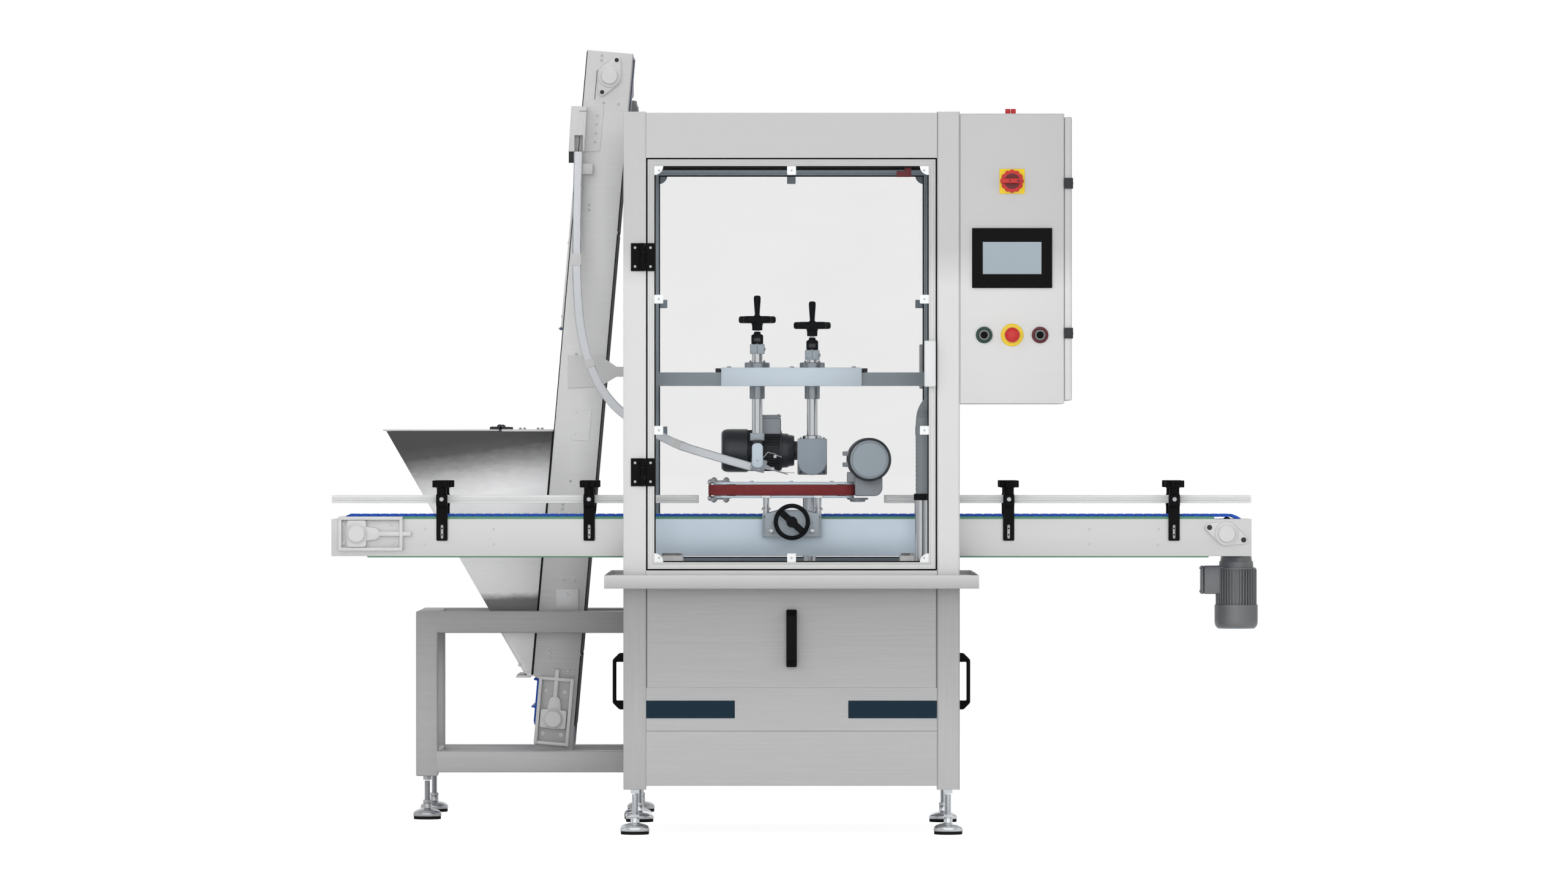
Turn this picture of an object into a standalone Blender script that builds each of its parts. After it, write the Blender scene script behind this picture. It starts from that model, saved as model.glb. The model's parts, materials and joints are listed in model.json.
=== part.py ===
"""Capping machine: enclosed capping station on a slat conveyor, with a cap elevator, hopper and chute.

Metres, +Z up, +X along the conveyor to its driven end, +Y away from the operator.
Everything is laid out from the middle of the front face of the body at floor level, and the whole
machine is then moved so that the middle of its footprint is the origin.
"""

from math import cos, pi, radians, sin

import bmesh
import bpy
from mathutils import Matrix, Vector

# Fits
SEAT = 0.0003          # between two pieces that touch
RUN = 0.0004           # round a shaft that slides or turns

# Body
BODY_WIDTH = 0.890
BODY_DEPTH = 0.760
BODY_TOP = 1.910
POST = 0.060
POST_FOOT = 0.119
POST_EDGE = 0.003
HOOD_HEIGHT = 0.119
TRAY_BOTTOM = 0.652
TRAY_HEIGHT = 0.035
TRAY_OVERHANG = 0.050
TRAY_SHEET = 0.003
TRAY_LIP = 0.012
BASE_BOTTOM = 0.129
SILL_TOP = 0.699
SKIN = 0.002           # lower housing skin set back from the post faces
GROOVE = 0.003
STRIPE_PANEL_TOP = 0.389
STRIPE_PANEL_BOTTOM = 0.274
PANEL_THICKNESS = 0.016

# Feet
PAD_RADIUS = 0.040
STUD_RADIUS = 0.0075
FOOT_NUT_RADIUS = 0.013

# Cross frame and side windows
CROSS_BAR = 0.040
CROSS_BAR_Z = 1.208
CROSS_BAR_DEPTH = 0.100
PANE = 0.005

# Doors
DOOR_GAP = 0.004
DOOR_BAR = 0.018
DOOR_THICKNESS = 0.020
DOOR_TOP = 1.787
DOOR_BOTTOM = 0.703
HINGE_INSET = 0.0515   # pin of a body door's hinge, from the body's left side
HINGE_X = HINGE_INSET - BODY_WIDTH / 2
HINGE_WIDTH = 0.063
HINGE_HEIGHT = 0.074
HINGE_LEAF = 0.005
HINGE_PIN_RADIUS = 0.0055
HINGE_UPPER_Z = 1.528
HINGE_LOWER_Z = 0.959
DOOR_HANDLE_Z = 1.246
DOOR_HANDLE_HEIGHT = 0.122
DOOR_HANDLE_WIDTH = 0.030
DOOR_HANDLE_DEPTH = 0.030

# Bridge handles on the housing
GRIP_LENGTH = 0.152
GRIP_WIDTH = 0.028
GRIP_HEIGHT = 0.038
GRIP_BAR = 0.010
GRIP_CHAMFER = 0.018
FRONT_GRIP_Z = 0.520
SIDE_GRIP_Z = 0.395

# Conveyor
BELT_LINE_Y = BODY_DEPTH / 2
CONVEYOR_LENGTH = 2.470
CONVEYOR_TOP = 0.8325
CONVEYOR_HEIGHT = 0.100
CONVEYOR_PLATE = 0.004
BELT_WIDTH = 0.120
BELT_TOP = 0.846
BELT_THICKNESS = 0.008
BELT_RADIUS = 0.050
END_SETBACK = 0.062
PEDESTAL_X = BODY_WIDTH / 2 - 0.125
PEDESTAL_WIDTH = 0.060
WEAR_STRIP = 0.006
DRIVE_BEARING_INSET = 0.0674
TAKE_UP_INSET = 0.068
DRIVE_BEARING_X = CONVEYOR_LENGTH / 2 - DRIVE_BEARING_INSET
TAKE_UP_X = TAKE_UP_INSET - CONVEYOR_LENGTH / 2
TIE_INSET = 0.435      # outer cross ties, from the ends
TIE_INNER_X = 0.270
SHAFT_Z = 0.793
BEARING_BOSS = 0.023
BEARING_BODY = 0.033
BEARING_BOLT_SPAN = 0.0975
BEARING_FLANGE = 0.009
BEARING_DEPTH = 0.026
BEARING_TURN = radians(-20)

# Guide rails
RAIL_TOP = 0.896
RAIL_HEIGHT = 0.021
RAIL_THICKNESS = 0.008
RAIL_SPACING = 0.090   # clear width between the rails
RAIL_INNER_X = 0.250
BRACKET_INSETS = {"infeed": (0.297, 0.692), "outfeed": (0.652, 0.208)}   # from the conveyor's ends
BRACKET_WIDTH = 0.030
BRACKET_PLATE = 0.006
BRACKET_FOOT = 0.774
BRACKET_HEAD_DEPTH = 0.026
RAIL_ROD_RADIUS = 0.006
KNOB_RADIUS = 0.027
KNOB_HEIGHT = 0.019
KNOB_STEM = 0.021

# Gear motors
MOTOR_RADIUS = 0.0585
WORM_BOX = 0.090
WORM_OFFSET = 0.0275
DRIVE_MOTOR_LENGTH = 0.196
CONVEYOR_BOX_DEPTH = 0.100
ELEVATOR_BOX_DEPTH = 0.130

# Capping head
COLUMN_RADIUS = 0.0145
CHUTE_COLUMN_X = -0.092
HEAD_COLUMN_X = 0.056
BRIDGE_WIDTH = 0.378
BRIDGE_TOP = 1.239
BRIDGE_HEIGHT = 0.050
BRIDGE_DEPTH = 0.090
SLEEVE_RADIUS = 0.0205
SLEEVE_LENGTH = 0.034
FLANGE_RADIUS = 0.034
FLANGE_HEIGHT = 0.014
CRANK_RADIUS = 0.049
CRANK_RIM = 0.0195
COLUMN_HEAD = 0.063    # clamp, indicator and spindle between a column and its handwheel
HEAD_BOTTOM = 0.950
HEAD_WIDTH = 0.079
HEAD_HEIGHT = 0.098
HEAD_DEPTH = 0.110
HEAD_MOTOR_Z = 1.0158
HEAD_MOTOR_Y = BELT_LINE_Y + 0.090
HEAD_TRAVEL = (0.0, 0.040)

# Side grip belts
GRIP_BELT_Z = 0.910
GRIP_BELT_HEIGHT = 0.028
GRIP_BELT_LEFT = -0.223
GRIP_BELT_RIGHT = 0.172
GRIP_PULLEY = 0.030
GRIP_BELT_THICKNESS = 0.010
GRIP_OPENING = 0.070   # clear width between the two belts at rest
GRIP_PLATE = 0.007
GRIP_TRAVEL = (-0.020, 0.030)
GUIDE_ROD_RADIUS = 0.008
GUIDE_ROD_XS = (-0.068, 0.072)
SADDLE_WIDTH = 0.158
SADDLE_TOP = 0.856
SADDLE_BOTTOM = 0.784
SADDLE_DEPTH = 0.024
SADDLE_AWAY = 0.106    # middle of a saddle, from the middle of the conveyor
SLIDE_SPAN = 0.110
SLIDE_Z = 0.802
SLIDE_RADIUS = 0.006
SPINDLE_RADIUS = 0.007
WHEEL_RADIUS = 0.049
WHEEL_X = 0.001
WHEEL_Z = 0.8255
MAST_RADIUS = 0.018
MAST_X = 0.049
MAST_Y = BODY_DEPTH - 0.160
MAST_TOP = 0.889

# Cable conduit
CONDUIT_RADIUS = 0.019
CONDUIT_X = BODY_WIDTH / 2 - 0.095
CONDUIT_Y = 0.150
CONDUIT_TOP = 0.885
HOSE_END_Z = 1.160

# Control cabinet
CABINET_WIDTH = 0.276
CABINET_BOTTOM = 1.140
CABINET_TOP = 1.908
CABINET_DEPTH = 0.300
CABINET_WALL = 0.004
CABINET_DOOR = 0.021
CABINET_DOOR_INSET = 0.009
CABINET_HINGE_ZS = (1.7225, 1.327)
SWITCH_Z = 1.7285
SCREEN_Z = 1.5256
BUTTON_Z = 1.322
BUTTON_SPACING = 0.074

# Elevator stand
STAND_FRONT = BODY_DEPTH + 0.100
STAND_DEPTH = 0.505
STAND_LEFT = -BODY_WIDTH / 2 - 0.588
STAND_RIGHT = 0.053 - BODY_WIDTH / 2
STAND_TOP = 0.573
STAND_RAIL_BOTTOM = 0.129
LUG_LEFT = -BODY_WIDTH / 2 - 0.205
LUG_WIDTH = 0.062

# Elevator and hopper
LEAN = radians(5)
ELEVATOR_FRONT = STAND_FRONT + 0.090
ELEVATOR_DEPTH = 0.325
ELEVATOR_WIDTH = 0.128
ELEVATOR_FOOT = (-BODY_WIDTH / 2 - 0.2905, 0.160)    # lower left corner of the side plate, X and Z
ELEVATOR_LENGTH = 1.970
ELEVATOR_PLATE = 0.004
ELEVATOR_BELT_THICKNESS = 0.006
CLEAT = 0.012
CLEAT_PITCH = 0.077
CLEAT_START = 0.130
FLARE_START = 1.200    # cover on the elevator's left side, along its lean
FLARE_SETBACK = 0.300
HOPPER_TOP = 1.069
HOPPER_BOTTOM = 0.391
HOPPER_LEFT = ELEVATOR_FOOT[0] - 0.3835
HOPPER_SHEET = 0.003
LID_LEFT = HOPPER_LEFT - 0.009
LID_HINGE_X = ELEVATOR_FOOT[0] - 0.0715
LID_SHEET = 0.005
LID_PIN_RADIUS = 0.006

# Cap chute
CHUTE_WIDTH = 0.023
CHUTE_DEPTH = 0.040
CHUTE_COVER_WIDTH = 0.058
CHUTE_COVER_HEIGHT = 0.132
CHUTE_COVER_DEPTH = 0.050
CHUTE_COVER_Z = 1.838


def material(name, colour, roughness, metallic):
    """A plain Principled material of that colour."""
    made = bpy.data.materials.new(name)
    made.use_nodes = True
    shader = made.node_tree.nodes["Principled BSDF"]
    shader.inputs["Base Color"].default_value = (*colour, 1)
    shader.inputs["Roughness"].default_value = roughness
    shader.inputs["Metallic"].default_value = metallic
    return made


def empty_at(name, place, parent=None, turn=None):
    """An empty that carries a moving or leaning group."""
    made = bpy.data.objects.new(name, None)
    made.location = place
    if turn is not None:
        made.rotation_euler = turn
    made.parent = parent
    bpy.context.scene.collection.objects.link(made)
    return made


def solid_from(bm, name):
    """An object made from a bmesh, with its faces pointing out."""
    bmesh.ops.recalc_face_normals(bm, faces=bm.faces)
    mesh = bpy.data.meshes.new(name)
    bm.to_mesh(mesh)
    bm.free()
    made = bpy.data.objects.new(name, mesh)
    bpy.context.scene.collection.objects.link(made)
    return made


def axes_of(along):
    """Matrix whose Z runs along X, Y or Z, so that a profile drawn flat stands where it belongs.

    An outline for "X" is drawn in Y and Z, one for "Y" in X and Z, one for "Z" in X and Y.
    """
    return {
        "X": Matrix(((0, 0, 1, 0), (1, 0, 0, 0), (0, 1, 0, 0), (0, 0, 0, 1))),
        "Y": Matrix(((1, 0, 0, 0), (0, 0, 1, 0), (0, 1, 0, 0), (0, 0, 0, 1))),
        "Z": Matrix.Identity(4),
    }[along]


def prism(name, outline, along, start, end):
    """A closed outline extruded from start to end along an axis."""
    bm = bmesh.new()
    place = axes_of(along)
    corners = [bm.verts.new(place @ Vector((u, v, start))) for u, v in outline]
    face = bm.faces.new(corners)
    grown = bmesh.ops.extrude_face_region(bm, geom=[face])
    moved = [g for g in grown["geom"] if isinstance(g, bmesh.types.BMVert)]
    step = (place.to_3x3() @ Vector((0, 0, 1))) * (end - start)
    bmesh.ops.translate(bm, verts=moved, vec=step)
    return solid_from(bm, name)


def block(name, low, high):
    """A rectangular block between two corners."""
    outline = ((low[0], low[1]), (high[0], low[1]), (high[0], high[1]), (low[0], high[1]))
    return prism(name, outline, "Z", low[2], high[2])


def rounded(width, height, radius, steps=3, centre=(0, 0)):
    """Outline of a rectangle with round corners."""
    points = []
    corners = ((1, 1, 0), (-1, 1, pi / 2), (-1, -1, pi), (1, -1, 3 * pi / 2))
    for side_u, side_v, first in corners:
        for step in range(steps + 1):
            angle = first + step * pi / 2 / steps
            points.append(
                (
                    centre[0] + side_u * (width / 2 - radius) + radius * cos(angle),
                    centre[1] + side_v * (height / 2 - radius) + radius * sin(angle),
                )
            )
    return points


def circle(radius, sides, centre=(0, 0), first=0.0):
    """Outline of a circle."""
    turn = 2 * pi / sides
    return [
        (centre[0] + radius * cos(first + i * turn), centre[1] + radius * sin(first + i * turn))
        for i in range(sides)
    ]


def rod(name, radius, along, centre, start, end, sides=16):
    """A round bar along an axis."""
    return prism(name, circle(radius, sides, centre), along, start, end)


def turned(name, profile, place, along="Z", sides=20):
    """A profile of (radius, height) points revolved about an axis through place."""
    bm = bmesh.new()
    stand = Matrix.Translation(place) @ axes_of(along)
    rings = []
    for radius, height in profile:
        if radius == 0:
            rings.append([bm.verts.new(stand @ Vector((0, 0, height)))])
            continue
        rings.append([bm.verts.new(stand @ Vector((u, v, height))) for u, v in circle(radius, sides)])
    for lower, upper in zip(rings, rings[1:]):
        for i in range(sides):
            j = (i + 1) % sides
            around = [lower[i % len(lower)], lower[j % len(lower)], upper[j % len(upper)], upper[i % len(upper)]]
            corners = list(dict.fromkeys(around))
            bm.faces.new(corners)
    for ring in (rings[0], rings[-1]):
        if len(ring) > 1:
            bm.faces.new(ring)
    return solid_from(bm, name)


def boolean(body, tool, operation):
    """Joins a tool to a body or cuts it out, and removes the tool."""
    change = body.modifiers.new(operation.lower(), "BOOLEAN")
    change.operation = operation
    change.object = tool
    bpy.context.view_layer.update()
    graph = bpy.context.evaluated_depsgraph_get()
    mesh = bpy.data.meshes.new_from_object(body.evaluated_get(graph))
    body.modifiers.clear()
    body.data = mesh
    bpy.data.objects.remove(tool)
    return body


def join(name, *pieces):
    """One welded or cast piece from several that run into each other."""
    body = pieces[0]
    for piece in pieces[1:]:
        boolean(body, piece, "UNION")
    body.name = name
    return body


def cut(body, *tools):
    """A body less its cut-outs."""
    for tool in tools:
        boolean(body, tool, "DIFFERENCE")
    return body


def finish(body, finish_material, parent=None, smooth=False):
    """Gives a piece its material and hangs it on what carries it, without moving it."""
    body.data.materials.clear()
    body.data.materials.append(finish_material)
    if parent is not None:
        bpy.context.view_layer.update()
        body.parent = parent
        body.matrix_parent_inverse = parent.matrix_world.inverted()
    if smooth:
        body.data.shade_smooth()
        body.data.set_sharp_from_angle(angle=radians(35))
    return body


def clear_scene():
    """Removes what the startup file holds."""
    for old in list(bpy.data.objects):
        bpy.data.objects.remove(old)


def make_materials():
    """The finishes, by name."""
    return {
        "steel": material("brushed_steel", (0.66, 0.66, 0.66), 0.38, 0.9),
        "chrome": material("chrome", (0.72, 0.73, 0.75), 0.12, 1.0),
        "aluminium": material("aluminium", (0.60, 0.63, 0.66), 0.35, 0.85),
        "cast": material("motor_grey", (0.30, 0.32, 0.34), 0.45, 0.3),
        "black": material("black_plastic", (0.012, 0.012, 0.013), 0.45, 0.0),
        "pane": material("clear_pane", (0.85, 0.88, 0.90), 0.05, 0.0),
        "blue": material("belt_blue", (0.02, 0.10, 0.42), 0.45, 0.0),
        "rail": material("rail_white", (0.74, 0.75, 0.75), 0.45, 0.0),
        "red_belt": material("belt_red", (0.25, 0.02, 0.02), 0.7, 0.0),
        "red": material("signal_red", (0.60, 0.01, 0.01), 0.4, 0.0),
        "green": material("button_green", (0.01, 0.06, 0.04), 0.4, 0.0),
        "paint": material("cabinet_grey", (0.68, 0.68, 0.68), 0.45, 0.2),
    }


def make_posts(finishes):
    """Four square posts from the feet to the top of the hood, the left ones with the doors' fixed leaves."""
    half = BODY_WIDTH / 2 - POST / 2
    for side, x in (("left", -half), ("right", half)):
        for place, y, outward in (("front", POST / 2, -1), ("rear", BODY_DEPTH - POST / 2, 1)):
            outline = rounded(POST, POST, POST_EDGE, 1, (x, y))
            post = prism("post", outline, "Z", POST_FOOT, BODY_TOP + TRAY_SHEET)
            if side == "left":
                face = y + outward * POST / 2
                for z in (HINGE_UPPER_Z, HINGE_LOWER_Z):
                    join("post", post, hinge_leaf(-1, (HINGE_X, face, z), outward))
            post.name = f"post_{place}_{side}"
            finish(post, finishes["steel"])


def notched_outline(setback):
    """Outline of a filling between the four posts, its faces set back from theirs."""
    outer = BODY_WIDTH / 2 - setback
    inner = BODY_WIDTH / 2 - POST - SEAT
    front, rear = setback, BODY_DEPTH - setback
    deep_front, deep_rear = POST + SEAT, BODY_DEPTH - POST - SEAT
    return [
        (outer, deep_rear), (inner, deep_rear), (inner, rear),
        (-inner, rear), (-inner, deep_rear), (-outer, deep_rear),
        (-outer, deep_front), (-inner, deep_front), (-inner, front),
        (inner, front), (inner, deep_front), (outer, deep_front),
    ]


def make_hood(finishes):
    """Closed head of the body, between the posts."""
    hood = prism("top_hood", notched_outline(0), "Z", BODY_TOP - HOOD_HEIGHT, BODY_TOP)
    finish(hood, finishes["steel"])


def make_tray(finishes):
    """Drip tray round the body, with a turned-up rim, cut out for the posts."""
    left = -BODY_WIDTH / 2 - TRAY_OVERHANG
    front = -TRAY_OVERHANG
    rear = BODY_DEPTH + TRAY_OVERHANG
    tray = block("drip_tray", (left, front, TRAY_BOTTOM), (-left, rear, TRAY_BOTTOM + TRAY_HEIGHT))
    hollow_low = (left + TRAY_SHEET, front + TRAY_SHEET, TRAY_BOTTOM + TRAY_HEIGHT - TRAY_LIP)
    hollow_high = (-left - TRAY_SHEET, rear - TRAY_SHEET, TRAY_BOTTOM + TRAY_HEIGHT + TRAY_LIP)
    cut(tray, block("hollow", hollow_low, hollow_high))
    for side in (-1, 1):
        for y in (POST / 2, BODY_DEPTH - POST / 2):
            centre = (side * (BODY_WIDTH - POST) / 2, y)
            hole = rounded(POST + 2 * SEAT, POST + 2 * SEAT, POST_EDGE, 1, centre)
            low = TRAY_BOTTOM - TRAY_SHEET
            cut(tray, prism("hole", hole, "Z", low, TRAY_BOTTOM + TRAY_HEIGHT))
    inner = BODY_WIDTH / 2 - POST - SEAT
    low = TRAY_BOTTOM + TRAY_HEIGHT - TRAY_LIP - SKIN
    for y in (0, BODY_DEPTH - POST):
        join("drip_tray", tray, block("sill", (-inner, y, low), (inner, y + POST, SILL_TOP)))
    finish(tray, finishes["steel"])


def make_base(finishes):
    """Closed lower housing with a groove between its fixed front panels, and the lift-off panel."""
    inner_x = BODY_WIDTH / 2 - POST - SEAT
    top = TRAY_BOTTOM - SEAT
    base = prism("base_housing", notched_outline(SKIN), "Z", BASE_BOTTOM, top)
    recess_back = SKIN + PANEL_THICKNESS + SEAT
    cut(base, block("recess", (-BODY_WIDTH, -POST, STRIPE_PANEL_TOP), (BODY_WIDTH, recess_back, top + POST)))
    groove_low = STRIPE_PANEL_BOTTOM - GROOVE / 2
    cut(base, block("groove", (-BODY_WIDTH, -POST, groove_low), (BODY_WIDTH, SKIN + GROOVE, groove_low + GROOVE)))
    finish(base, finishes["steel"])
    outline = rounded(2 * inner_x - 2 * SEAT, PANEL_THICKNESS, POST_EDGE, 1, (0, SKIN + PANEL_THICKNESS / 2))
    panel = prism("lift_off_panel", outline, "Z", STRIPE_PANEL_TOP + SEAT, top)
    finish(panel, finishes["steel"])


def grip_outline():
    """Side view of a bridge handle: a bar on two chamfered legs, drawn out from the panel."""
    half = GRIP_LENGTH / 2
    inner_half = half - GRIP_BAR - GRIP_CHAMFER / 2
    inner_height = GRIP_HEIGHT - GRIP_BAR
    return [
        (-half, 0),
        (-half, GRIP_HEIGHT - GRIP_CHAMFER),
        (-half + GRIP_CHAMFER, GRIP_HEIGHT),
        (half - GRIP_CHAMFER, GRIP_HEIGHT),
        (half, GRIP_HEIGHT - GRIP_CHAMFER),
        (half, 0),
        (inner_half, 0),
        (inner_half, inner_height - GRIP_BAR / 2),
        (inner_half - GRIP_BAR / 2, inner_height),
        (-inner_half + GRIP_BAR / 2, inner_height),
        (-inner_half, inner_height - GRIP_BAR / 2),
        (-inner_half, 0),
    ]


def make_grips(finishes):
    """Black bridge handles on the front, the sides and the rear of the lower housing."""
    half_width = GRIP_WIDTH / 2
    middle = BODY_DEPTH / 2
    front = [(SKIN - SEAT - out, FRONT_GRIP_Z + up) for up, out in grip_outline()]
    finish(prism("handle_front", front, "X", -half_width, half_width), finishes["black"])
    rear_face = BODY_DEPTH - SKIN + SEAT
    rear = [(rear_face + out, SIDE_GRIP_Z + up) for up, out in grip_outline()]
    finish(prism("handle_rear", rear, "X", -half_width, half_width), finishes["black"])
    for name, side in (("handle_left", -1), ("handle_right", 1)):
        face = BODY_WIDTH / 2 - SKIN + SEAT
        shape = [(side * (face + out), SIDE_GRIP_Z + up) for up, out in grip_outline()]
        grip = prism(name, shape, "Y", middle - half_width, middle + half_width)
        finish(grip, finishes["black"])


def foot_profile(stud_top):
    """Radius and height of a levelling foot: rubber pad, domed plate, neck, stud and lock nut."""
    return [
        (PAD_RADIUS - 0.002, 0),
        (PAD_RADIUS - 0.002, 0.010),
        (PAD_RADIUS, 0.012),
        (PAD_RADIUS, 0.020),
        (PAD_RADIUS - 0.008, 0.028),
        (0.014, 0.031),
        (0.012, 0.044),
        (STUD_RADIUS, 0.046),
        (STUD_RADIUS, stud_top - 0.011),
        (FOOT_NUT_RADIUS, stud_top - 0.011),
        (FOOT_NUT_RADIUS, stud_top),
    ]


def make_feet(finishes):
    """The body's four levelling feet."""
    for side, x in (("left", -1), ("right", 1)):
        for place, y in (("front", POST / 2), ("rear", BODY_DEPTH - POST / 2)):
            at = (x * (BODY_WIDTH - POST) / 2, y, 0)
            foot = turned(f"foot_{place}_{side}", foot_profile(POST_FOOT - SEAT), at)
            finish(foot, finishes["chrome"], smooth=True)


def make_cross_frame(finishes):
    """Side rails from post to post and the bar across the station that carries the bridge."""
    half = CROSS_BAR / 2
    outer = BODY_WIDTH / 2 - SKIN
    low, high = CROSS_BAR_Z - half, CROSS_BAR_Z + half
    rails = [
        block("rail", (min(a, b), POST + SEAT, low), (max(a, b), BODY_DEPTH - POST - SEAT, high))
        for a, b in ((-outer, -outer + CROSS_BAR), (outer - CROSS_BAR, outer))
    ]
    bar_y = BELT_LINE_Y - CROSS_BAR_DEPTH / 2
    bar = block(
        "bar",
        (-outer + half, bar_y, low + SKIN),
        (outer - half, bar_y + CROSS_BAR_DEPTH, high - SKIN),
    )
    frame = join("cross_frame", bar, *rails)
    for x in (CHUTE_COLUMN_X, HEAD_COLUMN_X):
        hole_radius = SLEEVE_RADIUS + SEAT
        cut(frame, rod("hole", hole_radius, "Z", (x, BELT_LINE_Y), low - POST, high + POST, 24))
    finish(frame, finishes["aluminium"])


def make_side_panes(finishes):
    """Clear sheets in the sides, from the side rails up to the hood."""
    low = CROSS_BAR_Z + CROSS_BAR / 2 + SEAT
    high = BODY_TOP - HOOD_HEIGHT - SEAT
    x = (BODY_WIDTH - POST) / 2
    for name, side in (("side_pane_left", -1), ("side_pane_right", 1)):
        pane = block(
            name,
            (side * x - PANE / 2, POST + SEAT, low),
            (side * x + PANE / 2, BODY_DEPTH - POST - SEAT, high),
        )
        finish(pane, finishes["pane"])


def hinge_leaf(side, centre, outward):
    """One leaf of a hinge: its plate and its share of the knuckle.

    side is -1 for the fixed leaf and 1 for the door's, outward is -1 for the front door and 1 for the rear.
    """
    pin_x, face_y, z = centre
    knuckle = HINGE_LEAF + HINGE_PIN_RADIUS - SEAT
    plate_start = pin_x + side * (HINGE_PIN_RADIUS + RUN)
    plate_end = pin_x + side * HINGE_WIDTH / 2
    # The fixed leaf runs into its post, the door's stands clear of it.
    near = face_y - outward * (SKIN if side < 0 else -SEAT)
    far = face_y + outward * HINGE_LEAF
    half = HINGE_HEIGHT / 2
    plate = block(
        "leaf",
        (min(plate_start, plate_end), min(near, far), z - half),
        (max(plate_start, plate_end), max(near, far), z + half),
    )
    pin_y = face_y + outward * knuckle
    third = HINGE_HEIGHT / 3
    spans = ((-half, -third / 2 - RUN), (third / 2 + RUN, half)) if side < 0 else ((-third / 2, third / 2),)
    pieces = [plate]
    for low, high in spans:
        pieces.append(rod("knuckle", HINGE_PIN_RADIUS, "Z", (pin_x, pin_y), z + low, z + high, 12))
        web_low = (min(pin_x, plate_start + side * SKIN), min(near, pin_y), z + low)
        web_high = (max(pin_x, plate_start + side * SKIN), max(near, pin_y), z + high)
        pieces.append(block("web", web_low, web_high))
    return join("hinge", *pieces)


def hinge_pin_y(outward):
    """Distance of a body door's hinge pin from the front face."""
    face = 0 if outward < 0 else BODY_DEPTH
    return face + outward * (HINGE_LEAF + HINGE_PIN_RADIUS)


def make_body_door(finishes, place, outward):
    """A framed clear door in the front or the rear of the body, on two hinges at its left side."""
    face = 0 if outward < 0 else BODY_DEPTH
    pivot = empty_at(f"{place}_door_pivot", (HINGE_X, hinge_pin_y(outward), 0))
    half_width = BODY_WIDTH / 2 - POST - DOOR_GAP
    middle_z = (DOOR_TOP + DOOR_BOTTOM) / 2
    height = DOOR_TOP - DOOR_BOTTOM
    y_low = min(face, face - outward * DOOR_THICKNESS)
    frame = prism(
        "frame", rounded(2 * half_width, height, POST_EDGE, 1, (0, middle_z)), "Y", y_low, y_low + DOOR_THICKNESS
    )
    window_x = half_width - DOOR_BAR
    low = (-window_x, -POST, DOOR_BOTTOM + DOOR_BAR)
    cut(frame, block("window", low, (window_x, BODY_DEPTH + POST, DOOR_TOP - DOOR_BAR)))
    pieces = [frame]
    half_leaf = HINGE_HEIGHT / 2
    for z in (HINGE_UPPER_Z, HINGE_LOWER_Z):
        reach = block(
            "reach",
            (-half_width + POST_EDGE, face - SKIN, z - half_leaf),
            (HINGE_X + HINGE_WIDTH / 2, face + SKIN, z + half_leaf),
        )
        pieces.append(join("leaf", hinge_leaf(1, (HINGE_X, face, z), outward), reach))
    handle_x = half_width - DOOR_HANDLE_WIDTH / 2
    grip = prism(
        "grip",
        rounded(DOOR_HANDLE_WIDTH, DOOR_HANDLE_DEPTH, 0.006, 2,
                (handle_x, face + outward * (DOOR_HANDLE_DEPTH / 2 - SKIN))),
        "Z",
        DOOR_HANDLE_Z - DOOR_HANDLE_HEIGHT / 2,
        DOOR_HANDLE_Z + DOOR_HANDLE_HEIGHT / 2,
    )
    door = join(f"{place}_door_frame", *pieces, grip)
    finish(door, finishes["aluminium"], pivot)
    pane_y = face - outward * DOOR_THICKNESS / 2
    pane = block(
        f"{place}_door_pane",
        (-half_width + DOOR_BAR + SEAT, pane_y - PANE / 2, DOOR_BOTTOM + DOOR_BAR + SEAT),
        (half_width - DOOR_BAR - SEAT, pane_y + PANE / 2, DOOR_TOP - DOOR_BAR - SEAT),
    )
    finish(pane, finishes["pane"], pivot)


def motor_profile(length, radius):
    """Radius and distance of a small geared motor, from its flange to the end of its fan cover."""
    return [
        (radius * 0.62, 0),
        (radius * 0.72, length * 0.02),
        (radius * 0.88, length * 0.15),
        (radius, length * 0.16),
        (radius, length * 0.90),
        (radius * 0.93, length * 0.975),
        (radius * 0.80, length),
    ]


def geared_motor(name, shaft, side, drop_x, length, depth, finishes):
    """Worm box on a shaft along Y with its motor hanging below, and the motor's terminal box."""
    x, y, z = shaft
    box_low = min(y, y + side * depth)
    box = prism(
        "box", rounded(WORM_BOX, WORM_BOX, 0.012, 2, (x + drop_x / 2, z)), "Y", box_low, box_low + depth
    )
    middle = (x + drop_x, box_low + depth / 2, z - WORM_BOX / 2 + SKIN)
    flipped = [(radius, -height) for radius, height in motor_profile(length, MOTOR_RADIUS)]
    motor = turned("motor", flipped, middle, "Z", 24)
    terminal = block(
        "terminal",
        (middle[0] - MOTOR_RADIUS * 1.65, middle[1] - 0.030, middle[2] - length * 0.55),
        (middle[0] - MOTOR_RADIUS * 0.5, middle[1] + 0.030, middle[2] - length * 0.18),
    )
    finish(join(name, box, motor, terminal), finishes["cast"], smooth=True)


def stadium(left, right, z, radius, steps=8):
    """Outline of a belt loop's side: two half rounds joined by straight runs."""
    points = []
    for i in range(steps + 1):
        angle = -pi / 2 + i * pi / steps
        points.append((right + radius * cos(angle), z + radius * sin(angle)))
    for i in range(steps + 1):
        angle = pi / 2 + i * pi / steps
        points.append((left + radius * cos(angle), z + radius * sin(angle)))
    return points


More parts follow.
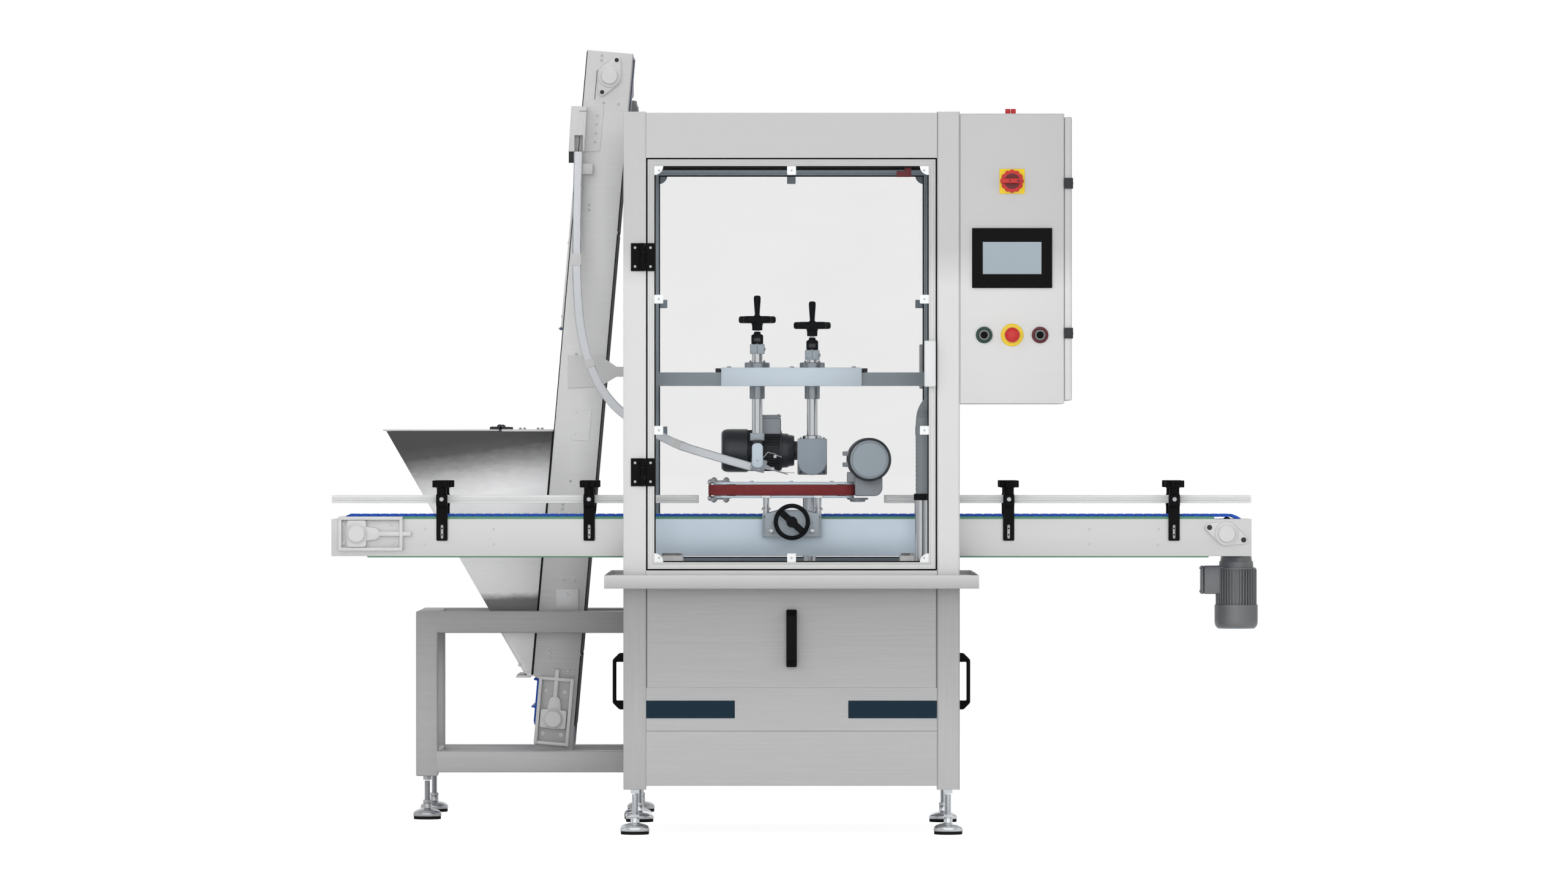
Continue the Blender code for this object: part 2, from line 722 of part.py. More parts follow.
def make_conveyor(finishes):
    """Side plates on cross ties, the belt's one loop, end bearings, take-up and drive."""
    half = CONVEYOR_LENGTH / 2
    low = CONVEYOR_TOP - CONVEYOR_HEIGHT
    inner = BELT_WIDTH / 2 + 0.004
    plates = []
    for side in (-1, 1):
        y = BELT_LINE_Y + side * (inner + CONVEYOR_PLATE / 2)
        plates.append(
            block("plate", (-half, y - CONVEYOR_PLATE / 2, low), (half, y + CONVEYOR_PLATE / 2, CONVEYOR_TOP))
        )
    mid_z = BELT_TOP - BELT_RADIUS
    ties = []
    carry_z = BELT_TOP - BELT_THICKNESS - SEAT
    for x in (TIE_INSET - half, -TIE_INNER_X, TIE_INNER_X, half - TIE_INSET):
        ties.append(
            block(
                "tie",
                (x - 0.02, BELT_LINE_Y - inner - SKIN, mid_z - 0.020),
                (x + 0.02, BELT_LINE_Y + inner + SKIN, carry_z),
            )
        )
    floor = TRAY_BOTTOM + TRAY_HEIGHT - TRAY_LIP + SEAT
    belt_bottom = BELT_TOP - 2 * BELT_RADIUS
    outer_face = inner + CONVEYOR_PLATE
    for x in (-PEDESTAL_X, PEDESTAL_X):
        ties.append(
            block(
                "pedestal",
                (x - PEDESTAL_WIDTH / 2, BELT_LINE_Y - outer_face, floor),
                (x + PEDESTAL_WIDTH / 2, BELT_LINE_Y + outer_face, belt_bottom - SKIN),
            )
        )
    bars = []
    for x, radius, z in slide_lines()[:2]:
        wide = SADDLE_AWAY + SADDLE_DEPTH / 2 - GRIP_TRAVEL[0] + 0.002
        bars.append(rod("bar", radius, "Y", (x, z), BELT_LINE_Y - wide, BELT_LINE_Y + wide, 16))
    frame = join("conveyor_frame", *plates[:1], *ties, *bars, plates[1])
    x, radius, z = slide_lines()[2]
    cut(frame, rod("bore", radius + RUN, "Y", (x, z), BELT_LINE_Y - BELT_WIDTH, BELT_LINE_Y + BELT_WIDTH, 16))
    # Flange bearing on the driven end, its two bolt ears set at an angle.
    front = BELT_LINE_Y - inner - CONVEYOR_PLATE
    reach = BEARING_BOLT_SPAN / 2
    hull = ear_outline((DRIVE_BEARING_X, SHAFT_Z), BEARING_BODY, reach, 0.011, BEARING_TURN)
    flange = prism("flange", hull, "Y", front - BEARING_FLANGE, front + SKIN)
    boss = turned(
        "boss",
        [(BEARING_BODY, 0), (BEARING_BODY - 0.003, -0.012), (BEARING_BOSS, -0.013), (BEARING_BOSS, -BEARING_DEPTH)],
        (DRIVE_BEARING_X, front, SHAFT_Z),
        "Y",
        24,
    )
    join("conveyor_frame", frame, flange, boss)
    for place, side in (("front", -1), ("rear", 1)):
        face = BELT_LINE_Y + side * (inner + CONVEYOR_PLATE)
        join("conveyor_frame", frame, *take_up((TAKE_UP_X, SHAFT_Z), face, side))
    finish(frame, finishes["steel"])
    outer = stadium(-half + END_SETBACK, half - END_SETBACK, mid_z, BELT_RADIUS)
    inner_loop = stadium(-half + END_SETBACK, half - END_SETBACK, mid_z, BELT_RADIUS - BELT_THICKNESS)
    width = BELT_WIDTH / 2
    belt = prism("conveyor_belt", outer, "Y", BELT_LINE_Y - width, BELT_LINE_Y + width)
    cut(belt, prism("inside", inner_loop, "Y", BELT_LINE_Y - BELT_WIDTH, BELT_LINE_Y + BELT_WIDTH))
    finish(belt, finishes["blue"], smooth=True)
    rear = BELT_LINE_Y + inner + CONVEYOR_PLATE + SEAT
    shaft = (DRIVE_BEARING_X, rear, SHAFT_Z - 0.008)
    geared_motor("conveyor_gearmotor", shaft, 1, WORM_OFFSET, DRIVE_MOTOR_LENGTH, CONVEYOR_BOX_DEPTH, finishes)


def ear_outline(centre, radius, reach, ear, turn):
    """Outline of a two-bolt flange: a round body drawn out to a small round at each bolt."""
    outline = []
    for base in (0, pi):
        middle = Vector((reach * cos(base), 0))
        for i in range(7):
            angle = base - pi / 2 * 0.75 + i * pi * 0.75 / 6
            outline.append(middle + ear * Vector((cos(angle), sin(angle))))
        for i in range(5):
            angle = base + pi / 2 - 0.45 + i * 0.9 / 4
            outline.append(radius * Vector((cos(angle), sin(angle))))
    turned_points = []
    for point in outline:
        u = point.x * cos(turn) - point.y * sin(turn)
        v = point.x * sin(turn) + point.y * cos(turn)
        turned_points.append((centre[0] + u, centre[1] + v))
    return turned_points


def take_up(centre, face, side):
    """Take-up bearing in its frame: housing, boss, screw and the four bars round them."""
    x, z = centre
    left, right = x - 0.049, x + 0.124
    pieces = []
    bar = 0.009
    depth = 0.016
    y_out = face + side * depth
    y_in = face - side * SKIN
    low_y, high_y = min(y_in, y_out), max(y_in, y_out)
    for z_bar in (z - 0.046, z + 0.046 - bar):
        pieces.append(block("bar", (left, low_y, z_bar), (right, high_y, z_bar + bar)))
    for x_bar in (left, right - bar):
        pieces.append(block("bar", (x_bar, low_y, z - 0.045), (x_bar + bar, high_y, z + 0.045)))
    pieces.append(block("housing", (x - 0.026, low_y, z - 0.042), (x + 0.026, high_y, z + 0.042)))
    boss = [(0.028, 0), (0.028, side * 0.018), (BEARING_BOSS, side * 0.019), (BEARING_BOSS, side * BEARING_DEPTH)]
    pieces.append(turned("boss", boss, (x, face, z), "Y", 24))
    pieces.append(block("nose", (x + 0.020, low_y, z - 0.017), (x + 0.062, high_y, z + 0.017)))
    pieces.append(
        block("screw", (x + 0.055, face - side * SKIN, z - 0.006), (x + 0.140, y_out - side * 0.002, z + 0.006))
        if side > 0
        else block("screw", (x + 0.055, y_out + 0.002, z - 0.006), (x + 0.140, face + SKIN, z + 0.006))
    )
    return pieces


def knob_outline(radius, centre, lobes=7):
    """Outline of a lobed clamping knob."""
    points = []
    sides = lobes * 4
    for i in range(sides):
        angle = 2 * pi * i / sides
        reach = radius * (0.90 + 0.10 * cos(lobes * angle))
        points.append((centre[0] + reach * cos(angle), centre[1] + reach * sin(angle)))
    return points


def make_guides(finishes):
    """Guide rails on both sides, each clamped on rods in two black brackets with a knob on top."""
    front_face = BELT_WIDTH / 2 + 0.004 + CONVEYOR_PLATE
    half = CONVEYOR_LENGTH / 2
    for run, insets in BRACKET_INSETS.items():
        ends = (-half, -RAIL_INNER_X) if run == "infeed" else (RAIL_INNER_X, half)
        xs = [inset - half if run == "infeed" else half - inset for inset in insets]
        for place, side in (("front", -1), ("rear", 1)):
            rail_y = BELT_LINE_Y + side * (RAIL_SPACING / 2 + RAIL_THICKNESS / 2)
            rail = block(
                "rail",
                (ends[0], rail_y - RAIL_THICKNESS / 2, RAIL_TOP - RAIL_HEIGHT),
                (ends[1], rail_y + RAIL_THICKNESS / 2, RAIL_TOP),
            )
            pieces = [rail]
            plate_y = BELT_LINE_Y + side * (front_face + SEAT + BRACKET_PLATE / 2)
            head_y = plate_y
            for x in xs:
                half_width = BRACKET_WIDTH / 2
                y_far = head_y + side * (BRACKET_HEAD_DEPTH - BRACKET_PLATE / 2)
                y_near = plate_y - side * BRACKET_PLATE / 2
                pieces.append(
                    block(
                        "plate",
                        (x - half_width, plate_y - BRACKET_PLATE / 2, BRACKET_FOOT),
                        (x + half_width, plate_y + BRACKET_PLATE / 2, RAIL_TOP),
                    )
                )
                pieces.append(
                    block(
                        "head",
                        (x - half_width, min(y_near, y_far), RAIL_TOP - 0.030),
                        (x + half_width, max(y_near, y_far), RAIL_TOP + SKIN),
                    )
                )
                head_middle = (y_near + y_far) / 2
                pieces.append(
                    rod("stem", 0.0145, "Z", (x, head_middle), RAIL_TOP, RAIL_TOP + KNOB_STEM + SKIN, 12)
                )
                pieces.append(
                    prism(
                        "knob",
                        knob_outline(KNOB_RADIUS, (x, head_middle)),
                        "Z",
                        RAIL_TOP + KNOB_STEM,
                        RAIL_TOP + KNOB_STEM + KNOB_HEIGHT,
                    )
                )
                rod_end = y_far + side * 0.004
                start, end = min(rail_y, rod_end), max(rail_y, rod_end)
                pieces.append(
                    rod("rod", RAIL_ROD_RADIUS, "Y", (x, RAIL_TOP - RAIL_HEIGHT / 2), start, end, 12)
                )
            finish(join(f"guide_rail_{run}_{place}", *pieces), finishes["rail"])


def crank(name, x, z, parent, finishes, lift=0.0):
    """Handwheel with a folding-out grip, on top of a column."""
    profile = [
        (0.014, 0),
        (0.014, 0.019),
        (0.040, 0.019),
        (CRANK_RADIUS, 0.022),
        (CRANK_RADIUS, 0.019 + CRANK_RIM),
        (0.040, 0.019 + CRANK_RIM),
        (0.036, 0.027),
        (0.014, 0.027),
    ]
    wheel = turned("wheel", profile, (x, BELT_LINE_Y, z), "Z", 24)
    grip_y = BELT_LINE_Y - 0.034
    grip = turned(
        "grip",
        [(0.006, 0), (0.006, 0.019), (0.0068, 0.021), (0.0095, 0.064), (0.006, 0.0715)],
        (x, grip_y, z + 0.022),
        "Z",
        12,
    )
    finish(join(name, wheel, grip), finishes["black"], parent, smooth=True)


def make_bridge(finishes):
    """Machined block on the cross bar, with a flange above and a sleeve below for each column."""
    half = BRIDGE_WIDTH / 2
    bar_front = BELT_LINE_Y - CROSS_BAR_DEPTH / 2
    low = BRIDGE_TOP - BRIDGE_HEIGHT
    front = bar_front - 0.012
    bar_top = CROSS_BAR_Z + CROSS_BAR / 2 - SKIN + SEAT
    cheek = block("cheek", (-half, front, low), (half, bar_front - SEAT, BRIDGE_TOP))
    top = block("top", (-half, front, bar_top), (half, bar_front + CROSS_BAR_DEPTH, BRIDGE_TOP))
    pieces = [cheek, top]
    for x in (CHUTE_COLUMN_X, HEAD_COLUMN_X):
        sleeve_low = low - SLEEVE_LENGTH
        pieces.append(rod("sleeve", SLEEVE_RADIUS, "Z", (x, BELT_LINE_Y), sleeve_low, BRIDGE_TOP, 24))
        flange_top = BRIDGE_TOP + FLANGE_HEIGHT
        pieces.append(rod("flange", FLANGE_RADIUS, "Z", (x, BELT_LINE_Y), BRIDGE_TOP - SKIN, flange_top, 24))
    bridge = join("column_bridge", *pieces)
    for x in (CHUTE_COLUMN_X, HEAD_COLUMN_X):
        bore = COLUMN_RADIUS + RUN
        cut(bridge, rod("bore", bore, "Z", (x, BELT_LINE_Y), low - POST * 2, BRIDGE_TOP + POST, 24))
    finish(bridge, finishes["aluminium"])


def column_top(x, top):
    """Clamp block and position indicator at the upper end of a column."""
    return [
        prism("clamp", rounded(0.039, 0.039, 0.003, 1, (x, BELT_LINE_Y)), "Z", top, top + 0.0265),
        prism("dial", rounded(0.032, 0.045, 0.004, 1, (x, BELT_LINE_Y)), "Z", top + 0.0255, top + 0.0515),
        rod("neck", 0.009, "Z", (x, BELT_LINE_Y), top + 0.0505, top + 0.0597, 16),
        rod("spindle", 0.005, "Z", (x, BELT_LINE_Y), top + 0.058, top + COLUMN_HEAD, 12),
    ]


def make_chute_column(finishes):
    """Column that holds the end of the chute, its clamp, strap and cap release, and its handwheel."""
    x = CHUTE_COLUMN_X
    top = 1.276
    foot = 1.062
    pieces = [rod("tube", COLUMN_RADIUS, "Z", (x, BELT_LINE_Y), foot, top, 24), *column_top(x, top)]
    pieces.append(
        prism("clamp", rounded(0.039, 0.036, 0.003, 1, (x, BELT_LINE_Y)), "Z", foot - 0.018, foot + SKIN)
    )
    strap_front = BELT_LINE_Y - CHUTE_DEPTH / 2 - SEAT - 0.008
    strap = rounded(0.029, 0.076, 0.012, 3, (x, foot - 0.052))
    pieces.append(prism("strap", strap, "Y", strap_front, strap_front + 0.008))
    pieces.append(
        block("shelf", (x - 0.0145, strap_front, foot - 0.016), (x + 0.0145, BELT_LINE_Y, foot - 0.006))
    )
    finish(join("chute_column", *pieces), finishes["aluminium"])
    pivot = empty_at("chute_crank_pivot", (x, BELT_LINE_Y, top))
    crank("chute_crank", x, top + COLUMN_HEAD + SEAT, pivot, finishes)


def make_head(finishes):
    """Column with the capping head: worm box, press plate and motor, with its handwheel."""
    x = HEAD_COLUMN_X
    top = 1.2604
    lift = empty_at("head_lift_pivot", (x, BELT_LINE_Y, HEAD_BOTTOM))
    high = HEAD_BOTTOM + HEAD_HEIGHT
    front = BELT_LINE_Y - 0.030
    tube = rod("tube", COLUMN_RADIUS, "Z", (x, BELT_LINE_Y), high - SKIN, top, 24)
    column = join("column", tube, *column_top(x, top))
    half = HEAD_WIDTH / 2
    plate_outline = [(x + half, high), (x - half, high)]
    for i in range(13):
        angle = pi + i * pi / 12
        plate_outline.append((x + half * cos(angle), HEAD_BOTTOM + half + half * sin(angle)))
    plate = prism("plate", plate_outline, "Y", front - 0.012, front)
    box = block(
        "box",
        (x - half, front - SKIN, HEAD_BOTTOM + 0.001),
        (x + half, front + HEAD_DEPTH, high - 0.001),
    )
    finish(join("head_column", box, plate, column), finishes["aluminium"], lift)
    length = 0.205
    start = x - half - SEAT
    profile = [(radius, -height) for radius, height in motor_profile(length, MOTOR_RADIUS)]
    motor = turned("motor", profile, (start, HEAD_MOTOR_Y, HEAD_MOTOR_Z), "X", 24)
    terminal = block(
        "terminal",
        (start - length * 0.62, HEAD_MOTOR_Y - 0.030, HEAD_MOTOR_Z + MOTOR_RADIUS * 0.5),
        (start - length * 0.25, HEAD_MOTOR_Y + 0.030, HEAD_MOTOR_Z + MOTOR_RADIUS * 1.65),
    )
    finish(join("head_motor", motor, terminal), finishes["cast"], lift, smooth=True)
    pivot = empty_at("head_crank_pivot", (x, BELT_LINE_Y, top), lift)
    crank("head_crank", x, top + COLUMN_HEAD + SEAT, pivot, finishes)


def make_grip_unit(finishes, place, side):
    """A side belt unit: two plates, drive box with its motor, tension bolts and the belt's one loop."""
    pivot = empty_at(f"{place}_grip_pivot", (0, BELT_LINE_Y, GRIP_BELT_Z))
    radius = GRIP_PULLEY
    line_y = BELT_LINE_Y + side * (GRIP_OPENING / 2 + radius)
    left, right = GRIP_BELT_LEFT + radius, GRIP_BELT_RIGHT - radius
    half = GRIP_BELT_HEIGHT / 2
    outer = stadium(left, right, line_y, radius)
    core = stadium(left, right, line_y, radius - GRIP_BELT_THICKNESS)
    belt = prism("belt", outer, "Z", GRIP_BELT_Z - half, GRIP_BELT_Z + half)
    cut(belt, prism("inside", core, "Z", GRIP_BELT_Z - 2 * half, GRIP_BELT_Z + 2 * half))
    belt.name = f"{place}_grip_belt"
    finish(belt, finishes["red_belt"], pivot, smooth=True)
    shrunk = stadium(left, right, line_y, radius - GRIP_BELT_THICKNESS - SEAT)
    pulleys = prism("pulleys", shrunk, "Z", GRIP_BELT_Z - half, GRIP_BELT_Z + half)
    wide = stadium(left + 0.010, right, line_y, radius - 0.004)
    plates = []
    for low in (GRIP_BELT_Z + half + SEAT, GRIP_BELT_Z - half - SEAT - GRIP_PLATE):
        plates.append(prism("plate", wide, "Z", low, low + GRIP_PLATE))
    posts = [
        rod("post", 0.012, "Z", (x, line_y), GRIP_BELT_Z - half - SKIN, GRIP_BELT_Z + half + SKIN, 12)
        for x in (left, right)
    ]
    bolts = []
    for x, bolt_radius in ((left - 0.004, 0.010), (left + 0.030, 0.010)):
        bolts.append(
            rod(
                "bolt",
                bolt_radius,
                "Z",
                (x, line_y),
                GRIP_BELT_Z - half - GRIP_PLATE - 0.012,
                GRIP_BELT_Z + half + GRIP_PLATE + 0.012,
                6,
            )
        )
    box_x = GRIP_BELT_RIGHT + 0.036
    box_ends = (line_y + side * 0.045, line_y - side * (radius - 0.004))
    box = block(
        "box",
        (box_x - 0.036 - 0.010, min(box_ends), GRIP_BELT_Z - half - SKIN),
        (box_x + 0.036, max(box_ends), GRIP_BELT_Z + half + 0.020),
    )
    clear_radius = radius + 0.004
    clear = stadium(left, right, line_y, clear_radius)
    cut(box, prism("clear", clear, "Z", GRIP_BELT_Z - half - POST, GRIP_BELT_Z + half + 2 * SEAT))
    arm = block(
        "arm",
        (right - 0.014, line_y - 0.022, GRIP_BELT_Z + half + GRIP_PLATE - SKIN),
        (box_x + 0.030, line_y + 0.022, GRIP_BELT_Z + half + 0.026),
    )
    length = 0.175
    flip = 1 if side < 0 else -1
    start_y = line_y + flip * 0.024
    motor_z = 0.992
    profile = [(r, -h * flip) for r, h in motor_profile(length, MOTOR_RADIUS)]
    motor = turned("motor", profile, (box_x, start_y, motor_z), "Y", 24)
    neck = block(
        "neck",
        (box_x - 0.030, min(line_y, start_y) - SKIN, GRIP_BELT_Z + half + 0.010),
        (box_x + 0.030, max(line_y, start_y), motor_z + 0.020),
    )
    hanger = []
    rod_y = BELT_LINE_Y + side * SADDLE_AWAY
    plate_low = GRIP_BELT_Z - half - SEAT - GRIP_PLATE
    for x in GUIDE_ROD_XS:
        hanger.append(rod("rod", GUIDE_ROD_RADIUS, "Z", (x, rod_y), SADDLE_TOP - 0.020, plate_low + SKIN, 12))
        shelf_end = line_y - side * 0.010
        shelf_low = (x - 0.012, min(rod_y - side * -0.012, shelf_end), plate_low)
        shelf_high = (x + 0.012, max(rod_y - side * -0.012, shelf_end), plate_low + GRIP_PLATE)
        hanger.append(block("shelf", shelf_low, shelf_high))
    hanger.append(saddle_block(rod_y))
    carrier = join(
        f"{place}_grip_carrier", plates[0], pulleys, plates[1], *posts, *bolts, arm, box, neck, motor, *hanger
    )
    finish(carrier, finishes["aluminium"], pivot)


def saddle_block(y):
    """Block that both rods of a side belt unit stand in, bored for the slide bars and the spindle."""
    half = SADDLE_WIDTH / 2
    outline = [
        (WHEEL_X - half, SADDLE_BOTTOM),
        (WHEEL_X + half, SADDLE_BOTTOM),
        (WHEEL_X + half, SADDLE_TOP - 0.008),
        (WHEEL_X + half * 0.5, SADDLE_TOP),
        (WHEEL_X - half * 0.5, SADDLE_TOP),
        (WHEEL_X - half, SADDLE_TOP - 0.008),
    ]
    saddle = prism("saddle", outline, "Y", y - SADDLE_DEPTH / 2, y + SADDLE_DEPTH / 2)
    for x, radius, z in slide_lines():
        cut(saddle, rod("bore", radius + RUN, "Y", (x, z), y - POST, y + POST, 16))
    return saddle


def slide_lines():
    """X, radius and Z of the two slide bars and of the spindle between them."""
    return (
        (WHEEL_X - SLIDE_SPAN / 2, SLIDE_RADIUS, SLIDE_Z),
        (WHEEL_X + SLIDE_SPAN / 2, SLIDE_RADIUS, SLIDE_Z),
        (WHEEL_X, SPINDLE_RADIUS, WHEEL_Z),
    )


def make_width_gear(finishes):
    """Handwheel in front of the conveyor on the spindle that sets the distance of the side belts."""
    wide = SADDLE_AWAY + SADDLE_DEPTH / 2 - GRIP_TRAVEL[0]
    pivot = empty_at("width_wheel_pivot", (WHEEL_X, BELT_LINE_Y, WHEEL_Z))
    middle = WHEEL_X
    saddle_y = BELT_LINE_Y - SADDLE_AWAY - SADDLE_DEPTH / 2 - GRIP_TRAVEL[1] - 0.004
    ring_y = saddle_y - 0.024
    rim = turned(
        "rim",
        [(WHEEL_RADIUS - 0.010, 0), (WHEEL_RADIUS, 0.003), (WHEEL_RADIUS, 0.011), (WHEEL_RADIUS - 0.010, 0.014)],
        (middle, ring_y, WHEEL_Z),
        "Y",
        28,
    )
    cut(rim, rod("inside", WHEEL_RADIUS - 0.0095, "Y", (middle, WHEEL_Z), ring_y - POST, ring_y + POST, 28))
    spoke_turn = radians(-42)
    spoke = [
        (middle + u * cos(spoke_turn) - v * sin(spoke_turn), WHEEL_Z + u * sin(spoke_turn) + v * cos(spoke_turn))
        for u, v in rounded(2 * WHEEL_RADIUS - 0.012, 0.016, 0.003, 1)
    ]
    bar = prism("spoke", spoke, "Y", ring_y + 0.003, ring_y + 0.010)
    hub = rod("hub", 0.013, "Y", (middle, WHEEL_Z), ring_y + 0.001, saddle_y, 16)
    spindle = rod("spindle", SPINDLE_RADIUS, "Y", (middle, WHEEL_Z), saddle_y - SKIN, BELT_LINE_Y + wide + 0.010, 16)
    finish(join("width_wheel", rim, bar, hub, spindle), finishes["black"], pivot, smooth=True)
    floor = TRAY_BOTTOM + TRAY_HEIGHT - TRAY_LIP + SEAT
    mast = rod("support_mast", MAST_RADIUS, "Z", (MAST_X, MAST_Y), floor, MAST_TOP, 24)
    finish(mast, finishes["chrome"], smooth=True)
    pipe = rod("pipe", CONDUIT_RADIUS, "Z", (CONDUIT_X, CONDUIT_Y), floor, CONDUIT_TOP, 24)
    collar = rod("collar", CONDUIT_RADIUS + 0.001, "Z", (CONDUIT_X, CONDUIT_Y), CONDUIT_TOP - SKIN, CONDUIT_TOP + 0.016, 24)
    hose = tube_along("hose", hose_points(), CONDUIT_RADIUS - 0.003, 20, 12)
    finish(join("cable_conduit", pipe, collar, hose), finishes["cast"], smooth=True)


def hose_points():
    """Line of the cable hose, from the top of its pipe up and over into the cabinet's side."""
    low = CONDUIT_TOP + 0.010
    return (
        (CONDUIT_X, CONDUIT_Y, low),
        (CONDUIT_X, CONDUIT_Y, low + 0.110),
        (CONDUIT_X, CONDUIT_Y, low + 0.195),
        (CONDUIT_X + 0.007, CONDUIT_Y, low + 0.232),
        (CONDUIT_X + 0.028, CONDUIT_Y, HOSE_END_Z - 0.008),
        (CONDUIT_X + 0.054, CONDUIT_Y, HOSE_END_Z),
        (CONDUIT_X + 0.075, CONDUIT_Y, HOSE_END_Z),
        (BODY_WIDTH / 2, CONDUIT_Y, HOSE_END_Z),
    )


def tube_along(name, points, radius, count, sides):
    """A solid round cord along a smooth line through the points."""
    path = smooth_path(points, count)
    bm = bmesh.new()
    rings = []
    out = Vector((0, 1, 0))
    for i, point in enumerate(path):
        ahead = (path[min(i + 1, count)] - path[max(i - 1, 0)]).normalized()
        across = ahead.cross(out).normalized()
        out = across.cross(ahead).normalized()
        rings.append([bm.verts.new(point + across * u + out * v) for u, v in circle(radius, sides)])
    for lower, upper in zip(rings, rings[1:]):
        for i in range(sides):
            j = (i + 1) % sides
            bm.faces.new((lower[i], lower[j], upper[j], upper[i]))
    bm.faces.new(rings[0])
    bm.faces.new(rings[-1])
    return solid_from(bm, name)


def make_cabinet(finishes):
    """Control cabinet on the right side: box, side door, screen, switch, buttons and top lamp."""
    left = BODY_WIDTH / 2 + SEAT
    right = left + CABINET_WIDTH
    box = block("box", (left, 0, CABINET_BOTTOM), (right, CABINET_DEPTH, CABINET_TOP))
    wall = CABINET_WALL
    cut(
        box,
        block(
            "inside",
            (left + wall, wall, CABINET_BOTTOM + wall),
            (right + POST, CABINET_DEPTH - wall, CABINET_TOP - wall),
        ),
    )
    middle = (left + right) / 2
    lamp = prism("lamp", rounded(0.028, 0.028, 0.004, 1, (middle, CABINET_DEPTH / 2)), "Z", CABINET_TOP - SKIN,
                 CABINET_TOP + 0.012)
    plate = prism("plate", rounded(0.067, 0.067, 0.003, 1, (middle, SWITCH_Z)), "Y", -0.004, SKIN)
    collar = rod("collar", 0.030, "Y", (middle, BUTTON_Z), -0.006, SKIN, 24)
    collars = [cut(collar, rod("bore", 0.0135 + RUN, "Y", (middle, BUTTON_Z), -POST, -0.0012, 24))]
    for x in (middle - BUTTON_SPACING, middle + BUTTON_SPACING):
        ring = rod("ring", 0.022, "Y", (x, BUTTON_Z), -0.008, SKIN, 24)
        cut(ring, rod("bore", 0.0115 + RUN, "Y", (x, BUTTON_Z), -POST, -SKIN, 20))
        collars.append(ring)
    cabinet = join("control_cabinet", box, lamp, plate, *collars)
    for z in CABINET_HINGE_ZS:
        join("control_cabinet", cabinet, block("hinge", (right - 0.010, -0.0065, z - 0.0135),
                                               (right + 0.006, SKIN, z + 0.0135)))
    finish(cabinet, finishes["paint"])
    screen = prism("touch_screen", rounded(0.2125, 0.159, 0.003, 1, (middle, SCREEN_Z)), "Y", -0.008, -SEAT)
    finish(screen, finishes["black"])
    pin_x, pin_y = right + 0.012, -0.0035
    hinge = empty_at("cabinet_door_pivot", (pin_x, pin_y, CABINET_BOTTOM))
    door = block(
        "door",
        (right + SEAT, 0.003, CABINET_BOTTOM + CABINET_DOOR_INSET),
        (right + CABINET_DOOR, CABINET_DEPTH, CABINET_TOP - CABINET_DOOR_INSET),
    )
    pieces = [door]
    for z in CABINET_HINGE_ZS:
        pieces.append(block("leaf", (right + 0.0075, -0.0065, z - 0.0135), (right + 0.0235, 0.030, z + 0.0135)))
    finish(join("cabinet_door", *pieces), finishes["paint"], hinge)
    knob_pivot = empty_at("switch_pivot", (middle, 0, SWITCH_Z))
    knob = rod("knob", 0.030, "Y", (middle, SWITCH_Z), -0.018, -0.004 - SEAT, 24)
    bar = prism("bar", rounded(0.048, 0.014, 0.003, 1, (middle - 0.010, SWITCH_Z)), "Y", -0.032, -0.017)
    finish(join("main_switch_knob", knob, bar), finishes["red"], knob_pivot)
    head = turned(
        "e_stop_head",
        [(0.0135, -0.0053), (0.0135, -0.014), (0.020, -0.016), (0.020, -0.024), (0.017, -0.029), (0.010, -0.031)],
        (middle, 0, BUTTON_Z),
        "Y",
        24,
    )
    finish(head, finishes["red"], smooth=True)
    for name, x, colour in (
        ("start_button", middle - BUTTON_SPACING, "green"),
        ("stop_button", middle + BUTTON_SPACING, "red"),
    ):
        button = turned(name, [(0.0115, -0.0055), (0.0115, -0.0115), (0.0095, -0.0125)], (x, 0, BUTTON_Z), "Y", 20)
        finish(button, finishes[colour], smooth=True)


def make_stand(finishes):
    """Welded stand behind the body that carries the elevator, on four levelling feet."""
    left, right = STAND_LEFT, STAND_RIGHT
    front, rear = STAND_FRONT, STAND_FRONT + STAND_DEPTH
    pieces = []
    for x in (left, right - POST):
        for y in (front, rear - POST):
            pieces.append(block("leg", (x, y, POST_FOOT), (x + POST, y + POST, STAND_TOP)))
            pieces.append(turned("foot", foot_profile(POST_FOOT + SKIN), (x + POST / 2, y + POST / 2, 0), "Z", 20))
    for low in (STAND_RAIL_BOTTOM, STAND_TOP - POST):
        inset = 0.0 if low > STAND_RAIL_BOTTOM else 0.0
        for y in (front, rear - POST):
            pieces.append(
                block("rail", (left + POST / 2, y + inset, low), (right - POST / 2, y + POST - inset, low + POST))
            )
        for x in (left, right - POST):
            pieces.append(block("rail", (x, front + POST / 2, low), (x + POST, rear - POST / 2, low + POST)))
    # Lug plates from the top rails to the elevator's side plates.
    lug_top = STAND_TOP + POST
    gap_front, gap_rear = ELEVATOR_FRONT - SEAT, ELEVATOR_FRONT + ELEVATOR_DEPTH + SEAT
    for low, high in ((front + POST * 0.6, gap_front), (gap_rear, rear - POST * 0.6)):
        pieces.append(block("lug", (LUG_LEFT, low, STAND_TOP - SKIN), (LUG_LEFT + LUG_WIDTH, high, lug_top)))
    stand = join("elevator_stand", *pieces)
    finish(stand, finishes["steel"])


def elevator_point(across, along):
    """X and Z of a point on the elevator, across from its left edge and up along its lean."""
    x, z = ELEVATOR_FOOT
    return (x + across * cos(LEAN) + along * sin(LEAN), z - across * sin(LEAN) + along * cos(LEAN))


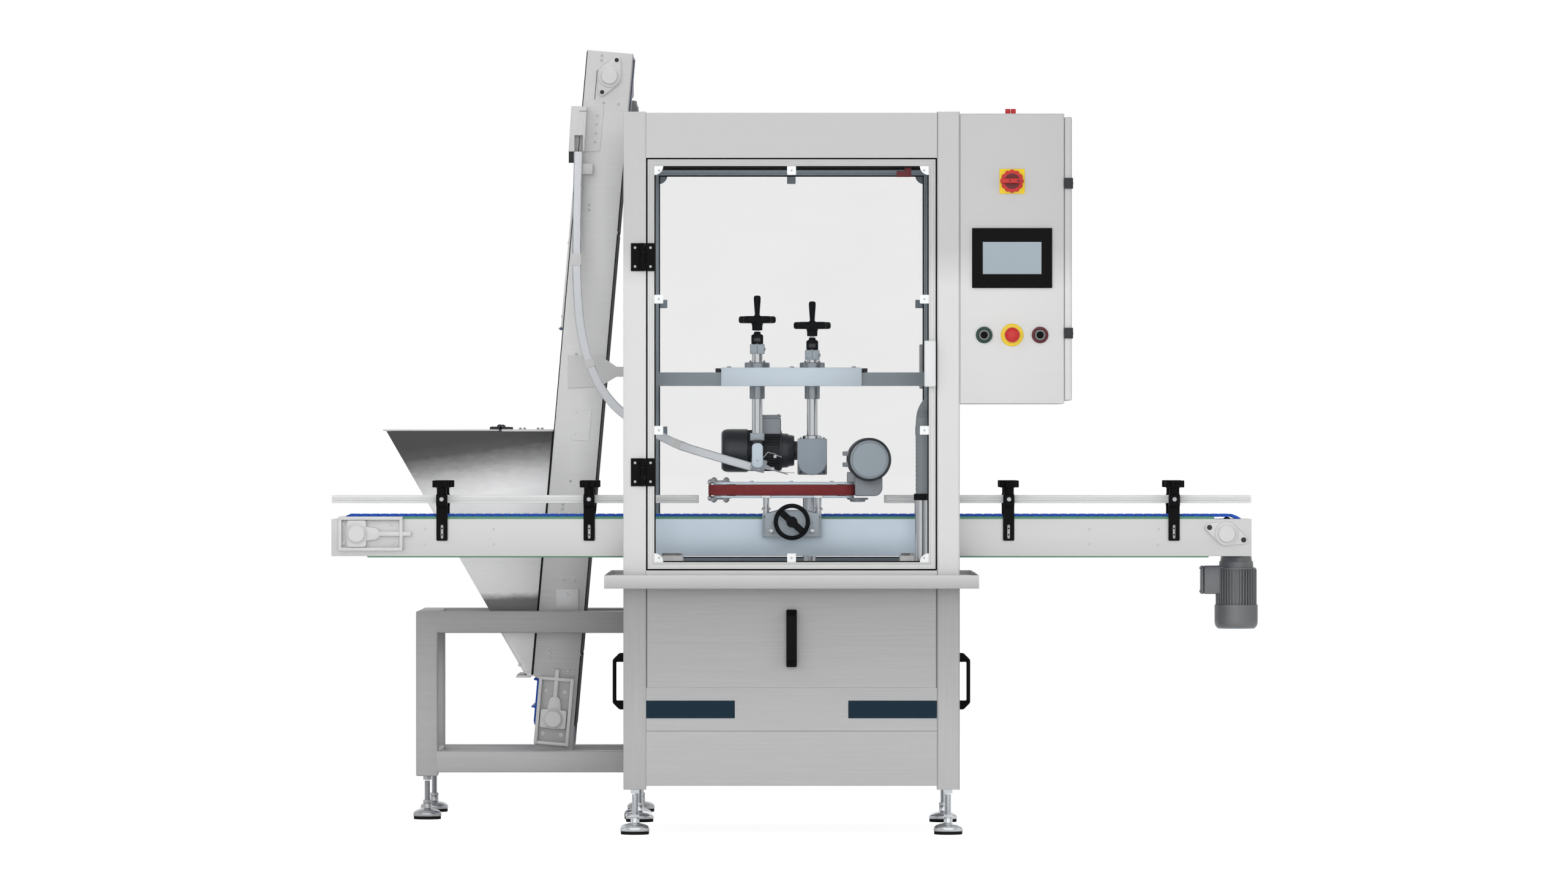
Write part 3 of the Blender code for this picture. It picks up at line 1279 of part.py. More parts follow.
def make_elevator(finishes):
    """Leaning side plates on ties, the cleated belt's one loop, bearings, take-up, covers and drive."""
    lean = empty_at("elevator_lean", (ELEVATOR_FOOT[0], 0, ELEVATOR_FOOT[1]), None, (0, LEAN, 0))
    width, length = ELEVATOR_WIDTH, ELEVATOR_LENGTH
    front, rear = ELEVATOR_FRONT, ELEVATOR_FRONT + ELEVATOR_DEPTH
    centre_u = width / 2 + 0.0035
    tail_v, head_v = 0.120, length - 0.067
    setback = 0.022
    side_outline = [
        (setback, 0.0),
        (width - 0.012, 0.0),
        (width, 0.045),
        (width, length),
        (0, length),
        (0, 0.235),
        (setback, 0.225),
    ]
    plates = [
        prism("plate", side_outline, "Y", front, front + ELEVATOR_PLATE),
        prism("plate", side_outline, "Y", rear - ELEVATOR_PLATE, rear),
    ]
    belt_radius = width / 2 - 0.006
    reach = belt_radius - ELEVATOR_BELT_THICKNESS - SEAT
    ties = [
        block("tie", (centre_u - reach, front + SKIN, v), (centre_u + reach, rear - SKIN, v + 0.030))
        for v in (0.30, 0.80, 1.30, 1.72)
    ]
    frame = join("frame", plates[0], *ties, plates[1])
    hull = ear_outline((centre_u, head_v), BEARING_BODY, BEARING_BOLT_SPAN / 2, 0.011, radians(61))
    for side, face in ((-1, front), (1, rear)):
        base, out = face - side * SKIN, face + side * BEARING_FLANGE
        frame = join("frame", frame, prism("flange", hull, "Y", min(base, out), max(base, out)))
        if side < 0:
            boss = [
                (BEARING_BODY, 0),
                (BEARING_BODY - 0.003, -0.012),
                (BEARING_BOSS, -0.013),
                (BEARING_BOSS, -BEARING_DEPTH),
            ]
            frame = join("frame", frame, turned("boss", boss, (centre_u, face, head_v), "Y", 24))
        frame = join("frame", frame, *upright_take_up((centre_u, tail_v), face, side))
    cover = block("cover", (-0.006, front, FLARE_START), (SKIN, rear, length - FLARE_SETBACK))
    frame = join("elevator_frame", frame, cover)
    lift_onto_lean(frame, lean)
    join("elevator_frame", frame, chute_head())
    finish(frame, finishes["steel"])
    loop = vertical_loop(centre_u, tail_v, head_v, belt_radius)
    inner = vertical_loop(centre_u, tail_v, head_v, belt_radius - ELEVATOR_BELT_THICKNESS)
    gap = 0.006
    low_y, high_y = front + ELEVATOR_PLATE + gap, rear - ELEVATOR_PLATE - gap
    belt = prism("belt", loop, "Y", low_y, high_y)
    cut(belt, prism("inside", inner, "Y", front - POST, rear + POST))
    cleats = []
    for v in (CLEAT_START, CLEAT_START + CLEAT_PITCH):
        cleats.append(
            block(
                "cleat",
                (centre_u - belt_radius - CLEAT, low_y + gap, v),
                (centre_u - belt_radius + SKIN, high_y - gap, v + 0.006),
            )
        )
    belt = join("belt", belt, *cleats)
    belt.name = "elevator_belt"
    lift_onto_lean(belt, lean)
    finish(belt, finishes["blue"])
    head_x, head_z = elevator_point(centre_u, head_v)
    shaft = (head_x, rear + BEARING_FLANGE + SEAT, head_z)
    geared_motor("elevator_gearmotor", shaft, 1, WORM_OFFSET, DRIVE_MOTOR_LENGTH, ELEVATOR_BOX_DEPTH, finishes)


def vertical_loop(u, low_v, high_v, radius, steps=8):
    """Outline of the elevator belt's side: a half round at the foot and at the head."""
    points = []
    for first, v in ((pi, low_v), (0, high_v)):
        for i in range(steps + 1):
            angle = first + i * pi / steps
            points.append((u + radius * cos(angle), v + radius * sin(angle)))
    return points


def upright_take_up(centre, face, side):
    """The same take-up unit as the conveyor's, standing up along the elevator."""
    pieces = take_up((0, 0), face, side)
    turn = Matrix.Translation((centre[0], 0, centre[1])) @ Matrix.Rotation(-pi / 2, 4, "Y")
    for piece in pieces:
        piece.data.transform(turn)
    return pieces


def lift_onto_lean(body, lean):
    """Places a piece drawn upright at the origin onto the elevator's lean."""
    bpy.context.view_layer.update()
    body.data.transform(lean.matrix_world)


def make_hopper(finishes):
    """Wedge-shaped hopper against the elevator, open at the top, with a fixed lid strip and a hinged lid."""
    sheet = HOPPER_SHEET
    front, rear = ELEVATOR_FRONT, ELEVATOR_FRONT + ELEVATOR_DEPTH

    def edge_x(z, away):
        """X of the elevator's left edge at a height, less a clearance."""
        rise = (z - ELEVATOR_FOOT[1]) / cos(LEAN)
        return ELEVATOR_FOOT[0] + rise * sin(LEAN) - away

    clear = 0.001
    outline = [
        (HOPPER_LEFT, HOPPER_TOP),
        (edge_x(HOPPER_BOTTOM, clear) - 0.012, HOPPER_BOTTOM),
        (edge_x(HOPPER_BOTTOM, clear), HOPPER_BOTTOM),
        (edge_x(HOPPER_TOP, clear), HOPPER_TOP),
    ]
    inner = [
        (HOPPER_LEFT + sheet * 2.2, HOPPER_TOP + POST),
        (HOPPER_LEFT + sheet * 2.2, HOPPER_TOP + SKIN),
        (edge_x(HOPPER_BOTTOM, clear) - 0.0075, HOPPER_BOTTOM + 0.012),
        (edge_x(HOPPER_BOTTOM, clear) - sheet, HOPPER_BOTTOM + 0.012),
        (edge_x(HOPPER_TOP, clear) - sheet, HOPPER_TOP),
        (edge_x(HOPPER_TOP, clear) - sheet, HOPPER_TOP + POST),
    ]
    hopper = prism("hopper", outline, "Y", front, rear)
    cut(hopper, prism("inside", inner, "Y", front + sheet, rear - sheet))
    strip_left = LID_HINGE_X + LID_PIN_RADIUS + RUN
    strip = block(
        "strip",
        (strip_left, front, HOPPER_TOP - SKIN),
        (edge_x(HOPPER_TOP, clear), rear, HOPPER_TOP + LID_SHEET),
    )
    hopper = join("hopper", hopper, strip)
    pin_z = HOPPER_TOP + LID_SHEET + LID_PIN_RADIUS
    knuckle_y = (front + rear) / 2
    fixed = [
        rod("knuckle", LID_PIN_RADIUS, "Y", (LID_HINGE_X, pin_z), front + 0.020, front + 0.045, 12),
        rod("knuckle", LID_PIN_RADIUS, "Y", (LID_HINGE_X, pin_z), rear - 0.045, rear - 0.020, 12),
        block("leaf", (LID_HINGE_X, front + 0.020, HOPPER_TOP + LID_SHEET - SKIN),
              (LID_HINGE_X + 0.028, front + 0.045, HOPPER_TOP + LID_SHEET + 0.004)),
        block("leaf", (LID_HINGE_X, rear - 0.045, HOPPER_TOP + LID_SHEET - SKIN),
              (LID_HINGE_X + 0.028, rear - 0.020, HOPPER_TOP + LID_SHEET + 0.004)),
    ]
    for piece in (fixed[2], fixed[3]):
        join("leaf", piece)
    hopper = join("hopper", hopper, *fixed)
    finish(hopper, finishes["steel"])
    hinge = empty_at("hopper_lid_pivot", (LID_HINGE_X, knuckle_y, pin_z))
    lid = block(
        "lid",
        (LID_LEFT, front - SKIN, HOPPER_TOP + SEAT),
        (LID_HINGE_X - RUN, rear + SKIN, HOPPER_TOP + LID_SHEET),
    )
    pieces = [lid]
    for start in (front + 0.045 + RUN, rear - 0.045 - RUN - 0.025):
        pieces.append(rod("knuckle", LID_PIN_RADIUS, "Y", (LID_HINGE_X, pin_z), start, start + 0.025, 12))
        pieces.append(
            block("leaf", (LID_HINGE_X - 0.028, start, HOPPER_TOP + LID_SHEET - SKIN),
                  (LID_HINGE_X, start + 0.025, HOPPER_TOP + LID_SHEET + 0.004))
        )
    finish(join("hopper_lid", *pieces), finishes["steel"], hinge)


def smooth_path(points, count):
    """Points on a smooth curve through the given ones."""
    knots = [Vector(p) for p in points]
    knots = [2 * knots[0] - knots[1], *knots, 2 * knots[-1] - knots[-2]]
    spans = len(knots) - 3
    path = []
    for i in range(count + 1):
        place = min(i * spans / count, spans - 1e-9)
        k = int(place)
        t = place - k
        a, b, c, d = knots[k : k + 4]
        path.append(
            0.5 * (2 * b + (c - a) * t + (2 * a - 5 * b + 4 * c - d) * t * t + (3 * b - a - 3 * c + d) * t ** 3)
        )
    return path


# Line of the cap chute: how far back towards its start it is in X and in Y, and its height
CHUTE_START = (ELEVATOR_FOOT[0] + 0.1475, ELEVATOR_FRONT - 0.025)
CHUTE_END = (CHUTE_COLUMN_X - 0.012, BELT_LINE_Y)
CHUTE_LINE = (
    (1.0, 1.0, 1.838),
    (1.006, 0.963, 1.640),
    (1.002, 0.881, 1.470),
    (0.970, 0.752, 1.330),
    (0.890, 0.569, 1.215),
    (0.764, 0.349, 1.132),
    (0.593, 0.156, 1.076),
    (0.413, 0.0275, 1.032),
    (0.228, 0.0, 1.003),
    (0.0, 0.0, 0.971),
)
CHUTE_POINTS = tuple(
    (
        CHUTE_END[0] + back_x * (CHUTE_START[0] - CHUTE_END[0]),
        CHUTE_END[1] + back_y * (CHUTE_START[1] - CHUTE_END[1]),
        z,
    )
    for back_x, back_y, z in CHUTE_LINE
)


def make_chute(finishes):
    """Cap track from the elevator's head to the pick-off over the conveyor, one bent channel."""
    path = smooth_path(CHUTE_POINTS, 27)
    bm = bmesh.new()
    half_w, half_d = CHUTE_WIDTH / 2, CHUTE_DEPTH / 2
    section = [(-half_w, -half_d), (half_w, -half_d), (half_w, half_d), (-half_w, half_d)]
    rings = []
    for i, point in enumerate(path):
        before, after = path[max(i - 1, 0)], path[min(i + 1, len(path) - 1)]
        ahead = (after - before).normalized()
        across = ahead.cross(Vector((0, 1, 0))).normalized()
        out = across.cross(ahead).normalized()
        taper = 0.78 if i > len(path) * 0.70 else 1.0
        rings.append([bm.verts.new(point + across * u * taper + out * v) for u, v in section])
    for lower, upper in zip(rings, rings[1:]):
        for i in range(4):
            j = (i + 1) % 4
            bm.faces.new((lower[i], lower[j], upper[j], upper[i]))
    bm.faces.new(rings[0])
    bm.faces.new(rings[-1])
    chute = solid_from(bm, "chute")
    stub_x, stub_y, stub_z = CHUTE_POINTS[0][0], CHUTE_POINTS[0][1], CHUTE_POINTS[0][2] - 0.060
    stub_low = (stub_x, stub_y, stub_z)
    stub = block("stub", stub_low, (stub_x + 0.040, ELEVATOR_FRONT - SEAT, stub_z + 0.030))
    finish(join("cap_chute", chute, stub), finishes["rail"])


def chute_head():
    """Cover at the elevator's head that turns the caps into the chute, its underside open over it."""
    low = (CHUTE_POINTS[0][0] - CHUTE_COVER_WIDTH * 0.45, ELEVATOR_FRONT - CHUTE_COVER_DEPTH, CHUTE_COVER_Z)
    high = (low[0] + CHUTE_COVER_WIDTH, ELEVATOR_FRONT + SKIN, CHUTE_COVER_Z + CHUTE_COVER_HEIGHT)
    cover = block("cover", low, high)
    start = CHUTE_POINTS[0]
    room = CHUTE_WIDTH * 0.5 + 0.004
    mouth_low = (start[0] - room, low[1] - POST, low[2] - POST)
    mouth_high = (start[0] + room, ELEVATOR_FRONT - SEAT, start[2] + 0.004)
    return cut(cover, block("mouth", mouth_low, mouth_high))


def make_tie(finishes):
    """Bracket that ties the elevator to the body's rear left post."""
    z = 1.233
    x, _ = elevator_point(ELEVATOR_WIDTH * 0.5, (z - ELEVATOR_FOOT[1]) / cos(LEAN))
    y = ELEVATOR_FRONT - SEAT
    post_x = -BODY_WIDTH / 2
    outline = [
        (x - 0.040, z - 0.045),
        (x + 0.050, z - 0.040),
        (x + 0.095, z - 0.014),
        (post_x + 0.050, z - 0.014),
        (post_x + 0.050, z + 0.014),
        (x + 0.095, z + 0.014),
        (x + 0.050, z + 0.045),
        (x - 0.040, z + 0.045),
    ]
    plate = prism("plate", outline, "Y", y - 0.005, y)
    arm = block("arm", (post_x + 0.020, BODY_DEPTH + SEAT, z - 0.014), (post_x + 0.050, y, z + 0.014))
    finish(join("tie_bracket", plate, arm), finishes["steel"])


def centre_footprint():
    """Moves the whole machine so that the middle of its footprint is the origin."""
    bpy.context.view_layer.update()
    corners = [
        piece.matrix_world @ Vector(corner)
        for piece in bpy.data.objects
        if piece.type == "MESH"
        for corner in piece.bound_box
    ]
    shift = Vector(
        (
            -(min(c.x for c in corners) + max(c.x for c in corners)) / 2,
            -(min(c.y for c in corners) + max(c.y for c in corners)) / 2,
            0,
        )
    )
    for piece in bpy.data.objects:
        if piece.parent is None:
            piece.location += shift
    bpy.context.view_layer.update()


def main():
    """Builds the machine, sub-assembly by sub-assembly."""
    clear_scene()
    finishes = make_materials()
    make_posts(finishes)
    make_hood(finishes)
    make_tray(finishes)
    make_base(finishes)
    make_grips(finishes)
    make_feet(finishes)
    make_cross_frame(finishes)
    make_side_panes(finishes)
    make_body_door(finishes, "front", -1)
    make_body_door(finishes, "rear", 1)
    make_conveyor(finishes)
    make_guides(finishes)
    make_bridge(finishes)
    make_chute_column(finishes)
    make_head(finishes)
    make_grip_unit(finishes, "front", -1)
    make_grip_unit(finishes, "rear", 1)
    make_width_gear(finishes)
    make_cabinet(finishes)
    make_stand(finishes)
    make_elevator(finishes)
    make_hopper(finishes)
    make_chute(finishes)
    make_tie(finishes)
    centre_footprint()


main()
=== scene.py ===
"""Looks of a capping machine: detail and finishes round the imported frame.

Metres, +Z up, +X along the conveyor to its driven end, +Y away from the operator. Pieces are drawn from
the middle of the body's front face at floor level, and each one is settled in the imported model's frame.
"""

import json
import logging
import math
from collections.abc import Callable, Iterator, Sequence
from contextlib import contextmanager
from dataclasses import dataclass, field
from enum import Enum
from math import cos, pi, radians, sin
from typing import Any

import bmesh
import bpy
from mathutils import Matrix, Vector

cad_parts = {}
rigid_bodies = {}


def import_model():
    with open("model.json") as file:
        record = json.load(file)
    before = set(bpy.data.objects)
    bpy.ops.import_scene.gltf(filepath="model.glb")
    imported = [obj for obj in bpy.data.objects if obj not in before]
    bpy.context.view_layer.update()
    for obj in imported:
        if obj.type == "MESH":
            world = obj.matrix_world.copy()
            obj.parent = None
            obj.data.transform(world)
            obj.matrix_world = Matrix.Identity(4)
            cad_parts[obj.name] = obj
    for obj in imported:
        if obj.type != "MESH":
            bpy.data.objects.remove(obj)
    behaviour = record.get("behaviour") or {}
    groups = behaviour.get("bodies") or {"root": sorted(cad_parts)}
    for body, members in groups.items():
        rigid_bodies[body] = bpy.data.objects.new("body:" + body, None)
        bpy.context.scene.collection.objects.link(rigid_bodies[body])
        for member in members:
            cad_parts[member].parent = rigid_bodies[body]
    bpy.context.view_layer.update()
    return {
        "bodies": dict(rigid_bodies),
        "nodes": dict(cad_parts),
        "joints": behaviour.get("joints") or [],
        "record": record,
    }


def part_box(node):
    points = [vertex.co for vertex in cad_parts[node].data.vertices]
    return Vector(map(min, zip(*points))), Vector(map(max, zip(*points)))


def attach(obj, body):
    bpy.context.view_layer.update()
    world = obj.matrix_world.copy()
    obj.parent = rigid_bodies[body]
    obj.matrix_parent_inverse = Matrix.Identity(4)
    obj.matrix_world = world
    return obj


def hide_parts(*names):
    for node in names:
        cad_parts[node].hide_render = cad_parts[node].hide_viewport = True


LOG = logging.getLogger("capping_machine")
SKIN = 0.002  # How far the body's panels stand behind the faces of its posts.
SEAT = 0.0003  # Gap between pieces that rest on each other.
MIDDLE_Y = 0.380  # The conveyor's line, half way through the body.
HINGE_X = -0.3935  # Pins of both body doors.
HINGE_HEIGHTS = (1.528, 0.959)
EAR_REACH = 0.04875  # From a bearing's middle to its bolts.
ORIGIN = (0, 0, 0)
Piece = bpy.types.Object
Pair = tuple[float, float]
Triple = tuple[float, float, float]


class Axis(Enum):
    """The axis that an outline is drawn across or a round piece turns about."""

    X = Matrix(((0, 0, 1, 0), (1, 0, 0, 0), (0, 1, 0, 0), (0, 0, 0, 1)))
    Y = Matrix(((1, 0, 0, 0), (0, 0, 1, 0), (0, 1, 0, 0), (0, 0, 0, 1)))
    Z = Matrix(((1, 0, 0, 0), (0, 1, 0, 0), (0, 0, 1, 0), (0, 0, 0, 1)))

    def step(self, length: float) -> Vector:
        """A move of that length along the axis."""
        return (self.value.to_3x3() @ Vector((0, 0, 1))) * length


def rounded(width: float, height: float, radius: float, steps: int = 4, centre: Pair = (0, 0)) -> list[Pair]:
    """Outline of a rectangle with round corners.

    Args:
        width: Size along the first direction.
        height: Size along the second direction.
        radius: Radius of the corners.
        steps: Faces round one corner.
        centre: Middle of the rectangle.

    Returns:
        The corners, counter-clockwise.
    """
    points = []
    for side_u, side_v, first in ((1, 1, 0), (-1, 1, pi / 2), (-1, -1, pi), (1, -1, 3 * pi / 2)):
        for i in range(steps + 1):
            angle = first + i * pi / 2 / steps
            points.append(
                (
                    centre[0] + side_u * (width / 2 - radius) + radius * cos(angle),
                    centre[1] + side_v * (height / 2 - radius) + radius * sin(angle),
                )
            )
    return points


def arc(centre: Pair, radius: float, start: float, end: float, steps: int) -> list[Pair]:
    """Points on an arc.

    Args:
        centre: Middle of the arc.
        radius: Its radius.
        start: First angle in degrees.
        end: Last angle in degrees.
        steps: Number of straight runs.

    Returns:
        The points from start to end.
    """
    turns = [radians(start + (end - start) * i / steps) for i in range(steps + 1)]
    return [(centre[0] + radius * cos(turn), centre[1] + radius * sin(turn)) for turn in turns]


def stadium(left: float, right: float, middle: float, radius: float, steps: int = 12) -> list[Pair]:
    """Outline of a belt loop's side.

    Args:
        left: Middle of the left round.
        right: Middle of the right round.
        middle: Height of the loop's line.
        radius: Radius of both rounds.
        steps: Faces round one end.

    Returns:
        The outline's points.
    """
    return arc((right, middle), radius, -90, 90, steps) + arc((left, middle), radius, 90, 270, steps)


def lobed(radius: float, lobes: int, depth: float, centre: Pair = (0, 0), first: float = 0.0) -> list[Pair]:
    """Outline of a star grip.

    Args:
        radius: Reach of the lobes.
        lobes: Their number.
        depth: How far the hollows between them go in.
        centre: Middle of the grip.
        first: Angle of the first lobe, in radians.

    Returns:
        The outline's points.
    """
    points = []
    for i in range(lobes * 10):
        angle = 2 * pi * i / (lobes * 10)
        reach = radius - depth * (0.5 - 0.5 * cos(lobes * angle)) ** 1.4
        points.append((centre[0] + reach * cos(angle + first), centre[1] + reach * sin(angle + first)))
    return points


def eared(centre: Pair, radius: float, reach: float, ear: float, turn: float) -> list[Pair]:
    """Outline of a two-bolt bearing flange.

    Args:
        centre: Middle of the bearing.
        radius: Radius of the round body.
        reach: Distance of a bolt from the middle.
        ear: Radius round a bolt.
        turn: Angle of the bolts' line, in radians.

    Returns:
        The outline's points.
    """
    points = []
    for base in (0, pi):
        for i in range(9):
            angle = base - pi / 2 * 0.75 + i * pi * 0.75 / 8
            points.append((reach * cos(base) + ear * cos(angle), ear * sin(angle)))
        for i in range(9):
            angle = base + pi / 2 - 0.5 + i / 8
            points.append((radius * cos(angle), radius * sin(angle)))
    c, s = cos(turn), sin(turn)
    return [(centre[0] + u * c - v * s, centre[1] + u * s + v * c) for u, v in points]


def smooth_path(points: Sequence[Triple], count: int) -> list[Vector]:
    """Points on a smooth curve through the given ones.

    Args:
        points: The points that it passes.
        count: Number of straight runs.

    Returns:
        The path's points.
    """
    knots = [Vector(p) for p in points]
    knots = [2 * knots[0] - knots[1], *knots, 2 * knots[-1] - knots[-2]]
    spans = len(knots) - 3
    path = []
    for i in range(count + 1):
        place = min(i * spans / count, spans - 1e-9)
        t = place - int(place)
        a, b, c, d = knots[int(place) : int(place) + 4]
        path.append(0.5 * (2 * b + (c - a) * t + (2 * a - 5 * b + 4 * c - d) * t**2 + (3 * b - a - 3 * c + d) * t**3))
    return path


def loop_place(run: float, straight: float, line: float) -> Matrix:
    """Where a link stands on a belt loop in the X-Z plane.

    Args:
        run: Way along the loop from the start of its upper run.
        straight: Length of a straight run, from X 0 on.
        line: Radius of the links' line round both ends.

    Returns:
        The link's place and turn.
    """
    out, bend = Matrix.Translation((0, 0, line)), pi * line
    if run < straight:
        return Matrix.Translation((run, 0, 0)) @ out
    run -= straight
    if run < bend:
        return Matrix.Translation((straight, 0, 0)) @ Matrix.Rotation(run / line, 4, "Y") @ out
    run -= bend
    if run < straight:
        return Matrix.Translation((straight - run, 0, 0)) @ Matrix.Rotation(pi, 4, "Y") @ out
    return Matrix.Rotation(pi + (run - straight) / line, 4, "Y") @ out


def math_method(operation: str, swapped: bool = False) -> Callable[["Term", Any], "Term"]:
    """Makes a method of Term that adds a Math node.

    Args:
        operation: The node's operation.
        swapped: True puts the other value first.

    Returns:
        The method.
    """

    def method(self: "Term", other: Any = 0.0) -> "Term":
        """Adds the node."""
        first, second = (other, self) if swapped else (self, other)
        made = self.recipe.node("ShaderNodeMath", {"operation": operation}, {0: first, 1: second})
        return Term(self.recipe, made.outputs[0])

    return method


class Term:
    """A socket's value in a formula; its operators add Math nodes."""

    def __init__(self, recipe: "Tree", socket: bpy.types.NodeSocket) -> None:
        """Wraps a socket of a recipe."""
        self.recipe, self.socket = recipe, socket

    __add__ = math_method("ADD")
    __radd__ = math_method("ADD", swapped=True)
    __sub__ = math_method("SUBTRACT")
    __rsub__ = math_method("SUBTRACT", swapped=True)
    __mul__ = math_method("MULTIPLY")
    __truediv__ = math_method("DIVIDE")
    __lt__ = math_method("LESS_THAN")
    __mod__ = math_method("FLOORED_MODULO")
    __abs__ = math_method("ABSOLUTE")


class Tree:
    """A node tree written through terms."""

    def __init__(self, tree: bpy.types.NodeTree, place: str) -> None:
        """Takes a tree and the coordinates to draw in."""
        self.tree = tree
        self.place = self.node("ShaderNodeTexCoord").outputs[place]

    def node(self, kind: str, settings: dict[str, Any] | None = None, inputs: dict[Any, Any] | None = None) -> Any:
        """Adds a node.

        Args:
            kind: The node's type.
            settings: Its attributes, set first; a list of (position, colour) pairs under "stops" fills a ramp.
            inputs: Values, terms or sockets, by input name or number.

        Returns:
            The node.
        """
        node = self.tree.nodes.new(kind)
        for name, value in (settings or {}).items():
            if name == "stops":
                stops = node.color_ramp.elements
                while len(stops) < len(value):
                    stops.new(0.5)
                for stop, (position, colour) in zip(stops, value):
                    stop.position, stop.color = position, (*colour, 1)
            else:
                setattr(node, name, value)
        for key, value in (inputs or {}).items():
            self.feed(node.inputs[key], value)
        return node

    def feed(self, socket: bpy.types.NodeSocket, value: Any) -> None:
        """Links or sets one input."""
        if isinstance(value, Term):
            self.tree.links.new(value.socket, socket)
        elif isinstance(value, bpy.types.NodeSocket):
            self.tree.links.new(value, socket)
        elif isinstance(value, tuple) and len(value) == 3 and socket.type == "RGBA":
            socket.default_value = (*value, 1)
        else:
            socket.default_value = value

    def noise(self, scale: float, detail: float = 3.0, stretch: Triple = (1, 1, 1), rough: float = 0.5) -> Term:
        """Noise over the piece's place in the frame.

        Args:
            scale: Waves per metre.
            detail: Octaves.
            stretch: Scale along X, Y and Z; a small one draws the pattern out.
            rough: Strength of the finer octaves.

        Returns:
            The noise, about 0 to 1.
        """
        spread = self.node("ShaderNodeMapping", None, {"Vector": self.place, "Scale": stretch})
        made = self.node(
            "ShaderNodeTexNoise",
            None,
            {"Vector": spread.outputs[0], "Scale": scale, "Detail": detail, "Roughness": rough},
        )
        return Term(self, made.outputs[0])

    def coordinates(self) -> tuple[Term, Term, Term]:
        """The place in the frame as X, Y and Z."""
        parts = self.node("ShaderNodeSeparateXYZ", None, {0: self.place})
        return Term(self, parts.outputs[0]), Term(self, parts.outputs[1]), Term(self, parts.outputs[2])

    def mix(self, first: Any, second: Any, factor: Any) -> bpy.types.NodeSocket:
        """Colour between two, by a factor."""
        made = self.node("ShaderNodeMix", {"data_type": "RGBA"}, {0: factor, 6: first, 7: second})
        return made.outputs[2]

    def shade(self, colour: Triple, amount: Any, spread: float) -> bpy.types.NodeSocket:
        """A colour a little darker and lighter over a term from 0 to 1."""
        dark = tuple(max(c * (1 - spread), 0.0) for c in colour)
        light = tuple(min(c * (1 + spread), 1.0) for c in colour)
        return self.mix(dark, light, amount)

    def ramp(self, value: Term, *stops: Pair) -> Term:
        """A tone read from a term through straight lines between (position, tone) stops."""
        made = self.node("ShaderNodeValToRGB", {"stops": [(place, (tone,) * 3) for place, tone in stops]}, {0: value})
        return Term(self, made.outputs[0])

    def gray(self, tone: Any) -> bpy.types.NodeSocket:
        """A tone as a colour."""
        return self.node("ShaderNodeCombineColor", None, {0: tone, 1: tone, 2: tone}).outputs[0]

    def scaled(self, colour: Any, factor: Any) -> bpy.types.NodeSocket:
        """A colour times a tone or another colour."""
        made = self.node("ShaderNodeMix", {"data_type": "RGBA", "blend_type": "MULTIPLY"},
                         {0: 1.0, 6: colour, 7: factor})
        return made.outputs[2]

    def greatest(self, *values: Any) -> Term:
        """The greatest of some terms or sockets."""
        most = values[0]
        for value in values[1:]:
            most = Term(self, self.node("ShaderNodeMath", {"operation": "MAXIMUM"}, {0: most, 1: value}).outputs[0])
        return most

    def light(self, kind: str, colour: Any, strength: float) -> bpy.types.NodeSocket:
        """A shader that only gives light."""
        return self.node(kind, None, {"Color": colour, "Strength": strength}).outputs[0]

    def blend(self, factor: Any, first: Any, second: Any) -> bpy.types.NodeSocket:
        """Shader between two, by a factor."""
        return self.node("ShaderNodeMixShader", None, {0: factor, 1: first, 2: second}).outputs[0]

    def end(self, kind: str, shader: Any) -> None:
        """Leads a shader to the tree's output."""
        outputs = [n for n in self.tree.nodes if n.bl_idname == kind]
        self.feed((outputs[0] if outputs else self.node(kind)).inputs["Surface"], shader)


class Recipe(Tree):
    """The node tree of one finish."""

    def __init__(self, name: str) -> None:
        """Starts a material with one Principled shader."""
        self.material = bpy.data.materials.new(name)
        self.material.use_nodes = True
        super().__init__(self.material.node_tree, "Object")
        self.shader = self.tree.nodes["Principled BSDF"]

    def set(self, **values: Any) -> None:
        """Sets the shader's sockets, their names written with _ for a space."""
        for name, value in values.items():
            self.feed(self.shader.inputs[name.replace("_", " ")], value)

    def bump(self, height: Term, distance: float, strength: float = 1.0) -> None:
        """Relief from a height term; distance is its depth in metres."""
        made = self.node("ShaderNodeBump", None, {"Height": height, "Distance": distance, "Strength": strength})
        self.set(Normal=made.outputs[0])


@dataclass(frozen=True)
class Finish:
    """A finish with an even, faintly clouded colour; subclasses draw their own pattern."""

    name: str
    colour: Triple
    roughness: float
    metallic: float = 0.0
    made: dict = field(default_factory=dict, compare=False, repr=False)

    def material(self) -> bpy.types.Material:
        """The finish's material, made once."""
        if "material" not in self.made:
            recipe = Recipe(self.name)
            recipe.set(Metallic=self.metallic)
            self.draw(recipe)
            self.made["material"] = recipe.material
        return self.made["material"]

    def draw(self, recipe: Recipe) -> None:
        """Draws the pattern."""
        cloud = recipe.noise(9.0, 4.0)
        recipe.set(Base_Color=recipe.shade(self.colour, cloud, 0.05), Roughness=self.roughness + cloud * 0.05 - 0.025)


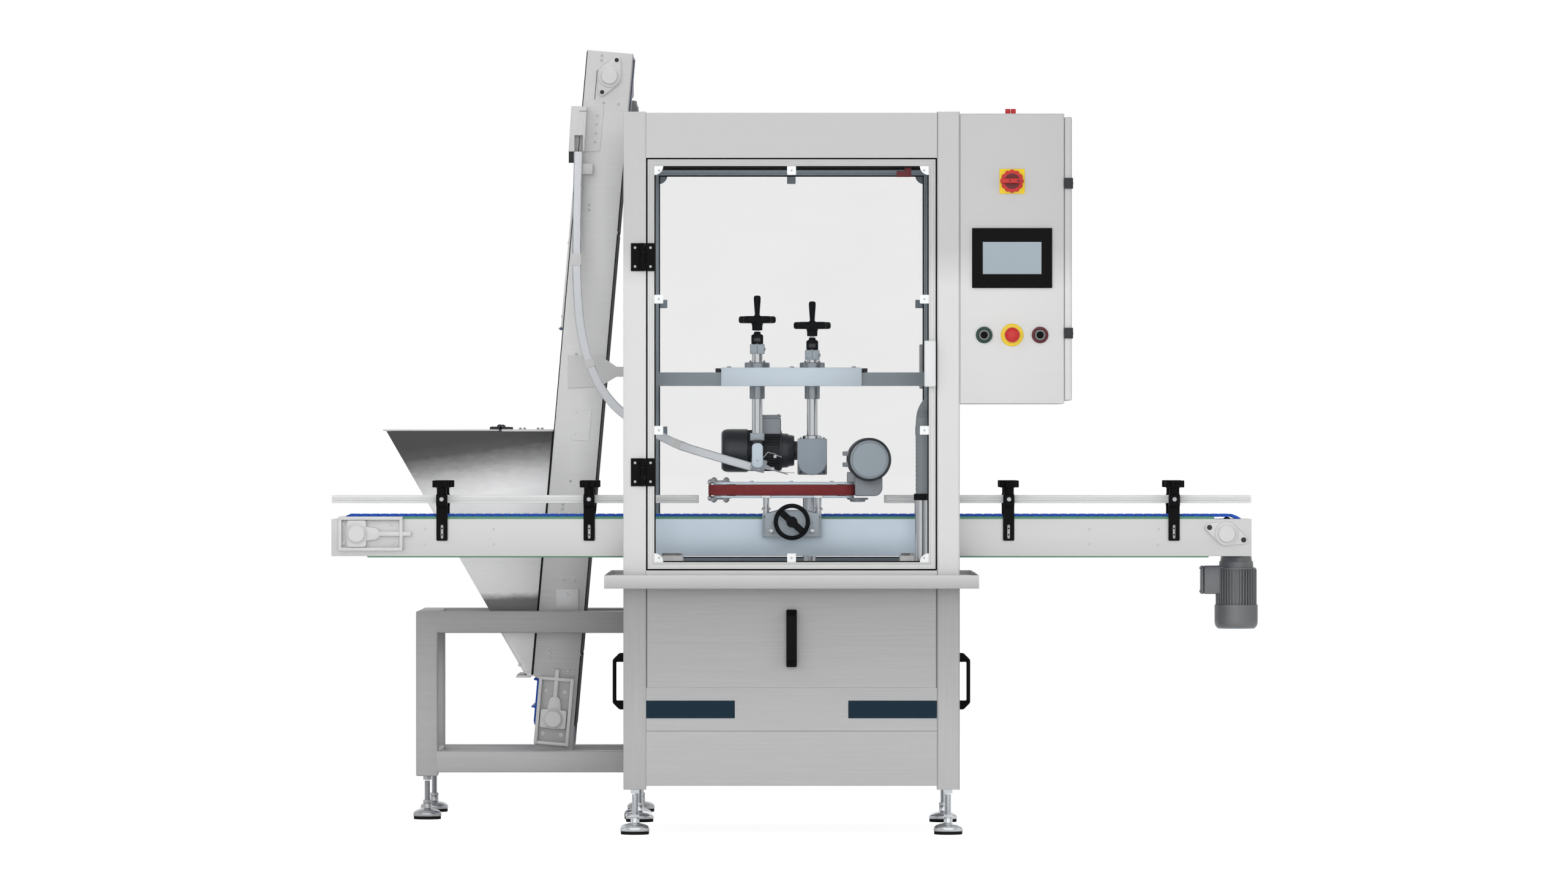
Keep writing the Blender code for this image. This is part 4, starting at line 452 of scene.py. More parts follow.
@dataclass(frozen=True)
class BrushedMetal(Finish):
    """Sheet or bar ground in one direction: long fine streaks in tone, gloss and relief.

    By height the sheets carry painted shade, from pale at the hood to darker below the tray where less light falls;
    below the tray the grind is also more open.
    """

    along: Triple = (2.0, 260.0, 260.0)
    streak: float = 0.10
    relief: float = 0.00003
    # painted shade: (height, tone) stops that darken the colour where less light falls
    grade: Sequence[Pair] = ()
    # colour painted on the part inside the body: a blue tint of the light seen through the clear sheets
    inside: Triple | None = None

    def draw(self, recipe: Recipe) -> None:
        """Draws fine and broad streaks over a soft cloud, then the painted shade by height and the more open grind
        below the tray.
        """
        fine = recipe.noise(1.0, 4.0, self.along, 0.65)
        broad = recipe.noise(1.0, 2.0, tuple(a * 0.16 for a in self.along))
        cloud = recipe.noise(2.2, 2.0)
        tone = fine * 0.55 + broad * 0.25 + cloud * 0.20
        colour = recipe.shade(self.colour, tone, self.streak)
        x, _, z = recipe.coordinates()
        # Painted shade by height, then a more open grain below the tray.
        if self.grade:
            grade = recipe.ramp(z / 2.2, *((height / 2.2, part) for height, part in self.grade))
            below = (z / 2.2) < 0.30
            grain = recipe.noise(1.0, 6.0, tuple(a * 1.7 for a in self.along), 0.75)
            colour = recipe.scaled(recipe.scaled(colour, recipe.gray(grade)),
                                   recipe.gray(1.0 - below * (0.5 - grain) * 0.35))
        # Painted blue tint of the light seen through the clear sheets, on the part inside the body.
        if self.inside:
            colour = recipe.mix(colour, self.inside, abs(x) < 0.39)
        recipe.set(Base_Color=colour, Roughness=self.roughness - 0.09 + tone * 0.18)
        recipe.bump(fine, self.relief)


@dataclass(frozen=True)
class MirrorSheet(Finish):
    """Bright rolled sheet with a painted reflection: dark bands where it would mirror the room's dark, at the rim, more
    to the left, and near the outlet.
    """

    def draw(self, recipe: Recipe) -> None:
        """Draws the dark bands of painted reflection with a hammered ripple."""
        x, _, z = recipe.coordinates()
        ripple = recipe.noise(38.0, 3.0, (1, 1, 2.2))
        height = z - (x + 0.70) * 0.135 + (ripple - 0.5) * 0.02
        rim = recipe.ramp(height / 1.25, (0.0, 1.0), (0.735, 1.0), (0.770, 0.72), (0.800, 0.34), (0.832, 0.10),
                          (0.856, 0.07))
        level = z - (x + 0.75) * 0.03 + (ripple - 0.5) * 0.012
        tone = recipe.ramp(level / 1.25, (0.0, 0.92), (0.432, 0.92), (0.452, 0.26), (0.484, 0.22), (0.499, 0.92),
                           (0.70, 1.0))
        speck = recipe.noise(60.0, 2.0, (0.5, 1, 5.0))
        recipe.set(Base_Color=recipe.scaled(recipe.shade(self.colour, speck, 0.05), recipe.gray(tone * rim)),
                   Roughness=self.roughness)


@dataclass(frozen=True)
class PolishedMetal(Finish):
    """Plated or polished metal with faint smears."""

    def draw(self, recipe: Recipe) -> None:
        """Draws smears in the gloss."""
        smear = recipe.noise(14.0, 5.0, (1, 1, 0.35))
        recipe.set(Base_Color=recipe.shade(self.colour, smear, 0.04), Roughness=self.roughness + smear * 0.08)
        recipe.bump(recipe.noise(60.0, 2.0), 0.00002)


@dataclass(frozen=True)
class GrainedSurface(Finish):
    """Cast, painted or moulded surface with a fine grain and a speckle in its colour."""

    grain: float = 900.0
    depth: float = 0.00008
    speckle: float = 0.08
    coat: float = 0.0
    gloss: float = 0.5

    def draw(self, recipe: Recipe) -> None:
        """Draws grain, speckle and a soft cloud."""
        grain = recipe.noise(self.grain, 3.0, rough=0.6)
        cloud = recipe.noise(7.0, 3.0)
        recipe.set(
            Base_Color=recipe.shade(self.colour, grain * 0.6 + cloud * 0.4, self.speckle),
            Roughness=self.roughness - 0.05 + grain * 0.10,
            Coat_Weight=self.coat,
            Specular_IOR_Level=self.gloss,
        )
        recipe.bump(grain, self.depth)


@dataclass(frozen=True)
class ClearSheet(Finish):
    """Clear sheet: mostly see-through, glossy, with a faint haze of wiping marks."""

    cover: float = 0.10

    def draw(self, recipe: Recipe) -> None:
        """Draws a slightly uneven cover."""
        haze = recipe.noise(3.0, 5.0, (1, 1, 2.2))
        recipe.set(
            Base_Color=recipe.shade(self.colour, haze, 0.03),
            Roughness=self.roughness + haze * 0.03,
            Alpha=self.cover - 0.012 + haze * 0.024,
        )


@dataclass(frozen=True)
class WovenRubber(Finish):
    """Rubber belt face with a fine diamond texture and dust."""

    pitch: float = 0.003

    def draw(self, recipe: Recipe) -> None:
        """Draws a diamond weave and clouded dust."""
        x, y, z = recipe.coordinates()
        wave = abs((x + z) % self.pitch - self.pitch / 2) + abs((x - z + y) % self.pitch - self.pitch / 2)
        dust = recipe.noise(40.0, 5.0)
        recipe.set(
            Base_Color=recipe.shade(self.colour, wave / self.pitch * 0.6 + dust * 0.4, 0.22),
            Roughness=self.roughness + dust * 0.1,
        )
        recipe.bump(wave / self.pitch, 0.00035)


@dataclass(frozen=True)
class Display(Finish):
    """Lit glass screen with a soft gradient."""

    glow: float = 0.35

    def draw(self, recipe: Recipe) -> None:
        """Draws a faint gradient from edge to edge, lit from behind."""
        _, _, z = recipe.coordinates()
        cloud = recipe.noise(5.0, 1.0)
        tone = recipe.shade(self.colour, (z - 1.45) * 5.0 * 0.6 + cloud * 0.4, 0.07)
        recipe.set(
            Base_Color=tone, Roughness=self.roughness, Emission_Color=tone, Emission_Strength=self.glow, Coat_Weight=0.3
        )


class Look:
    """The machine's finishes."""

    # Painted shade by height, as (height, tone) stops: the body darkest just below the tray, the elevator darker
    # towards its foot.
    _BODY = ((0.0, 0.71), (0.27, 0.70), (0.64, 0.49), (0.70, 0.97), (1.45, 1.0), (1.55, 0.79), (2.2, 0.79))
    _LEANING = ((0.0, 0.62), (0.50, 0.66), (0.80, 0.88), (1.1, 1.0), (1.5, 0.96), (2.1, 0.80))
    STEEL = BrushedMetal("satin_sheet", (0.64, 0.64, 0.64), 0.48, 0.30, along=(3.0, 240.0, 240.0), streak=0.05,
                         grade=_BODY)
    POST = BrushedMetal("satin_post", (0.64, 0.64, 0.64), 0.48, 0.30, along=(240.0, 240.0, 3.0), streak=0.05,
                        grade=_BODY)
    LEAN = BrushedMetal("elevator_sheet", (0.72, 0.72, 0.72), 0.46, 0.28, along=(3.0, 130.0, 130.0), streak=0.09,
                        grade=_LEANING)
    PLATE = BrushedMetal("satin_plate", (0.62, 0.62, 0.62), 0.42, 0.35, streak=0.07)
    # Its part inside the body gets a painted blue tint of the light seen through the clear sheets.
    SIDE = BrushedMetal("conveyor_side", (0.635, 0.635, 0.635), 0.42, 0.40, streak=0.035, inside=(0.66, 0.77, 0.87))
    MIRROR = MirrorSheet("bright_sheet", (0.86, 0.86, 0.865), 0.34, 0.45)
    BAR = BrushedMetal("anodised_bar", (0.26, 0.30, 0.325), 0.34, 0.55, along=(4.0, 220.0, 220.0), streak=0.08)
    FRAME = BrushedMetal("door_bar", (0.60, 0.605, 0.60), 0.40, 0.30, along=(200.0, 200.0, 3.0), streak=0.04,
                         grade=_BODY)
    # Painted shade: the door bars' and clips' colour darkened and tinted blue, as the rear door's are seen behind the
    # body.
    SHADED = BrushedMetal("rear_door_bar", (0.34, 0.40, 0.45), 0.36, 0.20, along=(200.0, 200.0, 3.0), streak=0.10)
    # Pale metal with a painted blue tint of the light seen through the clear sheets; every piece in it sits inside the
    # body.
    MACHINED = BrushedMetal("machined_block", (0.62, 0.71, 0.79), 0.34, 0.35, along=(6.0, 300.0, 300.0), streak=0.05)
    HEAD = BrushedMetal("head_plate", (0.30, 0.35, 0.40), 0.38, 0.35, along=(300.0, 300.0, 300.0), streak=0.06)
    BLOCK = BrushedMetal("clamp_block", (0.37, 0.42, 0.46), 0.38, 0.35, along=(6.0, 300.0, 300.0), streak=0.05)
    TURNED = BrushedMetal("turned_flange", (0.42, 0.46, 0.50), 0.24, 0.85, along=(300.0, 300.0, 20.0), streak=0.10)
    DIAL = GrainedSurface("dial_grey", (0.030, 0.033, 0.035), 0.40, grain=900.0)
    CHROME = PolishedMetal("chrome_plate", (0.90, 0.93, 0.96), 0.12, 1.0)
    BOLT = PolishedMetal("zinc_screw", (0.58, 0.59, 0.61), 0.22, 0.9)
    CAST = GrainedSurface("cast_drive", (0.31, 0.335, 0.37), 0.42, 0.35, grain=700.0, depth=0.00010)
    MOTOR = GrainedSurface("motor_shell", (0.055, 0.058, 0.066), 0.34, 0.45, grain=600.0, depth=0.00008)
    DRIVE = GrainedSurface("drive_grey", (0.185, 0.19, 0.195), 0.34, 0.45, grain=600.0, depth=0.00008)
    DRIVE_FINS = GrainedSurface("drive_fins", (0.20, 0.205, 0.21), 0.40, 0.3, grain=600.0)
    HOUSING = GrainedSurface("head_housing", (0.16, 0.18, 0.20), 0.40, 0.35, grain=700.0, depth=0.00008)
    COVER = GrainedSurface("fan_cover", (0.31, 0.36, 0.40), 0.36, 0.25, grain=600.0, depth=0.00004)
    FINS = GrainedSurface("motor_fins", (0.030, 0.031, 0.035), 0.45, 0.3, grain=600.0)
    BLACK = GrainedSurface("black_plastic_grained", (0.0045, 0.0045, 0.005), 0.42, grain=1400.0, depth=0.00005,
                           speckle=0.25, gloss=0.07)
    RUBBER = GrainedSurface("black_rubber", (0.010, 0.010, 0.010), 0.72, grain=500.0, speckle=0.3, gloss=0.15)
    PANE = ClearSheet("clear_sheet", (0.020, 0.027, 0.032), 0.03, cover=0.05)
    BEARING = GrainedSurface("cast_bearing", (0.60, 0.60, 0.60), 0.45, 0.1, grain=500.0, speckle=0.04)
    BLUE = GrainedSurface("blue_link", (0.004, 0.070, 0.42), 0.42, grain=400.0, speckle=0.12, gloss=0.25)
    GREEN_STRIP = GrainedSurface("green_wear_strip", (0.085, 0.24, 0.14), 0.45, grain=300.0, speckle=0.15)
    CHUTE = BrushedMetal("chute_sheet", (0.66, 0.68, 0.71), 0.40, 0.30, along=(60.0, 60.0, 60.0), streak=0.04)
    RAIL = GrainedSurface("white_rail", (0.69, 0.70, 0.70), 0.40, grain=120.0, depth=0.00003, speckle=0.02)
    WHITE_CLIP = GrainedSurface("white_clip", (0.80, 0.82, 0.82), 0.42, grain=300.0, speckle=0.03)
    PULL = GrainedSurface("door_pull", (0.66, 0.67, 0.68), 0.42, grain=300.0, speckle=0.03)
    BELT_RED = WovenRubber("red_grip_rubber", (0.21, 0.020, 0.022), 0.66)
    BELT_CORE = GrainedSurface("belt_backing", (0.10, 0.012, 0.013), 0.6, grain=500.0)
    RED = GrainedSurface("signal_red_cap", (0.48, 0.008, 0.008), 0.32, grain=500.0, speckle=0.05, coat=0.2)
    DARK_RED = GrainedSurface("safety_switch_red", (0.12, 0.008, 0.012), 0.40, grain=500.0, speckle=0.1)
    YELLOW = GrainedSurface("signal_yellow", (0.76, 0.54, 0.006), 0.36, grain=500.0, speckle=0.04, coat=0.15)
    GREEN = GrainedSurface("button_ring_green", (0.006, 0.040, 0.026), 0.30, grain=500.0, speckle=0.1, coat=0.2)
    WINE = GrainedSurface("button_ring_red", (0.085, 0.004, 0.008), 0.30, grain=500.0, speckle=0.1, coat=0.2)
    ENAMEL = GrainedSurface("cabinet_enamel", (0.525, 0.525, 0.525), 0.40, 0.1, grain=420.0, depth=0.00005,
                            speckle=0.02)
    NAVY = GrainedSurface("navy_film", (0.006, 0.021, 0.036), 0.42, grain=300.0, depth=0.00001, speckle=0.08,
                          gloss=0.12)
    HOSE = GrainedSurface("grey_hose", (0.25, 0.28, 0.30), 0.48, grain=300.0, speckle=0.08)
    SCREEN = Display("operator_screen", (0.225, 0.27, 0.30), 0.22)


class Bench:
    """Blender's own modelling operators, in the machine's coordinates."""

    shift = Vector((0, 0, 0))

    @classmethod
    def find_origin(cls) -> None:
        """Reads from the frame where the machine's own coordinates start."""
        low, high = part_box("lift_off_panel")
        cls.shift = Vector(((low.x + high.x) / 2, low.y - SKIN, 0.0))

    @staticmethod
    def pick(*pieces: Piece) -> None:
        """Selects only these, the first one active."""
        bpy.ops.object.select_all(action="DESELECT")
        for piece in pieces:
            piece.select_set(True)
        bpy.context.view_layer.objects.active = pieces[0]

    @staticmethod
    def close(weld: bool = False) -> None:
        """In edit mode, turns all faces outwards; weld joins doubled points first."""
        bpy.ops.mesh.select_all(action="SELECT")
        if weld:
            bpy.ops.mesh.remove_doubles(threshold=1e-6)
        bpy.ops.mesh.normals_make_consistent(inside=False)

    @classmethod
    def settle(cls, *pieces: Piece) -> None:
        """Puts the pieces' turn, size and place into their meshes."""
        cls.pick(*pieces)
        bpy.ops.object.transform_apply(location=True, rotation=True, scale=True)

    @classmethod
    @contextmanager
    def editing(cls, piece: Piece) -> Iterator[Callable[[Callable[[Any], bool]], None]]:
        """Edit mode on one piece; gives a function that selects the faces that pass a test."""
        cls.pick(piece)
        bpy.ops.object.mode_set(mode="EDIT")
        bpy.ops.mesh.select_mode(type="FACE")

        def choose(test: Callable[[Any], bool]) -> None:
            """Selects the faces that pass the test."""
            bpy.ops.mesh.select_all(action="DESELECT")
            mesh = bmesh.from_edit_mesh(piece.data)
            for face in mesh.faces:
                if test(face):
                    face.select_set(True)
            bmesh.update_edit_mesh(piece.data)

        yield choose
        bpy.ops.object.mode_set(mode="OBJECT")

    @classmethod
    def modify(cls, piece: Piece, kind: str, **settings: Any) -> Piece:
        """Adds a modifier with these settings and applies it."""
        cls.pick(piece)
        change = piece.modifiers.new(kind.lower(), kind)
        for name, value in settings.items():
            setattr(change, name, value)
        bpy.ops.object.modifier_apply(modifier=change.name)
        return piece

    @classmethod
    def bevel(cls, piece: Piece, width: float, segments: int = 2, angle: float = 30.0) -> Piece:
        """Rounds the edges sharper than an angle in degrees."""
        return cls.modify(
            piece, "BEVEL", width=width, segments=segments, limit_method="ANGLE", angle_limit=radians(angle),
            use_clamp_overlap=True,
        )

    @classmethod
    def block(cls, low: Triple, high: Triple, edge: float = 0.0, segments: int = 2) -> Piece:
        """A block between two corners, its edges rounded.

        Args:
            low: One corner.
            high: The opposite corner, in any order.
            edge: Radius of the edges.
            segments: Faces across an edge.

        Returns:
            The piece.
        """
        bpy.ops.object.select_all(action="DESELECT")
        a, b = Vector(map(min, low, high)), Vector(map(max, low, high))
        bpy.ops.mesh.primitive_cube_add(size=1, location=(a + b) / 2, scale=b - a)
        piece = bpy.context.active_object
        cls.settle(piece)
        return cls.bevel(piece, edge, segments) if edge else piece

    @classmethod
    def plate(
        cls, outline: Sequence[Pair], axis: Axis, start: float, end: float, edge: float = 0.0, segments: int = 2
    ) -> Piece:
        """A closed outline extruded along an axis, its edges rounded.

        Args:
            outline: Points in Y and Z for X, in X and Z for Y, in X and Y for Z.
            axis: The axis that it is extruded along.
            start: Place of the first face on the axis.
            end: Place of the last face.
            edge: Radius of the edges.
            segments: Faces across an edge.

        Returns:
            The piece.
        """
        bpy.ops.object.select_all(action="DESELECT")
        bpy.ops.mesh.primitive_circle_add(vertices=len(outline), radius=1, fill_type="NGON")
        piece = bpy.context.active_object
        for vertex, (u, v) in zip(piece.data.vertices, outline):
            vertex.co = axis.value @ Vector((u, v, start))
        with cls.editing(piece) as choose:
            choose(lambda face: True)
            bpy.ops.mesh.extrude_region_move(TRANSFORM_OT_translate={"value": axis.step(end - start)})
            cls.close()
        return cls.bevel(piece, edge, segments) if edge else piece

    @classmethod
    def turned(cls, profile: Sequence[Pair], place: Triple, axis: Axis = Axis.Z, sides: int = 32) -> Piece:
        """A round piece extruded and resized ring by ring.

        Args:
            profile: Radius and distance along the axis, from one end to the other.
            place: Where the distances are counted from.
            axis: The axis that it turns about.
            sides: Faces round it.

        Returns:
            The piece.
        """
        bpy.ops.object.select_all(action="DESELECT")
        (radius, height), rest = profile[0], profile[1:]
        bpy.ops.mesh.primitive_circle_add(vertices=sides, radius=max(radius, 1e-5), fill_type="NGON")
        piece = bpy.context.active_object
        with cls.editing(piece) as choose:
            choose(lambda face: True)
            bpy.ops.transform.translate(value=(0, 0, height))
            for wider, higher in rest:
                grow = max(wider, 1e-5) / max(radius, 1e-5)
                bpy.ops.mesh.extrude_region_move(TRANSFORM_OT_translate={"value": (0, 0, higher - height)})
                if abs(grow - 1) > 1e-6:
                    bpy.ops.transform.resize(value=(grow, grow, 1), center_override=(0, 0, higher))
                radius, height = wider, higher
            cls.close()
        piece.matrix_world = Matrix.Translation(place) @ axis.value
        cls.settle(piece)
        return cls.outwards(piece) if axis is Axis.Y else piece

    @classmethod
    def ring(cls, section: Sequence[Pair], place: Triple, axis: Axis = Axis.Z, sides: int = 32) -> Piece:
        """A closed section of (radius, height) points spun right round an axis.

        Args:
            section: The section's outline.
            place: Where the heights are counted from.
            axis: The axis that it is spun about.
            sides: Faces round it.

        Returns:
            The piece.
        """
        bpy.ops.object.select_all(action="DESELECT")
        bpy.ops.mesh.primitive_circle_add(vertices=len(section), radius=1, fill_type="NOTHING")
        piece = bpy.context.active_object
        for vertex, (radius, height) in zip(piece.data.vertices, section):
            vertex.co = (radius, 0, height)
        with cls.editing(piece):
            bpy.ops.mesh.select_all(action="SELECT")
            bpy.ops.mesh.spin(steps=sides, angle=2 * pi, center=(0, 0, 0), axis=(0, 0, 1))
            cls.close(weld=True)
        piece.matrix_world = Matrix.Translation(place) @ axis.value
        cls.settle(piece)
        return cls.outwards(piece)

    @classmethod
    def outwards(cls, piece: Piece) -> Piece:
        """Turns all faces of a closed piece outwards."""
        with cls.editing(piece):
            cls.close()
        return piece

    @classmethod
    def tube(cls, points: Sequence[Triple | Vector], radius: float, sides: int = 12) -> Piece:
        """A round bar or hose along the points, its ends closed.

        Args:
            points: The line it follows.
            radius: Its radius.
            sides: Faces round it, a multiple of four.

        Returns:
            The piece.
        """
        curve = bpy.data.curves.new("line", "CURVE")
        curve.dimensions, curve.bevel_depth, curve.bevel_resolution = "3D", radius, sides // 4 - 1
        curve.use_fill_caps = True
        spline = curve.splines.new("POLY")
        spline.points.add(len(points) - 1)
        for knot, point in zip(spline.points, points):
            knot.co = (*point, 1)
        piece = bpy.data.objects.new("line", curve)
        bpy.context.scene.collection.objects.link(piece)
        cls.pick(piece)
        bpy.ops.object.convert(target="MESH")
        piece = bpy.context.active_object
        with cls.editing(piece):
            cls.close(weld=True)
        return piece

    @classmethod
    def cut(cls, piece: Piece, *tools: Piece) -> Piece:
        """Cuts the tools out of a piece and removes them."""
        for tool in tools:
            cls.modify(piece, "BOOLEAN", operation="DIFFERENCE", object=tool, solver="EXACT")
            bpy.data.objects.remove(tool)
        return piece

    @classmethod
    def window(cls, piece: Piece, axis: Axis, bar: float) -> Piece:
        """Opens a block right through along an axis, leaving a frame of that width."""
        normal = axis.step(1.0)
        with cls.editing(piece) as choose:
            choose(lambda face: abs(face.normal.dot(normal)) > 0.99)
            bpy.ops.mesh.inset(thickness=bar, depth=0)
            bpy.ops.mesh.bridge_edge_loops()
            cls.close()
        return piece

    @classmethod
    def copies(cls, piece: Piece, offsets: Sequence[Triple | Vector]) -> list[Piece]:
        """Copies of a piece, each with its own mesh.

        Args:
            piece: The model.
            offsets: Where the copies stand, from the model.

        Returns:
            The model and the copies.
        """
        made = [piece]
        for offset in offsets:
            cls.pick(piece)
            bpy.ops.object.duplicate(linked=False)
            twin = bpy.context.active_object
            bpy.ops.transform.translate(value=offset)
            cls.settle(twin)
            made.append(twin)
        return made

    @classmethod
    def moved(cls, piece: Piece, move: Matrix) -> Piece:
        """Turns or moves a piece by a matrix; a mirror keeps its faces outwards."""
        piece.matrix_world = move @ piece.matrix_world
        cls.settle(piece)
        return cls.outwards(piece) if move.determinant() < 0 else piece

    @classmethod
    def twin(cls, piece: Piece, move: Matrix) -> Piece:
        """A copy with its own mesh, turned, moved or mirrored by a matrix."""
        return cls.moved(cls.copies(piece, [ORIGIN])[1], move)

    @classmethod
    def spread(cls, piece: Piece, moves: Sequence[Matrix]) -> Piece:
        """Copies a model to every place given by a matrix, and joins the copies in place of the model."""
        twins = []
        for move in moves:
            cls.pick(piece)
            bpy.ops.object.duplicate(linked=False)
            twin = bpy.context.active_object
            twin.matrix_world = move
            twins.append(twin)
        bpy.data.objects.remove(piece)
        cls.settle(*twins)
        return cls.joined(*twins)

    @classmethod
    def joined(cls, *pieces: Piece) -> Piece:
        """One piece from several."""
        cls.pick(*pieces)
        if len(pieces) > 1:
            bpy.ops.object.join()
        return bpy.context.active_object

    @classmethod
    def hand_over(
        cls, name: str, finish: Finish, *pieces: Piece, body: str = "machine", slot: str | None = None,
        replaces: Sequence[str] = (), smooth: float = 32.0,
    ) -> Piece:
        """Joins pieces into one finished piece in the frame and lets it ride on its body.

        Args:
            name: The piece's name.
            finish: Its finish.
            pieces: What it is made of.
            body: The CAD body that carries it.
            slot: The record's material slot that it stands for; not used.
            replaces: CAD nodes that it stands for.
            smooth: Edges flatter than this many degrees are shaded smooth.

        Returns:
            The finished piece.
        """
        piece = cls.joined(*pieces)
        piece.name = piece.data.name = name
        piece.location = cls.shift
        cls.settle(piece)
        bpy.ops.object.shade_smooth_by_angle(angle=radians(smooth))
        piece.data.materials.clear()
        piece.data.materials.append(finish.material())
        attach(piece, body)
        if replaces:
            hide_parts(*replaces)
        LOG.info("%s rides on %s, %d faces", name, body, len(piece.data.polygons))
        return piece


class Hardware:
    """Small catalogue parts, each made where it is needed."""

    @staticmethod
    def dome_screw(place: Triple, axis: Axis, radius: float, out: int = -1) -> Piece:
        """Button-head screw with a hexagon socket.

        Args:
            place: Middle of its seat.
            axis: Its axis.
            radius: Radius of the head.
            out: Direction of the head along the axis.

        Returns:
            The screw.
        """
        r = radius
        profile = [(r, 0), (r, out * r * 0.25), (r * 0.86, out * r * 0.5), (r * 0.55, out * r * 0.62),
                   (r * 0.46, out * r * 0.62), (r * 0.44, out * r * 0.25)]
        return Bench.turned(profile, place, axis, 14)

    @staticmethod
    def hex_bolt(place: Triple, axis: Axis, radius: float, height: float, out: int = -1) -> Piece:
        """Hexagon head on a washer, with a chamfered top and the screw's end."""
        r = radius
        washer = Bench.turned([(r * 1.35, 0), (r * 1.35, out * height * 0.2)], place, axis, 20)
        head = Bench.turned([(r, out * height * 0.2), (r, out * height * 0.86), (r * 0.86, out * height),
                             (r * 0.45, out * height), (r * 0.45, out * height * 1.25), (r * 0.3, out * height * 1.3)],
                            place, axis, 6)
        return Bench.joined(head, washer)

    @staticmethod
    def flange(centre: Pair, face: float, turn: float, side: int = -1) -> Piece:
        """Two-bolt flange of a bearing on a plate's face, its bolts on a line at that angle."""
        low, high = sorted((face, face + side * 0.009))
        return Bench.plate(eared(centre, 0.033, EAR_REACH, 0.011, turn), Axis.Y, low, high, 0.002, 3)

    @staticmethod
    def bearing_cover(centre: Pair, face: float) -> Piece:
        """Stepped round cover of a bearing, towards the operator."""
        dome = [(0.033, 0), (0.0325, -0.010), (0.0305, -0.0122), (0.0235, -0.0132), (0.023, -0.023), (0.021, -0.0255),
                (0.012, -0.0258)]
        return Bench.turned(dome, (centre[0], face, centre[1]), Axis.Y, 48)

    @staticmethod
    def bearing_bolts(centre: Pair, face: float, turn: float, radius: float, height: float) -> list[Piece]:
        """The two bolts in a bearing's flange, towards the operator."""
        return [Hardware.hex_bolt((centre[0] + s * EAR_REACH * cos(turn), face - 0.0085,
                                   centre[1] + s * EAR_REACH * sin(turn)),
                                  Axis.Y, radius, height) for s in (-1, 1)]


